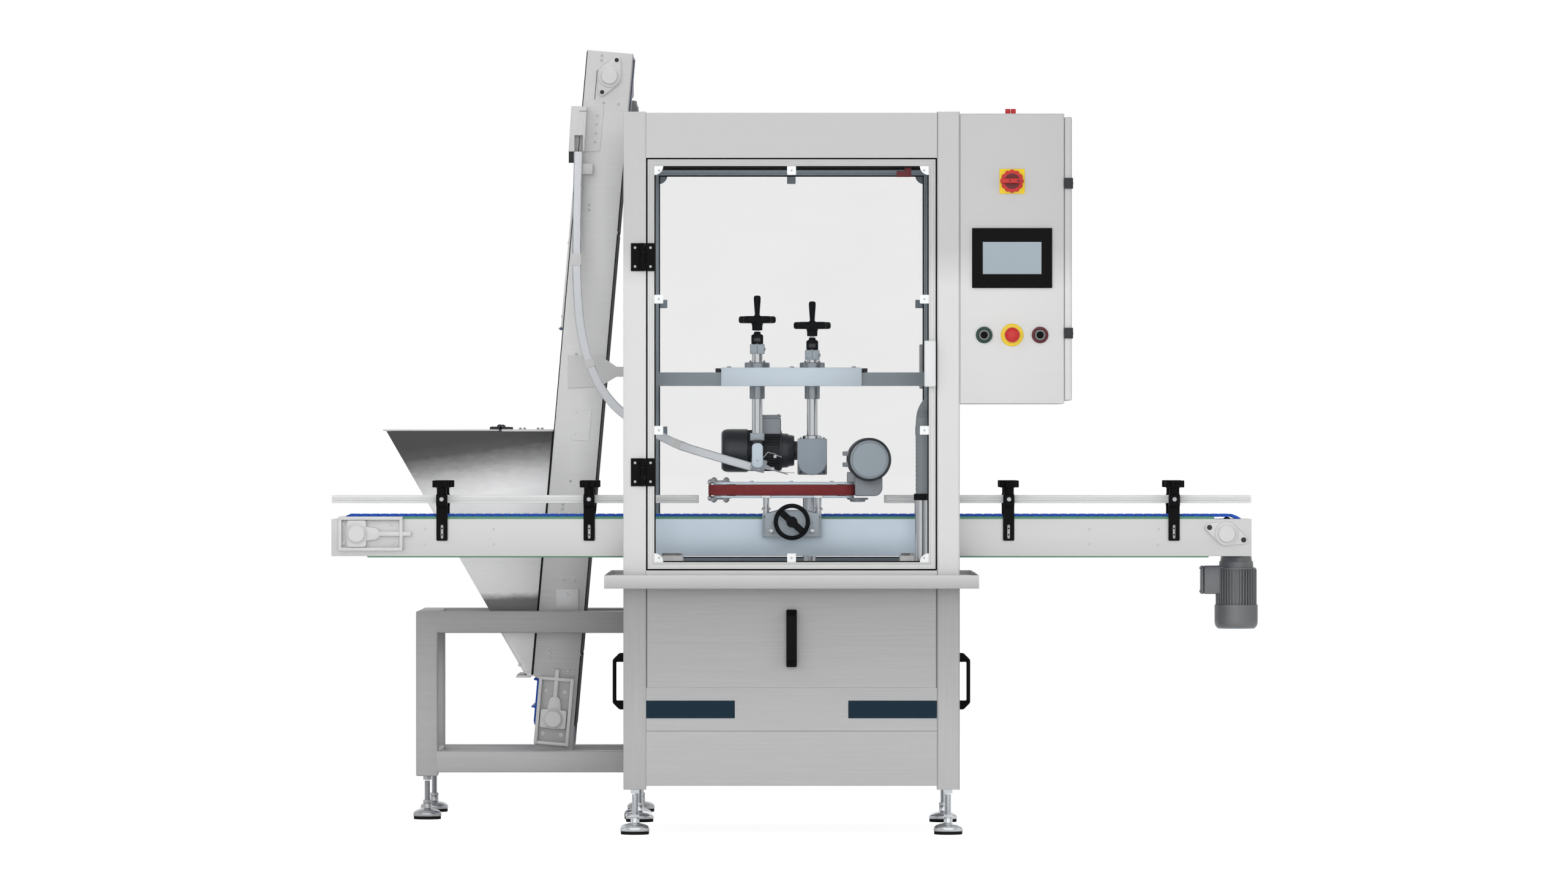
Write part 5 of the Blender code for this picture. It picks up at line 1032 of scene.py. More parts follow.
@dataclass
class Enclosure:
    """Body of the machine: its left posts, hinges' fixed leaves, handles, catches, films and gap seals."""

    width: float = 0.890
    depth: float = 0.760
    post: float = 0.060
    foot: float = 0.119
    top: float = 1.913
    band_x: Pair = (0.150, 0.3845)
    band_z: Pair = (0.308, 0.355)

    def build(self) -> None:
        """Makes the pieces."""
        self._left_posts()
        self._bands()
        self._handles()
        self._catches()
        self._gap_seals()

    def _left_posts(self) -> None:
        """The two posts that carry the doors' hinges, and the hinges' fixed leaves."""
        x = -self.width / 2
        for place, y, face, out in (("front", 0.0, 0.0, -1), ("rear", self.depth - self.post, self.depth, 1)):
            post = Bench.block((x, y, self.foot), (x + self.post, y + self.post, self.top), 0.0012, 3)
            Bench.hand_over(f"post_{place}_left_tube", Look.POST, post, slot="steel",
                            replaces=(f"post_{place}_left",))
            hinge = DoorHinge(HINGE_X, face, out)
            leaves = [hinge.fixed_leaf(z) for z in HINGE_HEIGHTS]
            Bench.hand_over(f"{place}_hinges_fixed", Look.BLACK, *leaves, slot="black_plastic")
            Bench.hand_over(f"{place}_hinge_screws_fixed", Look.BOLT, *hinge.screws(-1, HINGE_HEIGHTS), slot="chrome")

    def _bands(self) -> None:
        """Two navy films on the striped panel; the middle stays bare."""
        low, high = self.band_x
        films = [
            Bench.block((side * low, 0.0017, self.band_z[0]), (side * high, SKIN + 0.0005, self.band_z[1]), 0.0001, 1)
            for side in (-1, 1)
        ]
        Bench.hand_over("navy_bands", Look.NAVY, *films, slot="steel")

    def _handles(self) -> None:
        """Bridge handles with rounded bars and a pad at each foot."""
        half, out, bar, chamfer = 0.076, 0.038, 0.010, 0.018
        inner = half - bar - chamfer / 2
        outline = [(-half, 0), (-half, out - chamfer), (-half + chamfer, out), (half - chamfer, out),
                   (half, out - chamfer), (half, 0), (inner, 0), (inner, out - bar * 1.5), (inner - bar / 2, out - bar),
                   (bar / 2 - inner, out - bar), (-inner, out - bar * 1.5), (-inner, 0)]
        grip = Bench.plate([(-o, u) for u, o in outline], Axis.X, -0.014, 0.014, 0.0035, 3)
        pads = [Bench.block((-0.0125, -0.0305, s * 0.056 - 0.004), (0.0125, -0.003, s * 0.056 + 0.004), 0.001)
                for s in (-1, 1)]
        model = Bench.joined(grip, *pads)
        face, middle = SKIN - SEAT, self.depth / 2
        turns = {
            "front": Matrix.Translation((0, face, 0.520)),
            "rear": Matrix.Translation((0, self.depth - face, 0.395)) @ Matrix.Rotation(pi, 4, "Z"),
            "left": Matrix.Translation((face - self.width / 2, middle, 0.395)) @ Matrix.Rotation(-pi / 2, 4, "Z"),
            "right": Matrix.Translation((self.width / 2 - face, middle, 0.395)) @ Matrix.Rotation(pi / 2, 4, "Z"),
        }
        for side, turn in turns.items():
            Bench.hand_over(f"bridge_handle_{side}", Look.BLACK, Bench.twin(model, turn), slot="black_plastic",
                            replaces=(f"handle_{side}",))
        bpy.data.objects.remove(model)

    def _gap_seals(self) -> None:
        """Black strip behind the gap round each body door."""
        inner = self.width / 2 - self.post + 0.0006
        for place, near, far in (("front", 0.0212, 0.0240), ("rear", self.depth - 0.0240, self.depth - 0.0212)):
            strip = Bench.block((-inner, near, 0.6990), (inner, far, 1.7915))
            Bench.window(strip, Axis.Y, 0.0085)
            Bench.hand_over(f"{place}_gap_seal", Look.RUBBER, strip, slot="black_plastic")

    def _catches(self) -> None:
        """Quarter-turn catches of the panels at the sides and the rear, and the roof's lifting plugs."""
        disc, rows, made = ((0.011, 0), (0.011, 0.0012), (0.009, 0.0018)), (0.19, 0.60), []
        for side in (-1, 1):
            made += [Bench.turned([(r, side * out) for r, out in disc], (side * (self.width / 2 - SKIN), y, z), Axis.X,
                                  20)
                     for y in (0.16, self.depth - 0.16) for z in rows]
        made += [Bench.turned(disc, (x, self.depth - SKIN, z), Axis.Y, 20) for x in (-0.30, 0.30) for z in rows]
        made += [Bench.turned([(0.013, 0), (0.013, 0.002), (0.009, 0.003)], (x, y, 1.910), Axis.Z, 24)
                 for x in (-0.33, 0.33) for y in (0.13, self.depth - 0.13)]
        Bench.hand_over("panel_catches", Look.BOLT, *made, slot="chrome")


@dataclass
class DoorHinge:
    """Black block hinge of a body door: two leaves with four screws, knuckles round one pin."""

    pin_x: float
    face_y: float
    out: int
    width: float = 0.063
    height: float = 0.074
    leaf: float = 0.005
    pin: float = 0.0055
    run: float = 0.0004

    def _leaf(self, side: int, z: float, near: float) -> Piece:
        """A leaf's plate."""
        start, end = self.pin_x + side * (self.pin + self.run), self.pin_x + side * self.width / 2
        far = self.face_y + self.out * self.leaf
        half = self.height / 2
        return Bench.block((start, near, z - half), (end, far, z + half), 0.0012)

    def screws(self, side: int, heights: Pair) -> list[Piece]:
        """Two domed screws in every leaf on that side of the pin."""
        far = self.face_y + self.out * (self.leaf - 0.0008)
        return [Hardware.dome_screw((self.pin_x + side * 0.0205, far, z + up), Axis.Y, 0.0040, self.out)
                for z in heights for up in (-0.0249, 0.0249)]

    def _knuckles(self, side: int, z: float, spans: Sequence[Pair], near: float) -> list[Piece]:
        """Knuckles over these spans, each with the web to its leaf."""
        pin_y = self.face_y + self.out * (self.leaf + self.pin)
        made = []
        for low, high in spans:
            made.append(Bench.plate(arc((self.pin_x, pin_y), self.pin, 0, 345, 23), Axis.Z, z + low, z + high, 0.0005,
                                    1))
            start = self.pin_x + side * (self.pin + self.run + SKIN)
            made.append(Bench.block((self.pin_x, near, z + low), (start, pin_y, z + high)))
        return made

    def fixed_leaf(self, z: float) -> Piece:
        """The leaf on the post at that height."""
        half, third = self.height / 2, self.height / 3
        spans = ((-half, -third / 2 - self.run), (third / 2 + self.run, half))
        near = self.face_y + self.out * 0.0001
        return Bench.joined(self._leaf(-1, z, near), *self._knuckles(-1, z, spans, near))

    def door_leaf(self, z: float) -> Piece:
        """The leaf on the door at that height."""
        third = self.height / 3
        near = self.face_y + self.out * SEAT
        return Bench.joined(self._leaf(1, z, near), *self._knuckles(1, z, ((-third / 2, third / 2),), near))


@dataclass
class BodyDoor:
    """Framed clear door: profiled bars, seal, clips, handle, hinge leaves and the safety switch's key."""

    place: str
    face: float
    out: int
    half_width: float = 0.381
    bottom: float = 0.703
    top: float = 1.787
    bar: float = 0.018
    thickness: float = 0.020
    handle_z: float = 1.246
    finish: Finish = Look.FRAME
    clip: Finish = Look.WHITE_CLIP

    def build(self) -> None:
        """Makes the door's pieces."""
        body, inner = f"{self.place}_door", self.half_width - self.bar
        back = self.face - self.out * self.thickness
        frame = Bench.block((-self.half_width, self.face, self.bottom), (self.half_width, back, self.top))
        Bench.window(frame, Axis.Y, self.bar)
        with Bench.editing(frame) as choose:
            choose(lambda face: abs(face.normal.y) > 0.9)
            bpy.ops.mesh.inset(thickness=0.0045, depth=0)
            bpy.ops.mesh.inset(thickness=0.0008, depth=-0.0010)
        Bench.bevel(frame, 0.0008, 2)
        Bench.hand_over(f"{body}_bars", self.finish, frame, body=body, slot="aluminium", replaces=(f"{body}_frame",))
        seal = Bench.block((-inner, self.face - self.out * 0.004, self.bottom + self.bar),
                           (inner, self.face - self.out * 0.016, self.top - self.bar))
        Bench.window(seal, Axis.Y, 0.0035)
        Bench.hand_over(f"{body}_seal", Look.RUBBER, seal, body=body, slot="black_plastic")
        self._clips(body, inner)
        self._handle(body)
        hinge = DoorHinge(HINGE_X, self.face, self.out)
        reach = [
            Bench.block((-self.half_width + 0.0005, self.face + self.out * 0.0001, z - 0.037),
                        (-0.362, self.face + self.out * SKIN, z + 0.037)) for z in HINGE_HEIGHTS
        ]
        leaves = [hinge.door_leaf(z) for z in HINGE_HEIGHTS]
        Bench.hand_over(f"{body}_hinges", Look.BLACK, *leaves, *reach, body=body, slot="black_plastic")
        Bench.hand_over(f"{body}_hinge_screws", Look.BOLT, *hinge.screws(1, HINGE_HEIGHTS), body=body, slot="chrome")

    def _clips(self, body: str, inner: float) -> None:
        """White quarter-round corner clips and square clips that hold the clear sheet."""
        near = self.face - self.out * 0.0003
        far = self.face - self.out * 0.0073
        pieces, screws = [], []
        top, bottom = self.top - self.bar, self.bottom + self.bar
        for x, z, turn_x, turn_z in ((-inner, top, 1, -1), (inner, top, -1, -1), (-inner, bottom, 1, 1),
                                     (inner, bottom, -1, 1)):
            shape = [(x, z), *[(x + turn_x * u, z + turn_z * v) for u, v in arc((0, 0), 0.0235, 0, 90, 10)]]
            pieces.append(Bench.plate(shape, Axis.Y, near, far, 0.0006, 1))
            screws.append((x + turn_x * 0.0125, z + turn_z * 0.0115))
        middles = [(0.0, top - 0.0117), (0.0, bottom + 0.0117)]
        middles += [(side * (inner - 0.0117), z) for side in (-1, 1) for z in (1.417, 1.070)]
        for x, z in middles:
            pieces.append(Bench.plate(rounded(0.0235, 0.0230, 0.001, 1, (x, z)), Axis.Y, near, far, 0.0005, 1))
            screws.append((x, z))
        Bench.hand_over(f"{body}_clips", self.clip, *pieces, body=body, slot="rail_white")
        heads = [Hardware.dome_screw((x, near, z), Axis.Y, 0.0028, self.out) for x, z in screws]
        Bench.hand_over(f"{body}_clip_screws", Look.BOLT, *heads, body=body, slot="chrome")

    def _handle(self, body: str) -> None:
        """Moulded pull on the free side, hollowed for the fingers."""
        out = self.out
        x, z, wide, high, deep = self.half_width - 0.015, self.handle_z, 0.030, 0.122, 0.028
        grip = Bench.block((x - wide / 2, self.face + out * 0.0002, z - high / 2),
                           (x + wide / 2, self.face + out * deep, z + high / 2))
        with Bench.editing(grip) as choose:
            choose(lambda face: face.normal.x < -0.9)
            bpy.ops.mesh.inset(thickness=0.006, depth=0)
            bpy.ops.mesh.extrude_region_move(TRANSFORM_OT_translate={"value": (0.018, 0, 0)})
            bpy.ops.transform.resize(value=(1, 0.8, 0.92), center_override=(x, self.face + out * deep / 2, z))
        Bench.bevel(grip, 0.003, 3)
        Bench.hand_over(f"{body}_pull", Look.PULL, grip, body=body, slot="aluminium")
        if self.out < 0:
            key = Bench.plate([(0.278, 1.741), (0.317, 1.741), (0.317, 1.767), (0.300, 1.767), (0.300, 1.757),
                               (0.278, 1.757)], Axis.Y,
                              self.face + 0.0203, self.face + 0.034, 0.0016)
            Bench.hand_over("safety_switch_key", Look.DARK_RED, key, body=body, slot="signal_red")


class FrontDoor(BodyDoor):
    """The door on the operator's side."""

    def __init__(self) -> None:
        """Places it in the front face."""
        super().__init__("front", 0.0, -1)


class RearDoor(BodyDoor):
    """The door at the rear."""

    def __init__(self) -> None:
        """Places it in the rear face."""
        # The rear door's bars and clips are in painted shade.
        super().__init__("rear", 0.760, 1, finish=Look.SHADED, clip=Look.SHADED)


@dataclass
class LevellingFeet:
    """Feet of the body: rubber pad, domed plate, threaded stud and two nuts, modelled once."""

    post_foot: float = 0.119

    def model(self) -> tuple[Piece, Piece]:
        """The rubber pad and the metal of one foot, at the origin."""
        rubber = Bench.turned([(0.0365, 0), (0.0375, 0.0012), (0.0375, 0.0080), (0.0380, 0.0090)], ORIGIN, Axis.Z, 40)
        dome = [(0.0380, 0.0087), (0.0385, 0.0100), (0.0385, 0.0165), (0.0375, 0.0195), (0.0330, 0.0240),
                (0.0240, 0.0275),
                (0.0135, 0.0295), (0.0118, 0.0310), (0.0114, 0.0400), (0.0110, 0.0425), (0.0100, 0.0440)]
        plate = Bench.turned(dome, ORIGIN, Axis.Z, 40)
        nut = Bench.turned([(0.0122, 0.0445), (0.0130, 0.0452), (0.0130, 0.0525), (0.0122, 0.0532)], ORIGIN, Axis.Z, 6)
        thread = [(0.0074, 0.044)]
        for i in range(30):
            low = 0.046 + i * 0.002
            thread += [(0.0080, low + 0.0007), (0.0072, low + 0.0017)]
        stud = Bench.turned(thread, ORIGIN, Axis.Z, 16)
        top = self.post_foot - SEAT
        lock = Bench.turned([(0.0122, top - 0.0105), (0.0130, top - 0.0098), (0.0130, top - 0.0007), (0.0122, top)],
                            ORIGIN, Axis.Z, 6)
        return rubber, Bench.joined(plate, nut, stud, lock)

    def build(self) -> None:
        """Stands a foot under each post."""
        rubber, metal = self.model()
        for side, x in (("left", -0.415), ("right", 0.415)):
            for place, y in (("front", 0.030), ("rear", 0.730)):
                node = f"foot_{place}_{side}"
                pad, plate = (Bench.copies(piece, [(x, y, 0)])[1] for piece in (rubber, metal))
                Bench.hand_over(f"{node}_metal", Look.CHROME, plate, slot="chrome", replaces=(node,))
                Bench.hand_over(f"{node}_pad", Look.RUBBER, pad, slot="black_plastic")
        for piece in (rubber, metal):
            bpy.data.objects.remove(piece)


@dataclass
class FinnedMotor:
    """Small geared motor: bell, finned shell, fan cover with a ringed grille and a terminal box."""

    length: float
    radius: float = 0.0585
    fins: int = 40
    cover: float = 0.66

    def shell(self) -> Piece:
        """Bell and fan cover, along +Z from the flange."""
        r, n = self.radius, self.length
        bell = [(0.44 * r, 0), (0.44 * r, 0.040 * n), (0.68 * r, 0.042 * n), (0.70 * r, 0.050 * n),
                (0.74 * r, 0.120 * n), (0.78 * r, 0.125 * n),
                (0.80 * r, 0.205 * n), (0.92 * r, 0.208 * n), (0.92 * r, 0.228 * n), (0.80 * r, 0.232 * n)]
        cover = [(0.90 * r, self.cover * n - 0.001), (r, self.cover * n), (r, 0.90 * n), (0.985 * r, 0.945 * n),
                 (0.94 * r, 0.975 * n),
                 (0.86 * r, 0.994 * n), (0.84 * r, n), (0.82 * r, n - 0.0045)]
        return Bench.joined(Bench.turned(bell, ORIGIN, Axis.Z, 40), Bench.turned(cover, ORIGIN, Axis.Z, 40))

    def core(self) -> Piece:
        """The shell's barrel with its cooling fins."""
        r, n = self.radius, self.length
        barrel = Bench.turned([(0.82 * r, 0.20 * n), (0.82 * r, (self.cover + 0.01) * n)], ORIGIN, Axis.Z, 40)
        fin = Bench.block((0.78 * r, -0.0011, 0.228 * n), (0.95 * r, 0.0011, (self.cover + 0.002) * n), 0.0004, 1)
        turns = [Matrix.Rotation(2 * pi * i / self.fins, 4, "Z") for i in range(self.fins)]
        return Bench.joined(barrel, Bench.spread(fin, turns))

    def disc(self) -> Piece:
        """Pale end of the fan cover with its raised rim."""
        r, n = self.radius, self.length
        return Bench.turned([(0.90 * r, n - 0.006), (0.88 * r, n - 0.0012), (0.83 * r, n + 0.0004),
                             (0.79 * r, n - 0.0002),
                             (0.765 * r, n - 0.0016), (0.60 * r, n - 0.0012)], ORIGIN, Axis.Z, 48)

    def mount(self, name: str, place: Matrix, looks: Sequence[Finish], ends: Pair, body: str = "machine",
              node: str | None = None) -> None:
        """Hands over the motor at its place.

        Args:
            name: What its pieces' names start with.
            place: Turns and moves it from +Z.
            looks: Finishes of the shell, the fins and the terminal box.
            ends: Start and end of the terminal box, as shares of the length.
            body: The body that carries it.
            node: The CAD node that it stands for.
        """
        for part, finish, make in (("shell", looks[0], self.shell), ("fins", looks[1], self.core),
                                   ("disc", Look.COVER, self.disc), ("terminal", looks[2],
                                       lambda: self.terminal(ends))):
            Bench.hand_over(f"{name}_{part}", finish, Bench.moved(make(), place), body=body, slot="motor_grey",
                            replaces=(node,) if node and part == "shell" else ())

    def terminal(self, ends: Pair, half: float = 0.030) -> Piece:
        """Terminal box towards +X between two shares of the length, with its lid and screws."""
        r, (start, end), inset = self.radius, (share * self.length for share in ends), 0.007
        box = Bench.block((0.5 * r, -half, start), (1.52 * r, half, end), 0.004, 3)
        lid = Bench.block((1.53 * r, -half, start), (1.65 * r, half, end), 0.003, 3)
        screws = [Hardware.dome_screw((1.65 * r, y, z), Axis.X, 0.003, 1)
                  for y in (-half + inset, half - inset) for z in (start + inset, end - inset)]
        return Bench.joined(box, lid, *screws)


@dataclass
class WormDrive:
    """Worm gear box on a shaft along Y with its motor hanging below."""

    name: str
    node: str
    shaft: Triple
    depth: float
    drop_x: float = 0.0275
    size: float = 0.090
    length: float = 0.196

    def build(self) -> None:
        """Makes the drive's pieces."""
        x, y, z = self.shaft
        middle = (x + self.drop_x / 2, z)
        box = Bench.plate(rounded(self.size, self.size, 0.012, 5, middle), Axis.Y, y, y + self.depth, 0.003, 3)
        hub = Bench.turned([(0.030, 0), (0.030, 0.0015), (0.026, 0.0022), (0.016, 0.0022), (0.015, 0.0005)],
                           (x, y + self.depth - 0.0025, z), Axis.Y, 32)
        ribs = [Bench.block((middle[0] - 0.044, y + 0.012 + i * 0.019, z + 0.030),
                            (middle[0] + 0.044, y + 0.018 + i * 0.019, z + 0.0448), 0.0015)
                for i in range(int(self.depth / 0.019) - 1)]
        bolts = [Hardware.hex_bolt((middle[0] + a, y + self.depth - 0.0012, z + b), Axis.Y, 0.0045, 0.0012, 1)
                 for a in (-0.034, 0.034) for b in (-0.034, 0.034)]
        Bench.hand_over(f"{self.name}_box", Look.CAST, box, hub, *ribs, *bolts, slot="motor_grey",
                        replaces=(self.node,))
        place = Matrix.Translation((x + self.drop_x, y + self.depth / 2, z - self.size / 2 + SKIN))
        FinnedMotor(self.length, cover=0.69).mount(self.name, place @ Matrix.Rotation(pi, 4, "Y"),
                                                   (Look.DRIVE, Look.DRIVE_FINS, Look.DRIVE), (0.18, 0.55))


@dataclass
class TakeUp:
    """Sliding bearing in its frame, drawn on the conveyor's front face with its screw to the right."""

    x: float
    z: float
    face: float
    side: int
    reach: Pair = (0.049, 0.124)
    half: float = 0.046
    bolts: Pair = (-0.035, 0.094)

    def parts(self) -> list[Piece]:
        """Bars, housing, boss, nose, the screw as a square bar, and the bolts."""
        x, z, out = self.x, self.z, self.side
        near, far = self.face, self.face + out * 0.016
        left, right, half, bar = x - self.reach[0], x + self.reach[1], self.half, 0.009
        made = [Bench.block((left, near, z + s * half), (right, far, z + s * (half - bar)), 0.0012) for s in (-1, 1)]
        made += [Bench.block((a, near, z - half + 0.002), (a + bar, far - out * 0.001, z + half - 0.002), 0.0012)
                 for a in (left, right - bar)]
        made.append(Bench.plate(rounded(0.052, 0.072, 0.006, 3, (x, z)), Axis.Y, near, far - out * 0.001, 0.0015))
        boss = [(0.028, 0), (0.028, out * 0.016), (0.026, out * 0.018), (0.0235, out * 0.0188), (0.023, out * 0.024),
                (0.021, out * 0.0258), (0.012, out * 0.0260)]
        made.append(Bench.turned(boss, (x, near, z), Axis.Y, 40))
        nose = [(x + 0.020, z - 0.020), (x + 0.052, z - 0.016), (x + 0.062, z - 0.009), (x + 0.062, z + 0.009),
                (x + 0.052, z + 0.016), (x + 0.020, z + 0.020)]
        made.append(Bench.plate(nose, Axis.Y, near, near + out * 0.013, 0.002))
        middle = near + out * 0.0075
        made.append(Bench.block((x + 0.058, middle - 0.0058, z - 0.0058), (right + 0.022, middle + 0.0058, z + 0.0058),
                                0.0010))
        made += [Hardware.hex_bolt((x + a, near + out * 0.0002, z + b), Axis.Y, 0.0042, 0.0030, out)
                 for a in self.bolts for b in (-0.0254, 0.0254)]
        return made


@dataclass
class Conveyor:
    """Slat conveyor: folded side plates, green wear strips, chain of belt links, bearings, take-ups and drive."""

    half: float = 1.235
    middle_y: float = MIDDLE_Y
    inner: float = 0.064
    top: float = 0.8325
    height: float = 0.100
    belt_top: float = 0.846
    belt_half: float = 0.060
    radius: float = 0.050
    thickness: float = 0.008
    shaft_z: float = 0.793
    drive_x: float = 1.1676

    def build(self) -> None:
        """Makes the conveyor's pieces."""
        self._plates()
        self._strips()
        self._links()
        self._bearings()
        shaft = (self.drive_x, self.middle_y + 0.0683, self.shaft_z - 0.008)
        WormDrive("conveyor_drive", "conveyor_gearmotor", shaft, 0.100, 0.0365, length=0.2075).build()

    def _plates(self) -> None:
        """Side plates with screws, cross ties, pedestals and the two slide bars."""
        low, made = self.top - self.height, []
        for side in (-1, 1):
            a, b = self.middle_y + side * self.inner, self.middle_y + side * (self.inner + 0.004)
            made.append(Bench.block((-self.half, a, low), (self.half, b, self.top), 0.0012))
            for x in (-0.985, -0.80, 0.80, 0.985):
                made += [Hardware.dome_screw((x, b, z), Axis.Y, 0.0034, side) for z in (0.7645, 0.8060)]
        for x in (-0.80, -0.27, 0.27, 0.80):
            made.append(Bench.block((x - 0.02, self.middle_y - self.inner, 0.776),
                                    (x + 0.02, self.middle_y + self.inner, 0.8377), 0.001))
        Bench.hand_over("conveyor_plates", Look.SIDE, *made, slot="steel", replaces=("conveyor_frame",))
        stands = []
        for x in (-0.320, 0.320):
            stands.append(Bench.block((x - 0.030, 0.312, 0.6753), (x + 0.030, 0.448, 0.744), 0.003, 3))
            stands.append(Bench.block((x - 0.034, 0.309, 0.6753), (x + 0.034, 0.451, 0.6793), 0.001))
        Bench.hand_over("conveyor_pedestals", Look.PLATE, *stands, slot="steel")
        bars = [Bench.turned([(0.0048, 0.240), (0.006, 0.2412), (0.006, 0.5188), (0.0048, 0.520)], (x, 0, 0.802),
                             Axis.Y, 24)
                for x in (-0.054, 0.056)]
        Bench.hand_over("slide_bars", Look.CHROME, *bars, slot="steel")

    def _strips(self) -> None:
        """Green strips under the belt's carrying run and along the plates' lower edges."""
        made = []
        for side in (-1, 1):
            y = self.middle_y + side * self.inner
            made.append(Bench.block((-1.139, y - side * 0.009, self.top - 0.004),
                                    (1.135, y + side * 0.0025, self.top + 0.0066), 0.0006))
            made += [Bench.block((start, y - side * 0.004, self.top - self.height - 0.0035),
                                 (end, y + side * 0.0030, self.top - self.height + 0.001), 0.001)
                     for start, end in ((-1.139, -0.400), (0.400, 1.120))]
        Bench.hand_over("conveyor_wear_strips", Look.GREEN_STRIP, *made, slot="steel")

    def _path(self, share: float) -> Matrix:
        """Where a link stands after that share of the loop."""
        end, line = self.half - 0.062, self.radius - self.thickness / 2
        start = Matrix.Translation((-end, self.middle_y, self.belt_top - self.radius))
        return start @ loop_place(share * 2 * (2 * end + pi * line), 2 * end, line)

    def _links(self) -> None:
        """Belt of moulded links, one modelled and copied round the loop, with sprockets at both ends."""
        count, half, thick = 196, self.belt_half, self.thickness / 2
        profile = [(-0.0095, -thick), (0.0095, -thick), (0.0108, -0.001), (0.0100, thick - 0.0008), (0.0088, thick),
                   (-0.0088, thick), (-0.0100, thick - 0.0008), (-0.0108, -0.001)]
        body = Bench.plate(profile, Axis.Y, -half, half)
        fingers = [Bench.block((0.0085, y, -thick + 0.0008), (0.0168, y + 0.010, thick - 0.0012))
                   for y in (-half + 0.006, -half + 0.030, -0.005, half - 0.040, half - 0.016)]
        moves = [self._path(i / count) for i in range(count)]
        links = Bench.spread(Bench.joined(body, *fingers), moves)
        Bench.hand_over("conveyor_links", Look.BLUE, links, slot="belt_blue", replaces=("conveyor_belt",), smooth=40)
        wheels = []
        for x in (-self.half + 0.062, self.half - 0.062):
            z = self.belt_top - self.radius
            wheels.append(Bench.turned([(0.0125, self.middle_y - self.inner), (0.0125, self.middle_y + self.inner)],
                                       (x, 0, z), Axis.Y, 24))
            for y in (-0.035, 0.0, 0.035):
                teeth = lobed(self.radius - self.thickness - 0.0006, 12, 0.004, (x, z))
                wheels.append(Bench.plate(teeth, Axis.Y, self.middle_y + y - 0.006, self.middle_y + y + 0.006, 0.0008,
                                          1))
        Bench.hand_over("conveyor_sprockets", Look.BLACK, *wheels, slot="belt_blue")

    def _bearings(self) -> None:
        """Two-bolt flange bearing at the driven end and the take-ups at the other."""
        centre, front, turn = (self.drive_x, self.shaft_z), self.middle_y - self.inner - 0.004, radians(-20)
        Bench.hand_over("drive_bearing", Look.BEARING, Hardware.flange(centre, front, turn),
                        Hardware.bearing_cover(centre, front), slot="steel")
        bolts = Hardware.bearing_bolts(centre, front, turn, 0.0052, 0.005)
        Bench.hand_over("drive_bearing_bolts", Look.FINS, *bolts, slot="steel")
        for name, side in (("front", -1), ("rear", 1)):
            face = self.middle_y + side * (self.inner + 0.004)
            Bench.hand_over(f"take_up_{name}", Look.BEARING, *TakeUp(-1.167, self.shaft_z, face, side).parts(),
                            slot="steel")


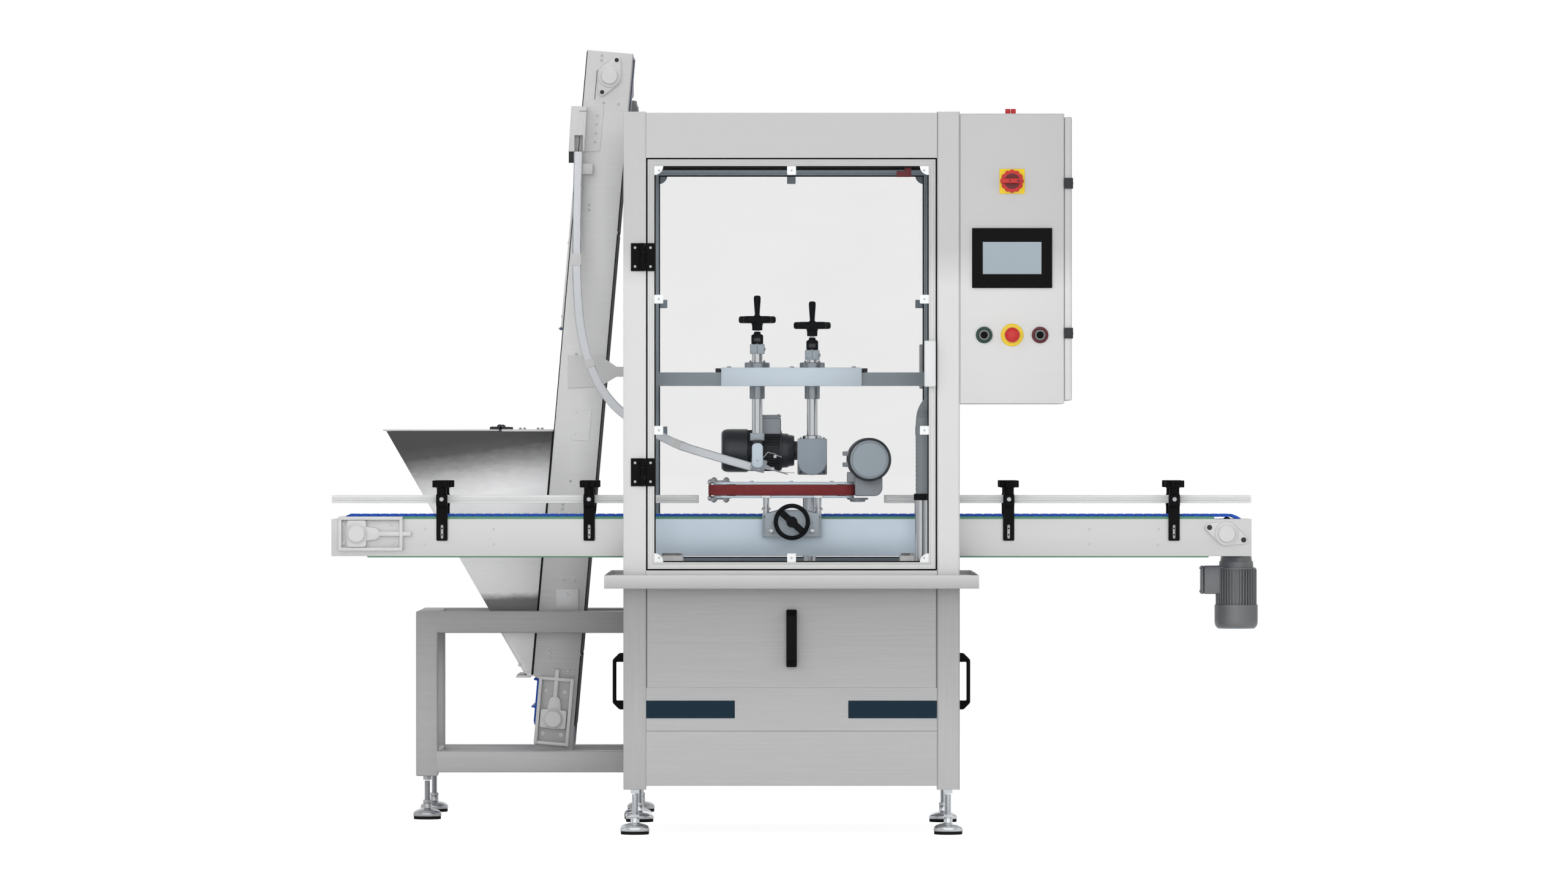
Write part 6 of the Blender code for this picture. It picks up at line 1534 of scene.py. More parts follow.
@dataclass
class GuideRails:
    """White guide rails on rods in slotted black brackets with star grips on top."""

    middle_y: float = MIDDLE_Y
    top: float = 0.896
    height: float = 0.021
    thickness: float = 0.008
    spacing: float = 0.090
    runs: dict = field(default_factory=lambda: {
        "infeed": (-1.235, -0.250, (-0.938, -0.543)), "outfeed": (0.250, 1.235, (0.583, 1.027))
    })

    def build(self) -> None:
        """Makes the four rails with their brackets."""
        bracket, metal = self._bracket()
        for run, (start, end, xs) in self.runs.items():
            for place, side in (("front", -1), ("rear", 1)):
                name = f"guide_rail_{run}_{place}"
                y = self.middle_y + side * (self.spacing + self.thickness) / 2
                half = self.thickness / 2
                rail = Bench.block((start, y - half, self.top - self.height), (end, y + half, self.top), 0.0015)
                holder = Bench.block((start + 0.004, y + side * (half - 0.0006), self.top - self.height + 0.006),
                                     (end - 0.004, y + side * (half + 0.0016), self.top - 0.006), 0.0005, 1)
                Bench.hand_over(f"{name}_strip", Look.RAIL, rail, slot="rail_white", replaces=(name,))
                Bench.hand_over(f"{name}_bar", Look.PLATE, holder, slot="steel")
                flip = Matrix.Translation((0, self.middle_y, 0)) @ Matrix.Diagonal((1, -side, 1, 1))
                blacks = [Bench.twin(bracket, Matrix.Translation((x, 0, 0)) @ flip) for x in xs]
                metals = [Bench.twin(metal, Matrix.Translation((x, 0, 0)) @ flip) for x in xs]
                Bench.hand_over(f"{name}_brackets", Look.BLACK, *blacks, slot="black_plastic")
                Bench.hand_over(f"{name}_rods", Look.BOLT, *metals, slot="chrome")
        for piece in (bracket, metal):
            bpy.data.objects.remove(piece)

    def _bracket(self) -> tuple[Piece, Piece]:
        """Black parts and metal parts of one bracket in front of the conveyor's line, at x 0."""
        near, top = -0.0683, self.top
        plate = Bench.plate(rounded(0.030, top + 0.001 - 0.774, 0.003, 3, (0, (top + 0.001 + 0.774) / 2)), Axis.Y, near,
                            near - 0.006, 0.0008, 1)
        slot = Bench.plate(rounded(0.0070, 0.038, 0.0034, 5, (0, 0.7985)), Axis.Y, near - 0.02, near + 0.02)
        Bench.cut(plate, slot)
        head = Bench.block((-0.015, near, top - 0.030), (0.015, near - 0.026, top + SKIN), 0.003, 3)
        middle = near - 0.013
        stem = Bench.turned([(0.0148, top), (0.0148, top + 0.003), (0.0136, top + 0.004), (0.0136, top + 0.018),
                             (0.0150, top + 0.022)],
                            (0, middle, 0), Axis.Z, 28)
        knob = Bench.plate(lobed(0.027, 7, 0.0052, (0, middle)), Axis.Z, top + 0.021, top + 0.040, 0.0055, 4)
        cap = Bench.turned([(0.0125, top + 0.0395), (0.0118, top + 0.0400), (0.0114, top + 0.0394)], (0, middle, 0),
                           Axis.Z, 24)
        rod = Bench.turned([(0.006, near + 0.022), (0.006, near - 0.0290), (0.0048, near - 0.0300)],
                           (0, 0, top - self.height / 2), Axis.Y, 20)
        bolts = [Hardware.dome_screw((0, near - 0.0002, z), Axis.Y, 0.0022) for z in (0.7900, 0.8070)]
        return Bench.joined(plate, head, stem, knob, cap, *bolts), rod


@dataclass
class StarCrank:
    """Lobed handwheel with a turning grip that stands up from its rim, modelled once for both columns."""

    radius: float = 0.0515
    middle_y: float = MIDDLE_Y

    def parts(self, x: float, z: float) -> Piece:
        """Hub, lobed rim and grip over a column.

        Args:
            x: Middle of the column.
            z: Height of the hub's underside.

        Returns:
            The handwheel as one piece.
        """
        y = self.middle_y
        hub = Bench.turned([(0.0125, 0), (0.014, 0.0015), (0.014, 0.012), (0.016, 0.019), (0.021, 0.024),
                            (0.021, 0.031),
                            (0.018, 0.035), (0.008, 0.0358)], (x, y, z), Axis.Z, 32)
        rim = Bench.plate(lobed(self.radius, 5, 0.012, (x, y), pi / 2), Axis.Z, z + 0.0195, z + 0.0385, 0.0062, 4)
        screw = Bench.turned([(0.0045, 0.0355), (0.0045, 0.0366), (0.003, 0.0370)], (x, y, z), Axis.Z, 6)
        grip_y = y - 0.034
        grip = Bench.turned([(0.0058, 0.030), (0.0058, 0.0410), (0.0066, 0.0425), (0.0075, 0.056), (0.0090, 0.076),
                             (0.0095, 0.0860), (0.0088, 0.0905), (0.0062, 0.0930), (0.0025, 0.0936)], (x, grip_y, z),
                             Axis.Z, 28)
        collar = Bench.turned([(0.0090, 0.036), (0.0087, 0.0405), (0.0064, 0.0415)], (x, grip_y, z), Axis.Z, 24)
        return Bench.joined(rim, hub, screw, grip, collar)


@dataclass
class HeadStation:
    """Cross bar, machined bridge, chute column and the capping head with its motor."""

    chute_x: float = -0.092
    head_x: float = 0.056
    middle_y: float = MIDDLE_Y
    column: float = 0.0145
    bridge_half: float = 0.189
    bridge_top: float = 1.239
    bridge_height: float = 0.050
    chute_top: float = 1.276
    head_top: float = 1.2604
    head_bottom: float = 0.950
    head_width: float = 0.079
    head_height: float = 0.098
    motor_z: float = 1.0158
    motor_y: float = 0.470

    def build(self) -> None:
        """Makes the station's pieces."""
        self._bridge()
        self._bar_ends()
        for name, x, top, body in (("chute", self.chute_x, self.chute_top, "machine"),
                                   ("head", self.head_x, self.head_top, "capping_head")):
            self._column_top(name, x, top, body)
            wheel = StarCrank().parts(x, top + 0.063 + SEAT)
            Bench.hand_over(f"{name}_star_crank", Look.BLACK, wheel, body=f"{name}_crank", slot="black_plastic",
                            replaces=(f"{name}_crank",))
        self._chute_holder()
        self._head()
        self._motor()

    def _bridge(self) -> None:
        """Block with a flange and a sleeve for each column, and its screws."""
        y, front, low = self.middle_y, 0.318, self.bridge_top - self.bridge_height
        half = self.bridge_half
        cheek = Bench.block((-half, front, low), (half, 0.3297, self.bridge_top), 0.0015)
        top = Bench.block((-half, front + 0.0004, 1.2265), (half, 0.430, self.bridge_top - 0.0001), 0.0012)
        made, turned, screws = [cheek, top], [], []
        for x in (self.chute_x, self.head_x):
            bore = self.column + 0.0004
            sleeve = [(bore, low - 0.034), (0.0195, low - 0.034), (0.0205, low - 0.0330), (0.0205, low + 0.004),
                      (0.0205, self.bridge_top + 0.001), (bore, self.bridge_top + 0.001)]
            flange = [(bore, self.bridge_top - 0.0005), (0.034, self.bridge_top - 0.0005),
                      (0.034, self.bridge_top + 0.0125),
                      (0.0325, self.bridge_top + 0.014), (bore + 0.001, self.bridge_top + 0.014),
                      (bore, self.bridge_top + 0.013)]
            turned += [Bench.ring(sleeve, (x, y, 0), Axis.Z, 40), Bench.ring(flange, (x, y, 0), Axis.Z, 40)]
            for turn in range(4):
                angle = pi / 4 + turn * pi / 2
                screws.append(Hardware.hex_bolt((x + 0.026 * cos(angle), y + 0.026 * sin(angle),
                                                 self.bridge_top + 0.0138),
                                                Axis.Z, 0.0036, 0.0045, 1))
        Bench.hand_over("bridge_block", Look.MACHINED, *made, slot="aluminium", replaces=("column_bridge",))
        Bench.hand_over("bridge_sleeves", Look.TURNED, *turned, slot="aluminium")
        for x in (-0.168, 0.001, 0.168):
            screws += [Hardware.dome_screw((x, at, self.bridge_top - 0.0002), Axis.Z, 0.0062, 1)
                       for at in (0.345, 0.415)]
        Bench.hand_over("bridge_screws", Look.BOLT, *screws, slot="chrome")

    def _bar_ends(self) -> None:
        """Dark stops beside the bridge and bolted feet at the ends of the cross bar."""
        stops = [Bench.block((side * 0.1895, 0.336, 1.2262), (side * 0.2045, 0.420, 1.2372), 0.002) for side in (-1, 1)]
        Bench.hand_over("bridge_stops", Look.FINS, *stops, slot="black_plastic")
        feet = []
        for side in (-1, 1):
            feet.append(Bench.block((side * 0.372, 0.3415, 1.2262), (side * 0.398, 0.4185, 1.2302), 0.001))
            feet += [Hardware.hex_bolt((side * 0.385, y, 1.2302), Axis.Z, 0.0050, 0.006, 1) for y in (0.357, 0.403)]
        Bench.hand_over("cross_bar_bolts", Look.BOLT, *feet, slot="chrome")

    def _column_top(self, name: str, x: float, top: float, body: str) -> None:
        """Clamp, position indicator with its window, neck and spindle."""
        y = self.middle_y
        clamp = Bench.plate(rounded(0.039, 0.039, 0.003, 3, (x, y)), Axis.Z, top, top + 0.0262, 0.0012)
        slit = Bench.block((x - 0.0008, y - 0.025, top - 0.001), (x + 0.0008, y - 0.014, top + 0.030))
        Bench.cut(clamp, slit)
        screw = Hardware.dome_screw((x + 0.0195, y - 0.013, top + 0.0125), Axis.X, 0.0045, 1)
        Bench.hand_over(f"{name}_column_clamp", Look.BLOCK, clamp, screw, body=body, slot="aluminium")
        dial = Bench.plate(rounded(0.032, 0.045, 0.006, 4, (x, y)), Axis.Z, top + 0.0262, top + 0.0515, 0.003, 3)
        neck = Bench.turned([(0.0125, 0.0510), (0.0125, 0.0530), (0.009, 0.0545), (0.009, 0.0597)], (x, y, top), Axis.Z,
                            28)
        Bench.hand_over(f"{name}_position_dial", Look.BLACK, dial, neck, body=body, slot="black_plastic")
        window = Bench.block((x - 0.009, y - 0.0226, top + 0.033), (x + 0.009, y - 0.0215, top + 0.043), 0.0004, 1)
        Bench.hand_over(f"{name}_dial_window", Look.DIAL, window, body=body, slot="black_plastic")
        spindle = Bench.turned([(0.0052, 0.058), (0.0052, 0.0632)], (x, y, top), Axis.Z, 20)
        light = Bench.turned([(0.0046, 0.0262), (0.0046, 0.0290), (0.0036, 0.0300)], (x, y - 0.0175, top), Axis.Z, 16)
        Bench.hand_over(f"{name}_crank_spindle", Look.CHROME, spindle, light, body=body, slot="chrome")

    def _chute_holder(self) -> None:
        """Tube, lower clamp, strap to the chute's end with its screws, and the cap release springs."""
        x, y, foot = self.chute_x, self.middle_y, 1.062
        tube = Bench.turned([(self.column - 0.001, foot), (self.column, foot + 0.001), (self.column, self.chute_top)],
                            (x, y, 0), Axis.Z, 36)
        Bench.hand_over("chute_column_tube", Look.CHROME, tube, slot="aluminium", replaces=("chute_column",))
        clamp = Bench.plate(rounded(0.039, 0.036, 0.003, 3, (x, y)), Axis.Z, foot - 0.019, foot + 0.001, 0.0012)
        Bench.hand_over("chute_clamp", Look.BLOCK, clamp, slot="aluminium")
        front = y - 0.020 - SEAT - 0.008
        strap = Bench.plate(rounded(0.0295, 0.066, 0.012, 6, (x + 0.0005, foot - 0.059)), Axis.Y, front, front + 0.004,
                            0.0008)
        shelf = Bench.block((x - 0.012, front + 0.0004, foot - 0.040), (x + 0.013, y - 0.004, foot - 0.018), 0.001)
        Bench.hand_over("chute_strap", Look.MACHINED, strap, slot="aluminium")
        Bench.hand_over("chute_shelf", Look.FINS, shelf, slot="aluminium")
        tilt = Matrix.Translation((x + 0.002, 0, foot - 0.086)) @ Matrix.Rotation(radians(15), 4, "Y")
        plate = Bench.plate([(-0.022, 0.018), (0.022, 0.018), (0.020, -0.016), (-0.016, -0.018)], Axis.Y,
                            front + 0.0042, front + 0.0078, 0.0008)
        arm = Bench.plate([(0.019, 0.009), (0.050, 0.001), (0.084, -0.001), (0.084, -0.004), (0.048, -0.0035),
                           (0.019, -0.005)], Axis.Y,
                          front + 0.004, front + 0.007, 0.0005, 1)
        Bench.hand_over("chute_bracket", Look.CAST, Bench.moved(Bench.joined(plate, arm), tilt), slot="aluminium")
        pins = [Hardware.dome_screw((x + a, front + 0.0042, foot + b), Axis.Y, 0.0034) for a,
                b in ((-0.017, -0.091), (0.004, -0.098))]
        pins.append(Hardware.dome_screw((x + 0.0005, front, foot - 0.073), Axis.Y, 0.0028))
        Bench.hand_over("chute_strap_screws", Look.BOLT, *pins, slot="chrome")
        wires = [
            [(0.016, -0.066), (0.024, -0.056), (0.030, -0.050), (0.036, -0.053), (0.044, -0.054), (0.056, -0.060),
             (0.066, -0.064)],
            [(0.016, -0.090), (0.030, -0.096), (0.050, -0.101), (0.074, -0.105), (0.100, -0.106)],
        ]
        springs = [Bench.tube(smooth_path([(x + a, front + 0.006, foot + b) for a, b in wire], 30), 0.0011, 10)
                   for wire in wires]
        shoes = [Bench.block((x + 0.044, front + 0.002, foot - 0.066), (x + 0.052, front + 0.012, foot - 0.058), 0.001),
                 Bench.block((x + 0.036, front + 0.002, foot - 0.099), (x + 0.046, front + 0.012, foot - 0.091), 0.001)]
        Bench.hand_over("cap_release", Look.PLATE, *springs, *shoes, slot="aluminium")

    def _head(self) -> None:
        """Gear head: round-bottomed front plate on its housing, cover bolts and column."""
        x, y, half = self.head_x, self.middle_y, self.head_width / 2
        low, high, front = self.head_bottom, self.head_bottom + self.head_height, self.middle_y - 0.030
        outline = [(x + half, high), (x - half, high), *arc((x, low + half), half, 180, 360, 24)]
        plate = Bench.plate(outline, Axis.Y, front - 0.012, front, 0.0018, 3)
        Bench.hand_over("head_front_plate", Look.HEAD, plate, body="capping_head", slot="aluminium",
                        replaces=("head_column",))
        box = Bench.block((x - half, front - 0.0002, low + 0.001), (x + half, front + 0.110, high - 0.001), 0.003, 3)
        ribs = [Bench.block((x - half + 0.008, front + 0.018 + i * 0.018, high - 0.002),
                            (x + half - 0.008, front + 0.022 + i * 0.018, high - 0.0003), 0.0004, 1)
                for i in (1, 2, 3, 4)]
        Bench.hand_over("head_housing", Look.HOUSING, box, *ribs, body="capping_head", slot="aluminium")
        tube = Bench.turned([(self.column, high - 0.002), (self.column, self.head_top)], (x, y, 0), Axis.Z, 36)
        foot = Bench.turned([(0.026, high - 0.0012), (0.026, high + 0.007), (0.0245, high + 0.0085),
                             (0.0160, high + 0.0090)], (x, y, 0), Axis.Z, 36)
        Bench.hand_over("head_column_tube", Look.CHROME, tube, foot, body="capping_head", slot="aluminium")
        bolts = [Hardware.hex_bolt((x + a, y + b, high - 0.0012), Axis.Z, 0.0036, 0.0040, 1) for a in (-0.031, 0.031)
                 for b in (-0.018, 0.022)]
        corner_bolts = [Hardware.dome_screw((x + a, front - 0.0002, low + 0.008), Axis.Y, 0.0036)
                        for a in (-0.0315, 0.0315)]
        Bench.hand_over("head_corner_bolts", Look.FINS, *corner_bolts, body="capping_head", slot="chrome")
        Bench.hand_over("head_bolts", Look.BOLT, *bolts, body="capping_head", slot="chrome")

    def _motor(self) -> None:
        """The head's motor along X with its terminal box on top."""
        start = self.head_x - self.head_width / 2 - SEAT
        place = Matrix.Translation((start, self.motor_y, self.motor_z)) @ Matrix.Rotation(-pi / 2, 4, "Y")
        FinnedMotor(0.205).mount("head_motor", place, (Look.MOTOR, Look.FINS, Look.CAST), (0.215, 0.59), "capping_head",
                                 "head_motor")


@dataclass
class GripBelts:
    """Side grip belts: two mirrored units with toothed belt, plates, tensioner, drive box, motor, rods and saddle."""

    middle_y: float = MIDDLE_Y
    line: float = 0.065
    z: float = 0.910
    height: float = 0.028
    left: float = -0.223
    right: float = 0.172
    pulley: float = 0.030
    band: float = 0.010
    saddle_away: float = 0.106
    wheel_x: float = 0.001
    motor_z: float = 0.992

    def build(self) -> None:
        """Makes the front unit at its place and the rear one as its mirror."""
        flip = Matrix.Translation((0, self.middle_y, 0)) @ Matrix.Diagonal((1, -1, 1, 1)) @ Matrix.Translation((0,
            -self.middle_y, 0))
        motor = FinnedMotor(0.175)
        for parts in (self._belt(), self._core(), self._plates(), self._drive(),
                      self._motor("shell", Look.MOTOR, motor.shell()),
                      self._motor("fins", Look.FINS, motor.core()), self._motor("disc", Look.COVER, motor.disc()),
                      self._inserts(), self._bolts(), self._rods(), self._saddle()):
            name, finish, piece, slot, node = parts
            for place in ("front", "rear"):
                made = Bench.copies(piece, [ORIGIN])[1] if place == "front" else Bench.twin(piece, flip)
                Bench.hand_over(f"{place}_grip_{name}", finish, made, body=f"{place}_grip", slot=slot,
                                replaces=(f"{place}_grip_{node}",) if node else ())
            bpy.data.objects.remove(piece)

    @property
    def y(self) -> float:
        """Line of the front unit's belt."""
        return self.middle_y - self.line

    def _ends(self) -> Pair:
        """Middles of the two pulleys."""
        return self.left + self.pulley, self.right - self.pulley

    def _loop(self, name: str, finish: Finish, outer: float, inner: float, node: str | None, slot: str,
              edge: float) -> tuple:
        """A closed band round both pulleys between two radii."""
        a, b = self._ends()
        half = self.height / 2
        piece = Bench.plate(stadium(a, b, self.y, outer, 20), Axis.Z, self.z - half, self.z + half, edge, 2)
        core = Bench.plate(stadium(a, b, self.y, inner, 20), Axis.Z, self.z - 2 * half, self.z + 2 * half)
        return name, finish, Bench.cut(piece, core), slot, node

    def _belt(self) -> tuple:
        """Rubber face of the belt."""
        return self._loop("rubber", Look.BELT_RED, self.pulley, self.pulley - 0.006, "belt", "belt_red", 0.0015)

    def _core(self) -> tuple:
        """Backing of the belt, inside the rubber."""
        return self._loop("backing", Look.BELT_CORE, self.pulley - 0.0062, self.pulley - self.band, None, "belt_red",
                          0.0005)

    def _plates(self) -> tuple:
        """Upper and lower plate with the guide between them."""
        a, b = self._ends()
        half, y = self.height / 2, self.y
        inside = self.pulley - self.band - SEAT
        made = [Bench.plate(stadium(a, b, y, inside, 16), Axis.Z, self.z - half - 0.0002, self.z + half + 0.0002)]
        for low in (self.z + half + SEAT, self.z - half - SEAT - 0.007):
            made.append(Bench.plate(stadium(a + 0.010, b, y, self.pulley - 0.004, 16), Axis.Z, low, low + 0.007,
                                    0.0012))
        for x in (-0.107, 0.000, 0.109):
            made.append(Hardware.dome_screw((x, y - 0.014, self.z + half + 0.0073), Axis.Z, 0.0048, 1))
        return "plates", Look.MACHINED, Bench.joined(*made), "aluminium", "carrier"

    def _drive(self) -> tuple:
        """Drive box at the belt's end, rounded at its lower outer corner, with the neck to the motor."""
        y, half, x = self.y, self.height / 2, self.right + 0.036
        low, high = self.z - half - SKIN, self.z + half + 0.020
        shape = [(x - 0.038, low), *arc((x + 0.014, low + 0.022), 0.022, -90, 0, 8), (x + 0.036, high),
                 (x - 0.038, high)]
        box = Bench.plate(shape, Axis.Y, y - 0.045, y + 0.026, 0.003, 3)
        ends = self._ends()
        clear = Bench.plate(stadium(*ends, y, self.pulley + 0.004, 16), Axis.Z, self.z - 0.06, self.z + half + 0.0006)
        Bench.cut(box, clear)
        box = Bench.joined(box, Bench.block((self.right - 0.022, y - 0.022, self.z + half + 0.0073),
                                            (x - 0.020, y + 0.022, self.z + half + 0.034), 0.002))
        neck = Bench.block((x - 0.030, y - 0.002, high - 0.010), (x + 0.030, y + 0.0235, self.motor_z + 0.020), 0.004,
                           3)
        tabs = [Bench.block((x - 0.070, y - 0.004, self.motor_z + up - 0.006),
                            (x - 0.026, y + 0.016, self.motor_z + up + 0.006), 0.002)
                for up in (-0.014, 0.016)]
        hub = Bench.turned([(0.028, self.z - half - 0.0075), (0.028, self.z - half - 0.011),
                            (0.020, self.z - half - 0.0128),
                            (0.020, self.z - half - 0.0170), (0.012, self.z - half - 0.0180)], (ends[1] + 0.036, y, 0),
                            Axis.Z, 32)
        return "drive", Look.CAST, Bench.joined(box, neck, *tabs, hub), "aluminium", None

    def _motor(self, part: str, finish: Finish, piece: Piece) -> tuple:
        """A piece of the motor, pointing away from the belt's line over the drive box."""
        place = Matrix.Translation((self.right + 0.036, self.y + 0.024, self.motor_z)) @ Matrix.Rotation(pi / 2, 4, "X")
        return f"motor_{part}", finish, Bench.moved(piece, place), "motor_grey", None

    def _inserts(self) -> tuple:
        """Dark wear inserts between the belt's edges and the plates, near both pulleys."""
        half, made = self.height / 2, []
        for x in (self.left + 0.062, self.right - 0.038):
            made += [Bench.block((x - 0.012, self.y - 0.0268, z - 0.0011), (x + 0.012, self.y - 0.018, z + 0.0011))
                     for z in
                     (self.z + half + 0.0006, self.z - half - 0.0006)]
        return "inserts", Look.FINS, Bench.joined(*made), "aluminium", None

    def _bolts(self) -> tuple:
        """Tension screws and pulley bolts at the free end."""
        a, _ = self._ends()
        half, y, made = self.height / 2, self.y, []
        for x in (a - 0.0155, a + 0.0175):
            for seat, out in ((self.z + half + 0.007, 1), (self.z - half - 0.007, -1)):
                made.append(Hardware.hex_bolt((x, y, seat), Axis.Z, 0.0090, 0.0100, out))
        for up in (0.0215, -0.0215):
            made.append(Bench.turned([(0.0040, -0.0500), (0.0040, -0.006), (0.003, -0.0050)],
                                     (a + 0.018, y, self.z + up), Axis.X, 12))
            made.append(Bench.turned([(0.0068, -0.0475), (0.0068, -0.0425), (0.0062, -0.0418)],
                                     (a + 0.018, y, self.z + up), Axis.X, 6))
        return "bolts", Look.BOLT, Bench.joined(*made), "chrome", None

    def _rods(self) -> tuple:
        """Two rods from the saddle up to the lower plate."""
        rod_y, low = self.middle_y - self.saddle_away, self.z - self.height / 2 - SEAT - 0.007
        made = []
        for x in (-0.068, 0.072):
            made.append(Bench.turned([(0.008, 0.836), (0.008, low + 0.002)], (x, rod_y, 0), Axis.Z, 28))
            made.append(Bench.block((x - 0.012, rod_y - 0.012, low), (x + 0.012, self.y + 0.010, low + 0.0069), 0.001))
            made.append(Bench.turned([(0.012, 0.856), (0.012, 0.861), (0.0105, 0.8625)], (x, rod_y, 0), Axis.Z, 28))
        return "rods", Look.CHROME, Bench.joined(*made), "chrome", None

    def _saddle(self) -> tuple:
        """Saddle block bored for the slide bars and the spindle."""
        x, half, y = self.wheel_x, 0.079, self.middle_y - self.saddle_away
        outline = [(x - half, 0.784), (x + half, 0.784), (x + half, 0.847), (x + 0.058, 0.850), (x + 0.038, 0.8555),
                   (x - 0.038, 0.8555),
                   (x - 0.058, 0.850), (x - half, 0.847)]
        block = Bench.plate(outline, Axis.Y, y - 0.012, y + 0.012, 0.0012, 2)
        for side in (-1, 1):
            recess = [(x + side * 0.072, 0.800), (x + side * 0.0765, 0.800), (x + side * 0.0765, 0.842),
                      (x + side * 0.072, 0.842)]
            Bench.cut(block, Bench.plate(recess, Axis.Y, y - 0.014, y - 0.006))
            Bench.cut(block, Bench.plate(rounded(0.010, 0.008, 0.003, 3, (x + side * 0.074, 0.792)), Axis.Y, y - 0.014,
                                         y - 0.006))
        for hole_x, radius, z in ((-0.054, 0.0064, 0.802), (0.056, 0.0064, 0.802), (x, 0.0074, 0.8255)):
            Bench.cut(block, Bench.turned([(radius, y - 0.03), (radius, y + 0.03)], (hole_x, 0, z), Axis.Y, 24))
        screws = [Hardware.dome_screw((x + a, y - 0.012, z), Axis.Y, 0.0036) for a in (-0.051, 0.051)
                  for z in (0.795, 0.824)]
        return "saddle", Look.BLOCK, Bench.joined(block, *screws), "aluminium", None


@dataclass
class WidthWheel:
    """Small handwheel with its spindle, and the cable conduit beside it."""

    x: float = 0.001
    z: float = 0.8255
    radius: float = 0.049
    ring_y: float = 0.204

    def build(self) -> None:
        """Makes the handwheel, its spindle and the conduit."""
        section = [(self.radius - 0.006 + 0.006 * u, 0.007 + 0.007 * v) for u, v in arc((0, 0), 1.0, 0, 330, 11)]
        rim = Bench.ring(section, (self.x, self.ring_y, self.z), Axis.Y, 56)
        turn = radians(-42)
        spoke = [(self.x + u * cos(turn) - v * sin(turn), self.z + u * sin(turn) + v * cos(turn))
                 for u, v in rounded(2 * self.radius - 0.012, 0.018, 0.006, 4)]
        bar = Bench.plate(spoke, Axis.Y, self.ring_y + 0.003, self.ring_y + 0.011, 0.003, 3)
        hub = Bench.turned([(0.0100, 0.000), (0.0145, 0.0012), (0.0150, 0.003), (0.0130, 0.012), (0.0130, 0.0240)],
                           (self.x, self.ring_y, self.z), Axis.Y, 32)
        reach = 0.030
        grip_at = (self.x + reach * cos(turn), self.ring_y, self.z + reach * sin(turn))
        grip = Bench.turned([(0.0085, 0.0035), (0.0088, 0.0010), (0.0070, -0.0002)], grip_at, Axis.Y, 24)
        Bench.hand_over("width_handwheel", Look.BLACK, rim, bar, hub, grip, body="width_wheel", slot="black_plastic",
                        replaces=("width_wheel",))
        thread = [(0.0062, 0.2275)]
        for i in range(110):
            low = 0.2280 + i * 0.0027
            thread += [(0.0070, low + 0.0009), (0.0063, low + 0.0022)]
        spindle = Bench.turned(thread, (self.x, 0, self.z), Axis.Y, 12)
        Bench.hand_over("width_spindle", Look.BOLT, spindle, body="width_wheel", slot="black_plastic")
        self._conduit()

    def _conduit(self) -> None:
        """Chrome pipe, black collar and ribbed hose that bends into the control cabinet's side."""
        x, y, low, top = 0.3465, 0.150, 0.6753, 0.885
        foot = Bench.turned([(0.030, low), (0.030, low + 0.004), (0.0285, low + 0.0055), (0.0191, low + 0.0060)],
                            (x, y, 0), Axis.Z, 36)
        pipe = Bench.turned([(0.019, low + 0.004), (0.019, top)], (x, y, 0), Axis.Z, 36)
        Bench.hand_over("conduit_pipe", Look.CHROME, pipe, foot, slot="motor_grey", replaces=("cable_conduit",))
        collar = Bench.turned([(0.0200, top - 0.001), (0.0208, top), (0.0208, top + 0.015), (0.0198, top + 0.0162)],
                              (x, y, 0), Axis.Z, 36)
        Bench.hand_over("conduit_collar", Look.BLACK, collar, slot="black_plastic")
        base = top + 0.010
        line = smooth_path([(x, y, base), (x, y, 1.005), (x, y, 1.090), (0.3535, y, 1.126), (0.374, y, 1.151),
                            (0.402, y, 1.160),
                            (0.425, y, 1.160), (0.4448, y, 1.160)], 130)
        rings, out = [], Vector((0, 1, 0))
        for i, point in enumerate(line):
            ahead = (line[min(i + 1, len(line) - 1)] - line[max(i - 1, 0)]).normalized()
            side = ahead.cross(out).normalized()
            rings.append((point, side, side.cross(ahead).normalized(), 0.0162 if i % 2 else 0.0148))
        piece = Bench.turned([(0.016, i * 0.001) for i in range(len(rings))], ORIGIN, Axis.Z, 24)
        for vertex in piece.data.vertices:
            i = min(round(vertex.co.z / 0.001), len(rings) - 1)
            point, side, up, radius = rings[i]
            angle = math.atan2(vertex.co.y, vertex.co.x)
            vertex.co = point + side * radius * cos(angle) + up * radius * sin(angle)
        Bench.hand_over("conduit_hose", Look.HOSE, Bench.outwards(piece), slot="motor_grey", smooth=60)


class Control(Enum):
    """The three buttons under the operator screen, with their place along X from the middle."""

    START = -0.074
    E_STOP = 0.0
    STOP = 0.074

    @property
    def title(self) -> str:
        """Name used for the button's pieces."""
        return self.name.lower()


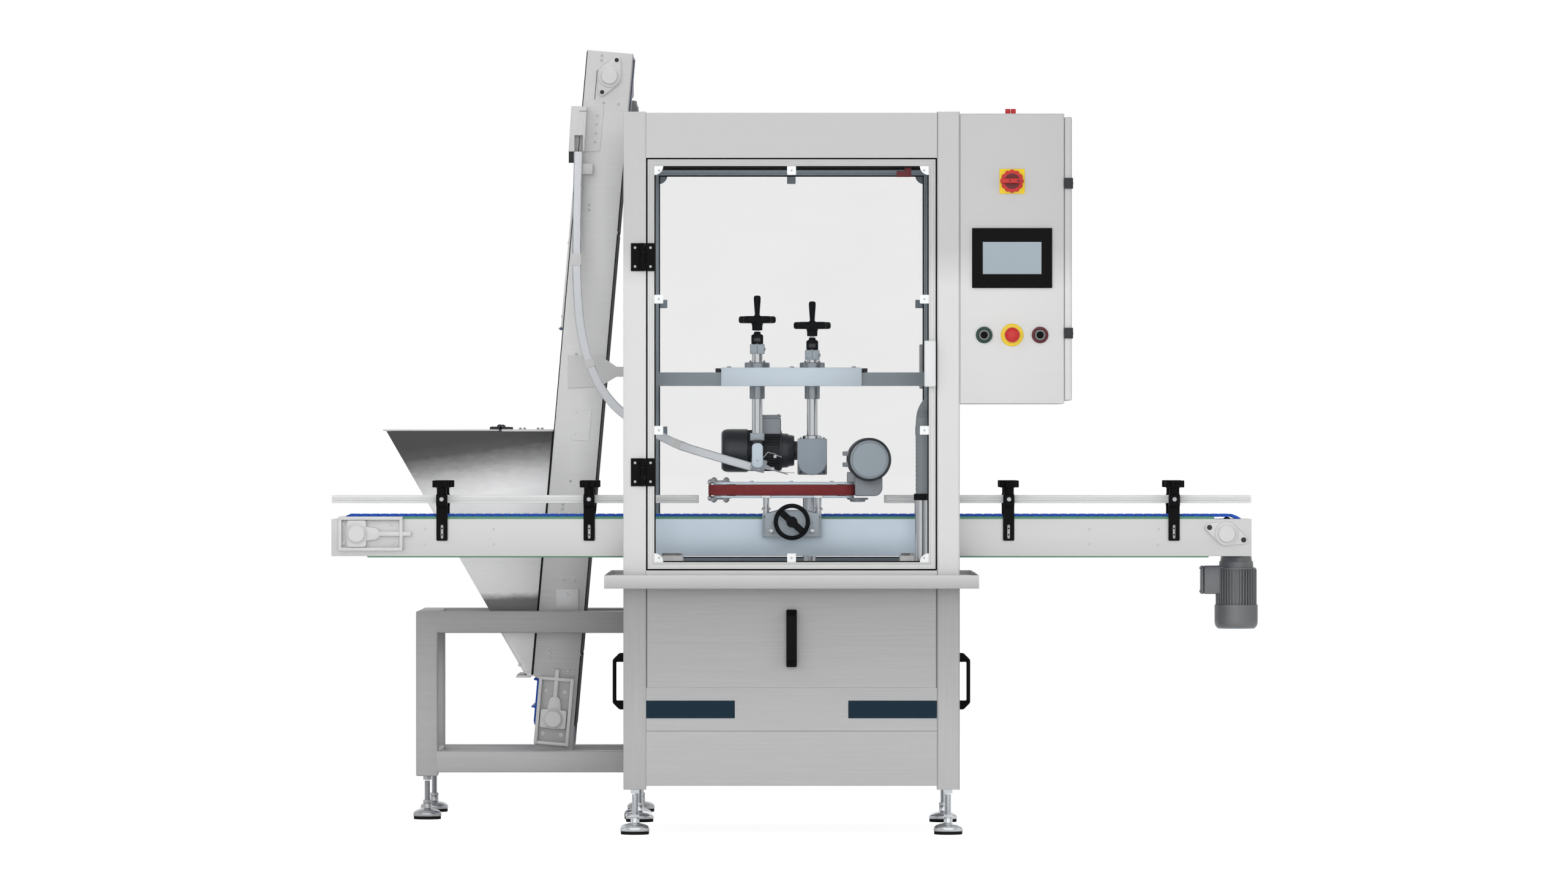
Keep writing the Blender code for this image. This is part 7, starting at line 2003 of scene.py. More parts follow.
@dataclass
class ControlCabinet:
    """Cabinet on the right side: shell, lamp, main switch, operator screen and buttons."""

    left: float = 0.4453
    right: float = 0.7213
    depth: float = 0.300
    low: float = 1.140
    high: float = 1.908
    wall: float = 0.004
    middle: float = 0.5833
    screen_z: float = 1.5256
    button_z: float = 1.322
    switch_z: float = 1.7285

    def build(self) -> None:
        """Makes the cabinet's pieces."""
        self._shell()
        self._mounting_plate()
        self._lamp()
        self._main_switch()
        self._screen()
        self._buttons()

    def _shell(self) -> None:
        """Folded box, open towards the side door, with a rim round the opening."""
        box = Bench.block((self.left, 0, self.low), (self.right, self.depth, self.high), 0.0035, 3)
        hollow = Bench.block((self.left + self.wall, self.wall, self.low + self.wall),
                             (self.right + 0.02, self.depth - self.wall, self.high - self.wall))
        Bench.cut(box, hollow)
        Bench.hand_over("cabinet_shell", Look.STEEL, box, slot="steel", replaces=("control_cabinet",))
        rim = Bench.block((self.right - 0.012, 0.0022, self.low + 0.0022),
                          (self.right - 0.0002, self.depth - 0.0022, self.high - 0.0022), 0.001)
        inner = Bench.block((self.right - 0.05, 0.016, self.low + 0.016),
                            (self.right + 0.05, self.depth - 0.016, self.high - 0.016))
        Bench.cut(rim, inner)
        Bench.hand_over("cabinet_rim", Look.PLATE, rim, slot="cabinet_grey")

    def _mounting_plate(self) -> None:
        """Plate, rails and blocks inside, seen with the door open."""
        back = self.left + self.wall
        plate = Bench.block((back - 0.0005, 0.030, self.low + 0.050), (back + 0.004, self.depth - 0.030,
            self.high - 0.050), 0.001)
        Bench.hand_over("mounting_plate", Look.ENAMEL, plate, slot="cabinet_grey")
        rails, blocks = [], []
        for row, z in enumerate((1.26, 1.40, 1.56, 1.70)):
            rails.append(Bench.block((back + 0.0038, 0.045, z - 0.0175), (back + 0.011, 0.255, z + 0.0175), 0.001))
            count = (7, 9, 5, 8)[row]
            width = 0.19 / count
            model = Bench.block((back + 0.0105, 0.055, z - 0.038), (back + 0.060, 0.055 + width - 0.002, z + 0.038),
                                0.003)
            blocks.append(Bench.joined(*Bench.copies(model, [(0, width * i, 0) for i in range(1, count)])))
        Bench.hand_over("mounting_rails", Look.PLATE, *rails, slot="cabinet_grey")
        Bench.hand_over("control_blocks", Look.BLACK, *blocks, slot="black_plastic")

    def _lamp(self) -> None:
        """Small red lamp in its socket on the cabinet's top."""
        x, y, z = self.middle, self.depth / 2, self.high
        base = Bench.plate(rounded(0.027, 0.027, 0.004, 4, (x, y)), Axis.Z, z - 0.0015, z + 0.004, 0.001)
        Bench.hand_over("lamp_base", Look.BLACK, base, slot="black_plastic")
        halves = [Bench.block((x + side * 0.0006, y - 0.0135, z + 0.0038), (x + side * 0.0140, y + 0.0135, z + 0.0180),
                              0.0018)
                  for side in (-1, 1)]
        Bench.hand_over("lamp_lens", Look.RED, *halves, slot="signal_red")

    def _main_switch(self) -> None:
        """Yellow plate and the lobed red rotor with its dark well, bar and marks."""
        x, z = self.middle, self.switch_z
        plate = Bench.plate(rounded(0.067, 0.066, 0.003, 4, (x, z)), Axis.Y, -0.0035, 0.0015, 0.0010)
        Bench.hand_over("switch_plate", Look.YELLOW, plate, slot="steel")
        collar = Bench.turned([(0.0220, -0.0030), (0.0220, -0.0038), (0.0210, -0.00398)], (x, 0, z), Axis.Y, 48)
        Bench.hand_over("switch_collar", Look.BLACK, collar, slot="black_plastic")
        knob = Bench.plate(lobed(0.0310, 12, 0.0028, (x, z)), Axis.Y, -0.0046, -0.0150, 0.0018, 3)
        bar = Bench.plate(rounded(0.0528, 0.0125, 0.0035, 5, (x - 0.0052, z + 0.0008)), Axis.Y, -0.0318, -0.0145,
                          0.0020, 3)
        Bench.hand_over("switch_rotor", Look.RED, knob, bar, body="main_switch", slot="signal_red",
                        replaces=("main_switch_knob",))
        well = Bench.turned([(0.0209, -0.0145), (0.0206, -0.0156)], (x, 0, z), Axis.Y, 40)
        marks = [Bench.turned([(r, -0.0316), (r, -0.0321)], (x + a, 0, z + 0.0008), Axis.Y, 16) for a,
                 r in ((-0.0068, 0.0026), (0.0158, 0.0034))]
        Bench.hand_over("switch_well", Look.DARK_RED, well, *marks, body="main_switch", slot="signal_red")

    def _screen(self) -> None:
        """Operator screen: black bezel and its plain display, which stays bare."""
        x, z = self.middle, self.screen_z
        bezel = Bench.plate(rounded(0.212, 0.1586, 0.002, 4, (x, z)), Axis.Y, -0.0078, -0.0004, 0.0012, 3)
        Bench.cut(bezel, Bench.block((x - 0.0776, -0.02, z - 0.0426), (x + 0.0776, -0.0070, z + 0.0426)))
        Bench.hand_over("screen_bezel", Look.BLACK, bezel, slot="black_plastic", replaces=("touch_screen",))
        glass = Bench.block((x - 0.0775, -0.0073, z - 0.0425), (x + 0.0775, -0.0068, z + 0.0425), 0.0001, 1)
        Bench.hand_over("screen_display", Look.SCREEN, glass, slot="black_plastic")

    def _buttons(self) -> None:
        """Collars with their buttons, each button on its own sliding body."""
        z = self.button_z
        for control in Control:
            x = self.middle + control.value
            big = control is Control.E_STOP
            outer, bore, face = (0.030, 0.0140, -0.006) if big else (0.022, 0.0147, -0.008)
            front = [(bore, 0.0015), (outer, 0.0015), (outer, face + 0.0022), (outer - 0.0016, face + 0.0003),
                     (outer - 0.0030, face + 0.00005),
                     (bore + 0.0015, face + 0.00005), (bore, face + 0.0012)]
            collar = Bench.ring(front, (x, 0, z), Axis.Y, 48)
            finish = {Control.START: Look.GREEN, Control.E_STOP: Look.YELLOW, Control.STOP: Look.WINE}[control]
            Bench.hand_over(f"{control.title}_collar", finish, collar, slot="steel")
        x = self.middle
        stem = Bench.turned([(0.0134, -0.0053), (0.0134, -0.0145)], (x, 0, z), Axis.Y, 32)
        head = Bench.turned([(0.0150, -0.0140), (0.0188, -0.0150), (0.0199, -0.0175), (0.0199, -0.0235),
                             (0.0188, -0.0265), (0.0150, -0.0294),
                             (0.0080, -0.0307), (0.0020, -0.0309)], (x, 0, z), Axis.Y, 48)
        Bench.hand_over("e_stop_mushroom", Look.RED, stem, head, body="e_stop", slot="signal_red",
                        replaces=("e_stop_head",))
        for control, slot in ((Control.START, "button_green"), (Control.STOP, "signal_red")):
            x = self.middle + control.value
            ring = Bench.turned([(0.0142, -0.0052), (0.0142, -0.0092), (0.0132, -0.0102), (0.0100, -0.0104)], (x, 0, z),
                                Axis.Y, 40)
            cap = Bench.turned([(0.0096, -0.0100), (0.0096, -0.0116), (0.0086, -0.0124)], (x, 0, z), Axis.Y, 40)
            Bench.hand_over(f"{control.title}_ring", Look.DRIVE, ring, body=control.title, slot=slot)
            Bench.hand_over(f"{control.title}_cap", Look.BLACK, cap, body=control.title, slot=slot,
                            replaces=(f"{control.title}_button",))


@dataclass
class CabinetDoor:
    """Folded side door of the cabinet with hinge leaves, seal and a flush lock."""

    face: float = 0.7216
    outer: float = 0.7423
    front: float = 0.003
    back: float = 0.300
    low: float = 1.149
    high: float = 1.899

    def build(self) -> None:
        """Makes the door, its seal, hinges and lock."""
        leaf = Bench.block((self.face, self.front, self.low), (self.outer - 0.0006, self.back, self.high), 0.004, 3)
        Bench.hand_over("cabinet_door_leaf", Look.STEEL, leaf, body="cabinet_door", slot="steel",
                        replaces=("cabinet_door",))
        seal = Bench.block((self.face - 0.0001, self.front + 0.009, self.low + 0.009),
                           (self.face + 0.004, self.back - 0.009, self.high - 0.009), 0.0002, 1)
        inner = Bench.block((self.face - 0.05, self.front + 0.018, self.low + 0.018),
                            (self.face + 0.05, self.back - 0.018, self.high - 0.018))
        Bench.cut(seal, inner)
        Bench.hand_over("cabinet_door_seal", Look.RUBBER, seal, body="cabinet_door", slot="steel")
        leaves, plates = [], []
        for z in (1.7235, 1.327):
            leaves.append(Bench.block((0.7224, -0.0063, z - 0.0142), (0.7446, 0.030, z + 0.0142), 0.0012))
            leaves += [Hardware.dome_screw((0.7440, y, z), Axis.X, 0.0030, 1) for y in (0.012, 0.023)]
            plates.append(Bench.block((0.7206, 0.0045, z - 0.0135), (0.7216, 0.040, z + 0.0135), 0.0003))
        Bench.hand_over("cabinet_hinge_leaves", Look.FINS, *leaves, body="cabinet_door", slot="steel")
        Bench.hand_over("cabinet_hinge_plates", Look.FINS, *plates, slot="steel")
        lock = Bench.turned([(0.0135, -0.0012), (0.0135, 0.0004), (0.0120, 0.0006)],
                            (self.outer - 0.0006, 0.262, 1.524), Axis.X, 32)
        slit = Bench.block((self.outer - 0.0008, 0.2608, 1.515), (self.outer + 0.02, 0.2632, 1.533))
        Bench.hand_over("cabinet_lock", Look.CHROME, Bench.cut(lock, slit), body="cabinet_door", slot="steel")


@dataclass
class ElevatorStand:
    """Welded square-tube stand with rounded corners, cleaned welds, lug plates and four levelling feet."""

    left: float = -1.033
    right: float = -0.392
    front: float = 0.860
    rear: float = 1.365
    post: float = 0.060
    low: float = 0.119
    rail: float = 0.129
    top: float = 0.573

    def build(self) -> None:
        """Makes the frame, the lugs and the feet."""
        p, made = self.post, []
        corners_x, corners_y = (self.left, self.right - p), (self.front, self.rear - p)
        for x in corners_x:
            for y in corners_y:
                made.append(Bench.block((x, y, self.low), (x + p, y + p, self.top), 0.004, 3))
        for z, shift in ((self.rail, 0.0003), (self.top - p, 0.0001)):
            for y in corners_y:
                made.append(Bench.block((self.left + 0.010, y + shift, z + shift),
                                        (self.right - 0.010, y + p - shift, z + p - shift), 0.004, 3))
            for x in corners_x:
                made.append(Bench.block((x + shift, self.front + 0.010, z + shift),
                                        (x + p - shift, self.rear - 0.010, z + p - shift), 0.004, 3))
        Bench.hand_over("stand_frame", Look.STEEL, *made, slot="steel", replaces=("elevator_stand",))
        lugs, bolts = [], []
        for face, out in ((0.9495, -1), (1.2755, 1)):
            near, far = sorted((face, face + out * 0.0055))
            lugs.append(Bench.block((-0.650, near, self.top - 0.0005), (-0.588, far, self.top + 0.060), 0.0008))
            bolts.append(Hardware.hex_bolt((-0.619, face + out * 0.0053, self.top + 0.045), Axis.Y, 0.0066, 0.0045,
                                           out))
        Bench.hand_over("stand_lugs", Look.PLATE, *lugs, slot="steel")
        Bench.hand_over("stand_lug_bolts", Look.BOLT, *bolts, slot="chrome")
        self._feet(corners_x, corners_y)

    def _feet(self, xs: Pair, ys: Pair) -> None:
        """The same levelling feet as the body's, under the stand's legs."""
        rubber, metal = LevellingFeet().model()
        moves = [Matrix.Translation((x + self.post / 2, y + self.post / 2, 0)) for x in xs for y in ys]
        Bench.hand_over("stand_foot_pads", Look.RUBBER, Bench.spread(rubber, moves), slot="black_plastic")
        Bench.hand_over("stand_foot_studs", Look.BOLT, Bench.spread(metal, moves), slot="chrome")


@dataclass
class Elevator:
    """Leaning cap elevator: folded side plates, cleated belt, bearings, take-ups, covers and its drive."""

    foot: Pair = (-0.7355, 0.160)
    lean: float = 5.0
    front: float = 0.950
    rear: float = 1.275
    width: float = 0.128
    length: float = 1.970
    plate: float = 0.004
    belt_middle: float = 0.0675
    belt_radius: float = 0.054
    belt_low: float = 0.120
    belt_high: float = 1.903
    cover_low: float = 1.200
    cover_high: float = 1.670
    screw_places: Sequence[Pair] = (
        (-0.5588, 1.694), (-0.5588, 1.680), (-0.5944, 1.2817), (-0.5959, 1.2666), (-0.5932, 1.1209), (-0.5976, 1.0615),
        (-0.6105, 0.9308),
        (-0.6316, 0.8657), (-0.6326, 0.8538), (-0.6284, 0.6578), (-0.5986, 0.6558), (-0.6678, 0.4557),
        (-0.6689, 0.4411), (-0.6582, 0.4095),
        (-0.6164, 0.4061), (-0.5226, 2.1069), (-0.5241, 2.0939), (-0.5184, 1.9757), (-0.4769, 1.9725),
    )

    @property
    def place(self) -> Matrix:
        """Puts a piece drawn upright at the origin onto the elevator's lean."""
        return Matrix.Translation((self.foot[0], 0, self.foot[1])) @ Matrix.Rotation(radians(self.lean), 4, "Y")

    def leaned(self, *pieces: Piece) -> Piece:
        """Joins pieces drawn upright and sets them on the lean."""
        return Bench.moved(Bench.joined(*pieces), self.place)

    def build(self) -> None:
        """Makes the elevator's pieces."""
        self._plates()
        self._covers()
        self._belt()
        self._bearings()
        self._chute_head()
        WormDrive("elevator_drive", "elevator_gearmotor", (-0.50240, self.rear + 0.0093, 2.04988), 0.130).build()

    def _outline(self) -> list[Pair]:
        """Outline of a side plate, set back at the foot."""
        w, back = self.width, 0.022
        return [(back, 0.0), (w - 0.012, 0.0), (w, 0.045), (w, self.length), (0, self.length), (0, 0.235),
                (back, 0.225)]

    def _plates(self) -> None:
        """Two side plates with folded edges, ties and rows of screws."""
        made = []
        w, n = self.width, self.length
        for side, face in ((-1, self.front), (1, self.rear)):
            made.append(Bench.plate(self._outline(), Axis.Y, min(face, face - side * self.plate),
                                    max(face, face - side * self.plate), 0.0010, 2))
            inner = face - side * 0.015
            for low, high, start in ((0.0, 0.0022, 0.240), (w - 0.0022, w, 0.050)):
                made.append(Bench.block((low, min(face, inner), start), (high, max(face, inner), n), 0.0004, 1))
        for v in (0.30, 0.80, 1.30, 1.72):
            made.append(Bench.block((self.belt_middle - 0.050, self.front + 0.002, v),
                                    (self.belt_middle + 0.050, self.rear - 0.002, v + 0.030), 0.001))
        Bench.hand_over("elevator_plates", Look.LEAN, self.leaned(*made), slot="steel", replaces=("elevator_frame",))
        screws = [Hardware.dome_screw((x, self.front, z), Axis.Y, 0.0036) for x, z in self.screw_places]
        back = [Hardware.dome_screw((self.belt_middle + a, self.rear, v), Axis.Y, 0.0036, 1) for a in (-0.028, 0.028)
                for v in (0.315, 0.815, 1.315, 1.735)]
        Bench.hand_over("elevator_screws", Look.BOLT, *screws, self.leaned(*back), slot="chrome")
        self._seals()

    def _seals(self) -> None:
        """Black strips: one along the front's left edge up to the hopper's rim with a thin line on above it, and over
        the right flank a skirt, a dark sheet in painted shade where the belt's return run lies in shadow.
        """
        near = self.front - 0.0012
        seal = Bench.block((-0.0038, near, 0.237), (0.0016, self.front + 0.020, 0.912), 0.0004, 1)
        line = Bench.block((-0.0008, near + 0.0006, 0.912), (0.0012, self.front + 0.010, self.length - 0.004), 0.0002,
                           1)
        w, pieces = self.width, []
        # Painted shade: a black skirt in pieces over the right flank, where the belt's return run lies in shadow; the
        # blue belt shows in the gaps.
        for start, end in ((0.105, 0.300), (0.308, 0.690), (0.698, 1.080), (1.088, 1.470), (1.478, 1.800)):
            pieces.append(Bench.block((w - 0.0012, near, start), (w + 0.0008, self.rear - 0.004, end), 0.0003, 1))
        plate = Bench.plate(rounded(0.0510, 0.0862, 0.002, 2, (0.0735, 0.936)), Axis.Y, near - 0.0008,
                            self.front + 0.0005, 0.0006, 1)
        Bench.hand_over("elevator_seals", Look.RUBBER, self.leaned(seal, line, *pieces), slot="black_plastic")
        Bench.hand_over("elevator_tab", Look.LEAN, self.leaned(plate), slot="steel")

    def _covers(self) -> None:
        """Cover over the left side between hopper and head, top cap, and the lower left scraper plate."""
        low, high = self.cover_low, self.cover_high
        cover = Bench.block((-0.0058, self.front + 0.0005, low), (0.0012, self.rear - 0.0005, high), 0.0010)
        lip = Bench.plate([(-0.0058, low + 0.004), (-0.0125, low - 0.004), (-0.0120, low - 0.0055),
                           (-0.0042, low + 0.002)], Axis.Y,
                          self.front + 0.004, self.rear - 0.004)
        cap = Bench.block((0.001, self.front + 0.0042, self.length - 0.0035),
                          (self.width - 0.001, self.rear - 0.0042, self.length - 0.0005), 0.0008)
        Bench.hand_over("elevator_cover", Look.LEAN, self.leaned(cover, lip, cap), slot="steel")
        screws = [Hardware.dome_screw((-0.0058, y, v), Axis.X, 0.0034, -1)
                  for y in (self.front + 0.016, self.rear - 0.016) for v in (low + 0.03, (low + high) / 2, high - 0.03)]
        Bench.hand_over("elevator_cover_screws", Look.BOLT, self.leaned(*screws), slot="chrome")

    def _track(self, run: float) -> Matrix:
        """Where a belt segment stands after that way along the loop, in the upright frame."""
        start = Matrix.Translation((self.belt_middle, 0, self.belt_low)) @ Matrix.Rotation(-pi / 2, 4, "Y")
        return start @ loop_place(run, self.belt_high - self.belt_low, self.belt_radius - 0.003)

    def _belt(self) -> None:
        """Blue belt of slats, one modelled and copied round the loop, with cleats and bars, on two drums."""
        low, high = self.front + 0.010, self.rear - 0.010
        slat = Bench.plate([(-0.0128, -0.0028), (0.0128, -0.0028), (0.0132, 0.0006), (0.0120, 0.0028),
                            (-0.0120, 0.0028),
                            (-0.0132, 0.0006)], Axis.Y, low, high)
        total = 2 * (self.belt_high - self.belt_low + pi * (self.belt_radius - 0.003))
        count = round(total / 0.0258)
        slats = Bench.spread(slat, [self._track(i / count * total) for i in range(count)])
        Bench.hand_over("elevator_slats", Look.BLUE, self.leaned(slats), slot="belt_blue", replaces=("elevator_belt",),
                        smooth=40)
        cleat = Bench.plate([(-0.003, 0.0020), (0.003, 0.0020), (0.0020, 0.0122), (0.0, 0.0130), (-0.0016, 0.0122)],
                            Axis.Y, low + 0.006, high - 0.006)
        first, pitch, tall = 0.148 - self.belt_low, 0.0756, 2
        cleats = Bench.spread(cleat, [self._track(first + pitch * i) for i in range(tall)])
        bar = Bench.plate([(-0.0026, 0.0020), (0.0026, 0.0020), (0.0020, 0.0052), (-0.0020, 0.0052)],
                          Axis.Y, low + 0.006, high - 0.006, 0.0004, 1)
        bars = Bench.spread(bar, [self._track((first + pitch * (i + tall)) % total)
                                  for i in range(int((total - 0.30) / pitch))])
        Bench.hand_over("elevator_cleats", Look.BLUE, self.leaned(cleats, bars), slot="belt_blue")
        drum = self.belt_radius - 0.0064
        drums = [Bench.turned([(drum, low + 0.004), (drum, high - 0.004)], (self.belt_middle, 0, v), Axis.Y, 48)
                 for v in (self.belt_low, self.belt_high)]
        Bench.hand_over("elevator_drums", Look.RUBBER, self.leaned(*drums), slot="belt_blue")

    def _bearings(self) -> None:
        """Two-bolt bearings at the head and take-ups at the foot, on both side plates."""
        centre, turn = (self.belt_middle, self.belt_high), radians(70.5)
        made = [Hardware.flange(centre, self.front, turn), Hardware.bearing_cover(centre, self.front),
                Hardware.flange(centre, self.rear, turn, 1)]
        bolts = Hardware.bearing_bolts(centre, self.front, turn, 0.0044, 0.006)
        Bench.hand_over("elevator_head_bearing", Look.BEARING, self.leaned(*made), slot="steel")
        Bench.hand_over("elevator_bearing_bolts", Look.FINS, self.leaned(*bolts), slot="steel")
        stand_up = Matrix.Translation((self.belt_middle, 0, self.belt_low)) @ Matrix.Rotation(-pi / 2, 4, "Y")
        for name, side, face in (("front", -1, self.front), ("rear", 1, self.rear)):
            unit = Bench.joined(*TakeUp(0.0, 0.0, face, side, (0.072, 0.115), 0.048, (-0.042, 0.0765)).parts())
            Bench.hand_over(f"elevator_take_up_{name}", Look.BEARING, self.leaned(Bench.moved(unit, stand_up)),
                            slot="steel")

    def _chute_head(self) -> None:
        """Raised cover that turns the caps into the chute, with its flat screwed flange, and thin dark blocks painted
        as the shade in its mouth and slots.
        """
        near, face = 0.900, self.front - 0.0022
        box = Bench.plate([(-0.6061, 1.9655), (-0.6142, 1.8400), (-0.5707, 1.8395), (-0.5634, 1.9640)], Axis.Y, near,
                          self.front + 0.0005, 0.002, 3)
        Bench.cut(box, Bench.block((-0.5979, near - 0.02, 1.80), (-0.5745, self.front - 0.0003, 1.8847)))
        channel = Bench.plate([(-0.5870, 1.9350), (-0.5744, 1.9350), (-0.5728, 1.8860), (-0.5905, 1.8860)], Axis.Y,
                              near - 0.0012, near + 0.002, 0.0005, 1)
        flange = Bench.plate([(-0.580, 1.8413), (-0.5340, 1.8413), (-0.5280, 1.8470), (-0.5177, 1.9660),
                              (-0.580, 1.9660)],
                             Axis.Y, face, self.front + 0.0005, 0.0006, 1)
        Bench.hand_over("chute_head_cover", Look.LEAN, box, channel, flange, slot="steel")
        # Painted shade: thin dark blocks where the slots and the mouth are open.
        line = Bench.block((-0.5844, near - 0.0004, 1.9509), (-0.5640, near + 0.001, 1.9523))
        flap = Bench.block((-0.614, near + 0.010, 1.809), (-0.600, near + 0.0125, 1.844), 0.001)
        slot = self.leaned(Bench.block((-0.0008, 0, -0.0413), (0.0008, 0.0015, 0.0413)))
        slot.data.transform(Matrix.Translation((-0.5396 - self.foot[0], self.front - 0.0006, 2.0267 - self.foot[1])))
        Bench.hand_over("chute_head_slots", Look.FINS, line, flap, slot, slot="steel")
        screws = [Hardware.dome_screw((x, face, z), Axis.Y, 0.0032)
                  for x, z in ((-0.5355, 1.9408), (-0.5379, 1.9164), (-0.5401, 1.8916), (-0.5426, 1.8679))]
        Bench.hand_over("chute_head_screws", Look.BOLT, *screws, slot="chrome")


@dataclass
class Hopper:
    """Bright sheet hopper on the elevator's left with a hinged lid."""

    left: float = -1.119
    top: float = 1.069
    bottom: float = 0.391
    front: float = 0.950
    rear: float = 1.275
    sheet: float = 0.003
    hinge_x: float = -0.807
    lid: float = 0.005

    def _edge(self, z: float) -> float:
        """Right edge of the hopper at a height, along the elevator's lean."""
        low, high = (-0.7163, self.bottom), (-0.657, self.top)
        return low[0] + (z - low[1]) / (high[1] - low[1]) * (high[0] - low[0])

    def build(self) -> None:
        """Makes the walls, the rim, the outlet gate and the lid."""
        sheet, foot = self.sheet, self._edge(self.bottom)
        outer = [(self.left, self.top), (foot - 0.012, self.bottom), (foot, self.bottom),
                 (self._edge(self.top), self.top)]
        inner = [(self.left + sheet * 2.2, self.top + 0.05), (self.left + sheet * 2.2, self.top),
                 (foot - 0.0078, self.bottom + 0.012),
                 (foot - sheet, self.bottom + 0.012), (self._edge(self.top) - sheet, self.top),
                 (self._edge(self.top) - sheet, self.top + 0.05)]
        walls = Bench.plate(outer, Axis.Y, self.front, self.rear, 0.0012, 2)
        hollow = Bench.plate(inner, Axis.Y, self.front + sheet, self.rear - sheet)
        Bench.cut(walls, hollow)
        Bench.hand_over("hopper_walls", Look.MIRROR, walls, slot="steel", replaces=("hopper",))
        strip = Bench.block((self.hinge_x + 0.0068, self.front, self.top - 0.0012),
                            (self._edge(self.top), self.rear, self.top + self.lid), 0.001)
        lugs = [piece for start in (self.front + 0.020, self.rear - 0.045) for piece in self._knuckle(start, 1, 0.0010)]
        Bench.hand_over("hopper_strip", Look.PLATE, strip, slot="steel")
        Bench.hand_over("hopper_hinge_lugs", Look.FINS, *lugs, slot="steel")
        self._outlet()
        self._lid()

    def _knuckle(self, start: float, side: int, sunk: float) -> list[Piece]:
        """A round of the lid's hinge and its leaf, towards the strip (side 1) or the lid (side -1)."""
        x, near, far, rim = self.hinge_x, start + 0.0003, start + 0.0247, self.top + self.lid
        barrel = [(0.0066, near), (0.0078, start + 0.001), (0.0078, start + 0.024), (0.0066, far)]
        return [Bench.turned(barrel, (x, 0, rim + 0.006), Axis.Y, 20),
                Bench.block((x, near, rim - sunk), (x + side * 0.028, far, rim + 0.0070), 0.0008)]

    def _outlet(self) -> None:
        """Second sheet along the lower left wall with its lip, two bolts there and two on the rim."""
        slope = (self._edge(self.bottom) - 0.012 - self.left) / (self.bottom - self.top)
        left_low, left_high = self.left + (0.400 - self.top) * slope, self.left + (0.535 - self.top) * slope
        band = [(left_low - 0.0045, 0.400), (left_low + 0.0008, 0.400), (left_high + 0.0008, 0.535),
                (left_high - 0.0045, 0.535)]
        sheet = Bench.plate(band, Axis.Y, self.front, self.rear, 0.0005, 1)
        lip = Bench.block((-0.7603, self.front, 0.3876), (-0.7214, self.rear, 0.3941), 0.0010)
        Bench.hand_over("hopper_outlet", Look.PLATE, sheet, lip, slot="steel")
        bolts = [Hardware.hex_bolt((x, self.front - 0.0010, z), Axis.Y, 0.0036, 0.0030) for x, z in
                 ((-0.7505, 0.4232), (-0.7297, 0.4022))]
        bolts += [Hardware.hex_bolt((x, self.front + 0.010, self.top + self.lid - 0.0005), Axis.Z, 0.0042, 0.0045, 1)
                  for x in (-0.7490, -0.7374, -0.7000, -0.6886)]
        Bench.hand_over("hopper_bolts", Look.BOLT, *bolts, slot="chrome")

    def _lid(self) -> None:
        """Lid sheet with its knuckles and leaves, on the lid's own body."""
        left, right, rim = self.left - 0.009, self.hinge_x - 0.0006, self.top + self.lid
        plate = Bench.block((left, self.front - 0.0018, self.top + 0.0004), (right, self.rear + 0.0018, rim - 0.0002),
                            0.0012, 2)
        made = []
        for start in (self.front + 0.0454, self.rear - 0.0704):
            made += self._knuckle(start, -1, 0.0012)
            made += [Hardware.dome_screw((self.hinge_x - 0.020, start + y, rim + 0.0066), Axis.Z, 0.0028, 1)
                     for y in (0.007, 0.018)]
        Bench.hand_over("hopper_lid_sheet", Look.STEEL, plate, body="hopper_lid", slot="steel",
                        replaces=("hopper_lid",))
        Bench.hand_over("hopper_lid_hinges", Look.FINS, *made, body="hopper_lid", slot="steel")


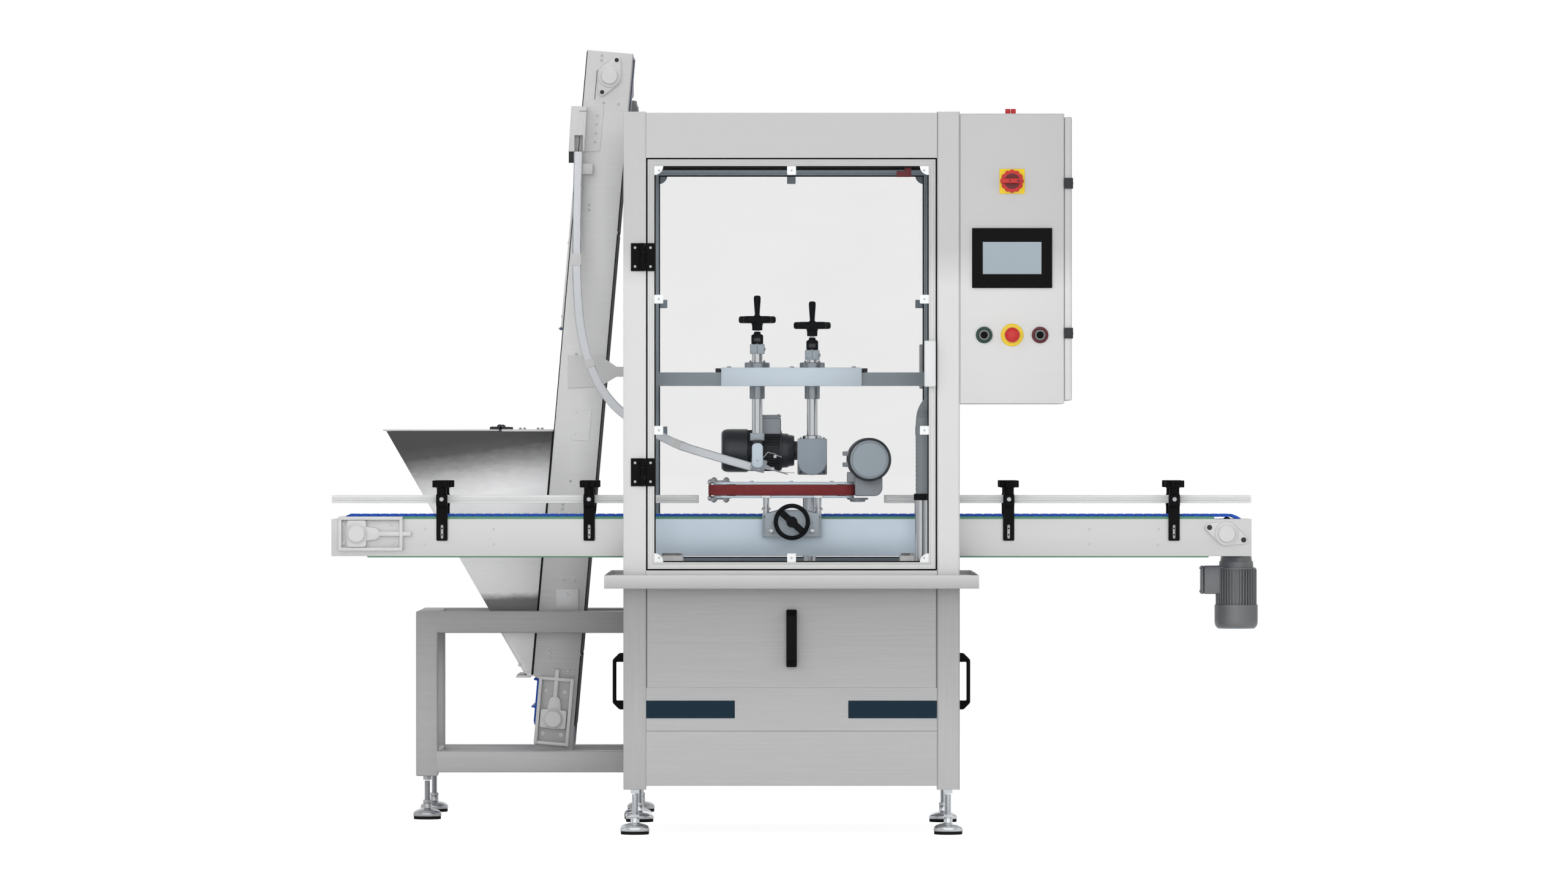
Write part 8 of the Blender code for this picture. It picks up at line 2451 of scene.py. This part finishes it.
@dataclass
class CapChute:
    """Open cap track: bent channel with two side walls and retaining wires, from the elevator to the head."""

    width: float = 0.023
    depth: float = 0.040
    line: Sequence[Triple] = (
        (-0.588, 0.925, 1.838), (-0.5909, 0.9048, 1.640), (-0.5890, 0.8601, 1.470), (-0.5735, 0.7898, 1.330),
        (-0.5348, 0.6901, 1.215),
        (-0.4738, 0.5702, 1.132), (-0.3910, 0.4650, 1.076), (-0.3039, 0.3950, 1.032), (-0.2144, 0.380, 1.003),
        (-0.104, 0.380, 0.971),
    )

    def build(self) -> None:
        """Makes the channel, the wires and the stub that holds its upper end."""
        path = smooth_path(self.line, 96)
        channel = [self._band(path, -0.5, 0.5, -0.5, -0.36), self._band(path, -0.5, -0.40, -0.5, 0.5),
                   self._band(path, 0.40, 0.5, -0.5, 0.5)]
        Bench.hand_over("chute_channel", Look.CHUTE, *channel, slot="rail_white", replaces=("cap_chute",), smooth=40)
        lips = [self._band(path, -0.42, -0.16, 0.42, 0.5), self._band(path, 0.16, 0.42, 0.42, 0.5)]
        Bench.hand_over("chute_lips", Look.PLATE, *lips, slot="steel", smooth=40)
        x, y, z = self.line[0]
        stub = Bench.block((x + 0.0003, y, z - 0.060), (x + 0.040, 0.9495, z - 0.030), 0.001)
        Bench.hand_over("chute_stub", Look.PLATE, stub, slot="rail_white")
        clamps = []
        for share in (0.18, 0.42, 0.62, 0.78):
            i = round(share * 96)
            clamps.append(self._band(path[i - 1:i + 2], -0.54, 0.54, -0.54, 0.54))
        Bench.hand_over("chute_straps", Look.PLATE, *clamps, slot="steel")

    def _band(self, path: Sequence[Vector], left: float, right: float, low: float, high: float) -> Piece:
        """A bar along the track between two shares of its width and of its depth."""
        piece = Bench.turned([(1.0, i * 0.001) for i in range(len(path))], ORIGIN, Axis.Z, 4)
        sides = [(left, low), (right, low), (right, high), (left, high)]
        for vertex in piece.data.vertices:
            i = min(round(vertex.co.z / 0.001), len(path) - 1)
            before, after = path[max(i - 1, 0)], path[min(i + 1, len(path) - 1)]
            ahead = (after - before).normalized()
            across = ahead.cross(Vector((0, 1, 0))).normalized()
            out = across.cross(ahead).normalized()
            corner = round((math.atan2(vertex.co.y, vertex.co.x) % (2 * pi)) / (pi / 2)) % 4
            u, v = sides[corner]
            vertex.co = path[i] + across * (u * self.width) + out * (v * self.depth)
        return Bench.outwards(piece)


ASSEMBLIES = (Enclosure, FrontDoor, RearDoor, LevellingFeet, Conveyor, GuideRails, HeadStation, GripBelts, WidthWheel,
              ControlCabinet, CabinetDoor, ElevatorStand, Elevator, Hopper, CapChute)
CARRIED = {
    "post_front_right": Look.POST, "post_rear_right": Look.POST, "top_hood": Look.STEEL, "drip_tray": Look.STEEL,
    "base_housing": Look.STEEL, "lift_off_panel": Look.STEEL, "support_mast": Look.CHROME,
    "cross_frame": Look.BAR, "front_door_pane": Look.PANE, "rear_door_pane": Look.PANE,
    "side_pane_left": Look.PANE, "side_pane_right": Look.PANE, "tie_bracket": Look.PLATE,
}


@dataclass
class Studio:
    """Pale floor, soft light from a pale room and the camera at the photograph's place."""

    eye: Triple = (-0.0293, -21.88215, 1.0417)
    lens: float = 184.0
    floor_size: float = 400.0

    def build(self) -> None:
        """Makes the floor, the room, the lamps and the camera."""
        self._floor()
        self._room()
        self._lamps()
        self._camera()

    def _floor(self) -> None:
        """Pale floor that shows white and keeps a soft shadow."""
        bpy.ops.object.select_all(action="DESELECT")
        bpy.ops.mesh.primitive_plane_add(size=self.floor_size, location=(0, 0, -0.0005))
        floor = bpy.context.active_object
        floor.name = "floor"
        Bench.settle(floor)
        recipe = Recipe("pale_floor")
        recipe.set(Base_Color=recipe.shade((0.80, 0.80, 0.80), recipe.noise(0.4, 2.0), 0.01), Roughness=0.9)
        path = recipe.node("ShaderNodeLightPath").outputs
        seen = recipe.greatest(path["Is Camera Ray"], path["Is Transmission Ray"])
        white = recipe.light("ShaderNodeEmission", (1.0, 1.0, 1.0), 1.17)
        recipe.end("ShaderNodeOutputMaterial", recipe.blend(seen * 0.80, recipe.shader.outputs[0], white))
        floor.data.materials.append(recipe.material)

    def _room(self) -> None:
        """White background, soft fill, and for the metal a room bright ahead and dark at its corners."""
        world = bpy.data.worlds.new("room")
        bpy.context.scene.world = world
        world.use_nodes = True
        world.node_tree.nodes.clear()
        room = Tree(world.node_tree, "Generated")
        x, _, z = room.coordinates()
        aside = room.greatest(abs(x), abs(z))
        tone = room.ramp(aside, (0.0, 0.98), (0.52, 0.96), (0.72, 0.50), (0.90, 0.40), (1.0, 0.78))
        white = (1.0, 1.0, 1.0)
        mirror, fill, blank = (room.light("ShaderNodeBackground", colour, strength) for colour, strength in
                               ((room.gray(tone), 1.0), (white, 0.46), (white, 1.0)))
        path = room.node("ShaderNodeLightPath").outputs
        lit = room.blend(path["Is Glossy Ray"], fill, mirror)
        seen = room.greatest(path["Is Camera Ray"], path["Is Transmission Ray"])
        room.end("ShaderNodeOutputWorld", room.blend(seen, lit, blank))

    def _lamps(self) -> None:
        """Large soft lamps that light the sheets without showing in them as spots."""
        for name, place, size, power in (
            ("key", (-3.6, -5.2, 4.2), 3.2, 95.0),
            ("fill", (4.6, -4.4, 2.6), 3.0, 50.0),
            ("front", (0.0, -8.0, 1.3), 4.0, 250.0),
            ("top", (0.0, 0.6, 5.2), 3.6, 80.0),
            ("back", (1.0, 5.0, 3.6), 3.0, 90.0),
        ):
            lamp = bpy.data.lights.new(name, "AREA")
            lamp.shape, lamp.size, lamp.energy = "SQUARE", size, power
            holder = bpy.data.objects.new(name, lamp)
            holder.location = place
            holder.rotation_euler = (Vector((0, 0, 1.0)) - Vector(place)).to_track_quat("-Z", "Y").to_euler()
            holder.visible_glossy = holder.visible_camera = False
            bpy.context.scene.collection.objects.link(holder)

    def _camera(self) -> None:
        """Level camera far off with a long lens, as the photograph was taken."""
        data = bpy.data.cameras.new("camera")
        data.lens, data.sensor_width, data.clip_end = self.lens, 36.0, 600.0
        holder = bpy.data.objects.new("camera", data)
        holder.location = self.eye
        holder.rotation_euler = (pi / 2, 0, 0)
        bpy.context.scene.collection.objects.link(holder)
        bpy.context.scene.camera = holder


@dataclass
class CarriedNodes:
    """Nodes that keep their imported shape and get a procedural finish."""

    looks: dict[str, Finish]

    def dress(self, nodes: dict[str, Piece]) -> None:
        """Puts the finishes on the nodes that are still shown.

        Args:
            nodes: The frame's nodes by name.
        """
        for name, node in nodes.items():
            if node.hide_render:
                continue
            finish = self.looks.get(name, Look.PLATE)
            for place in node.material_slots:
                place.material = finish.material()
            LOG.info("%s keeps its shape in %s", name, finish.name)


def main() -> None:
    """Builds the studio and every sub-assembly."""
    logging.basicConfig(level=logging.INFO, format="%(name)s: %(message)s")
    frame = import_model()
    bpy.context.scene.view_settings.view_transform = "Standard"
    Bench.find_origin()
    Studio().build()
    for assembly in ASSEMBLIES:
        assembly().build()
        LOG.info("%s is done", assembly.__name__)
    CarriedNodes(CARRIED).dress(frame["nodes"])


if __name__ == "__main__":
    main()
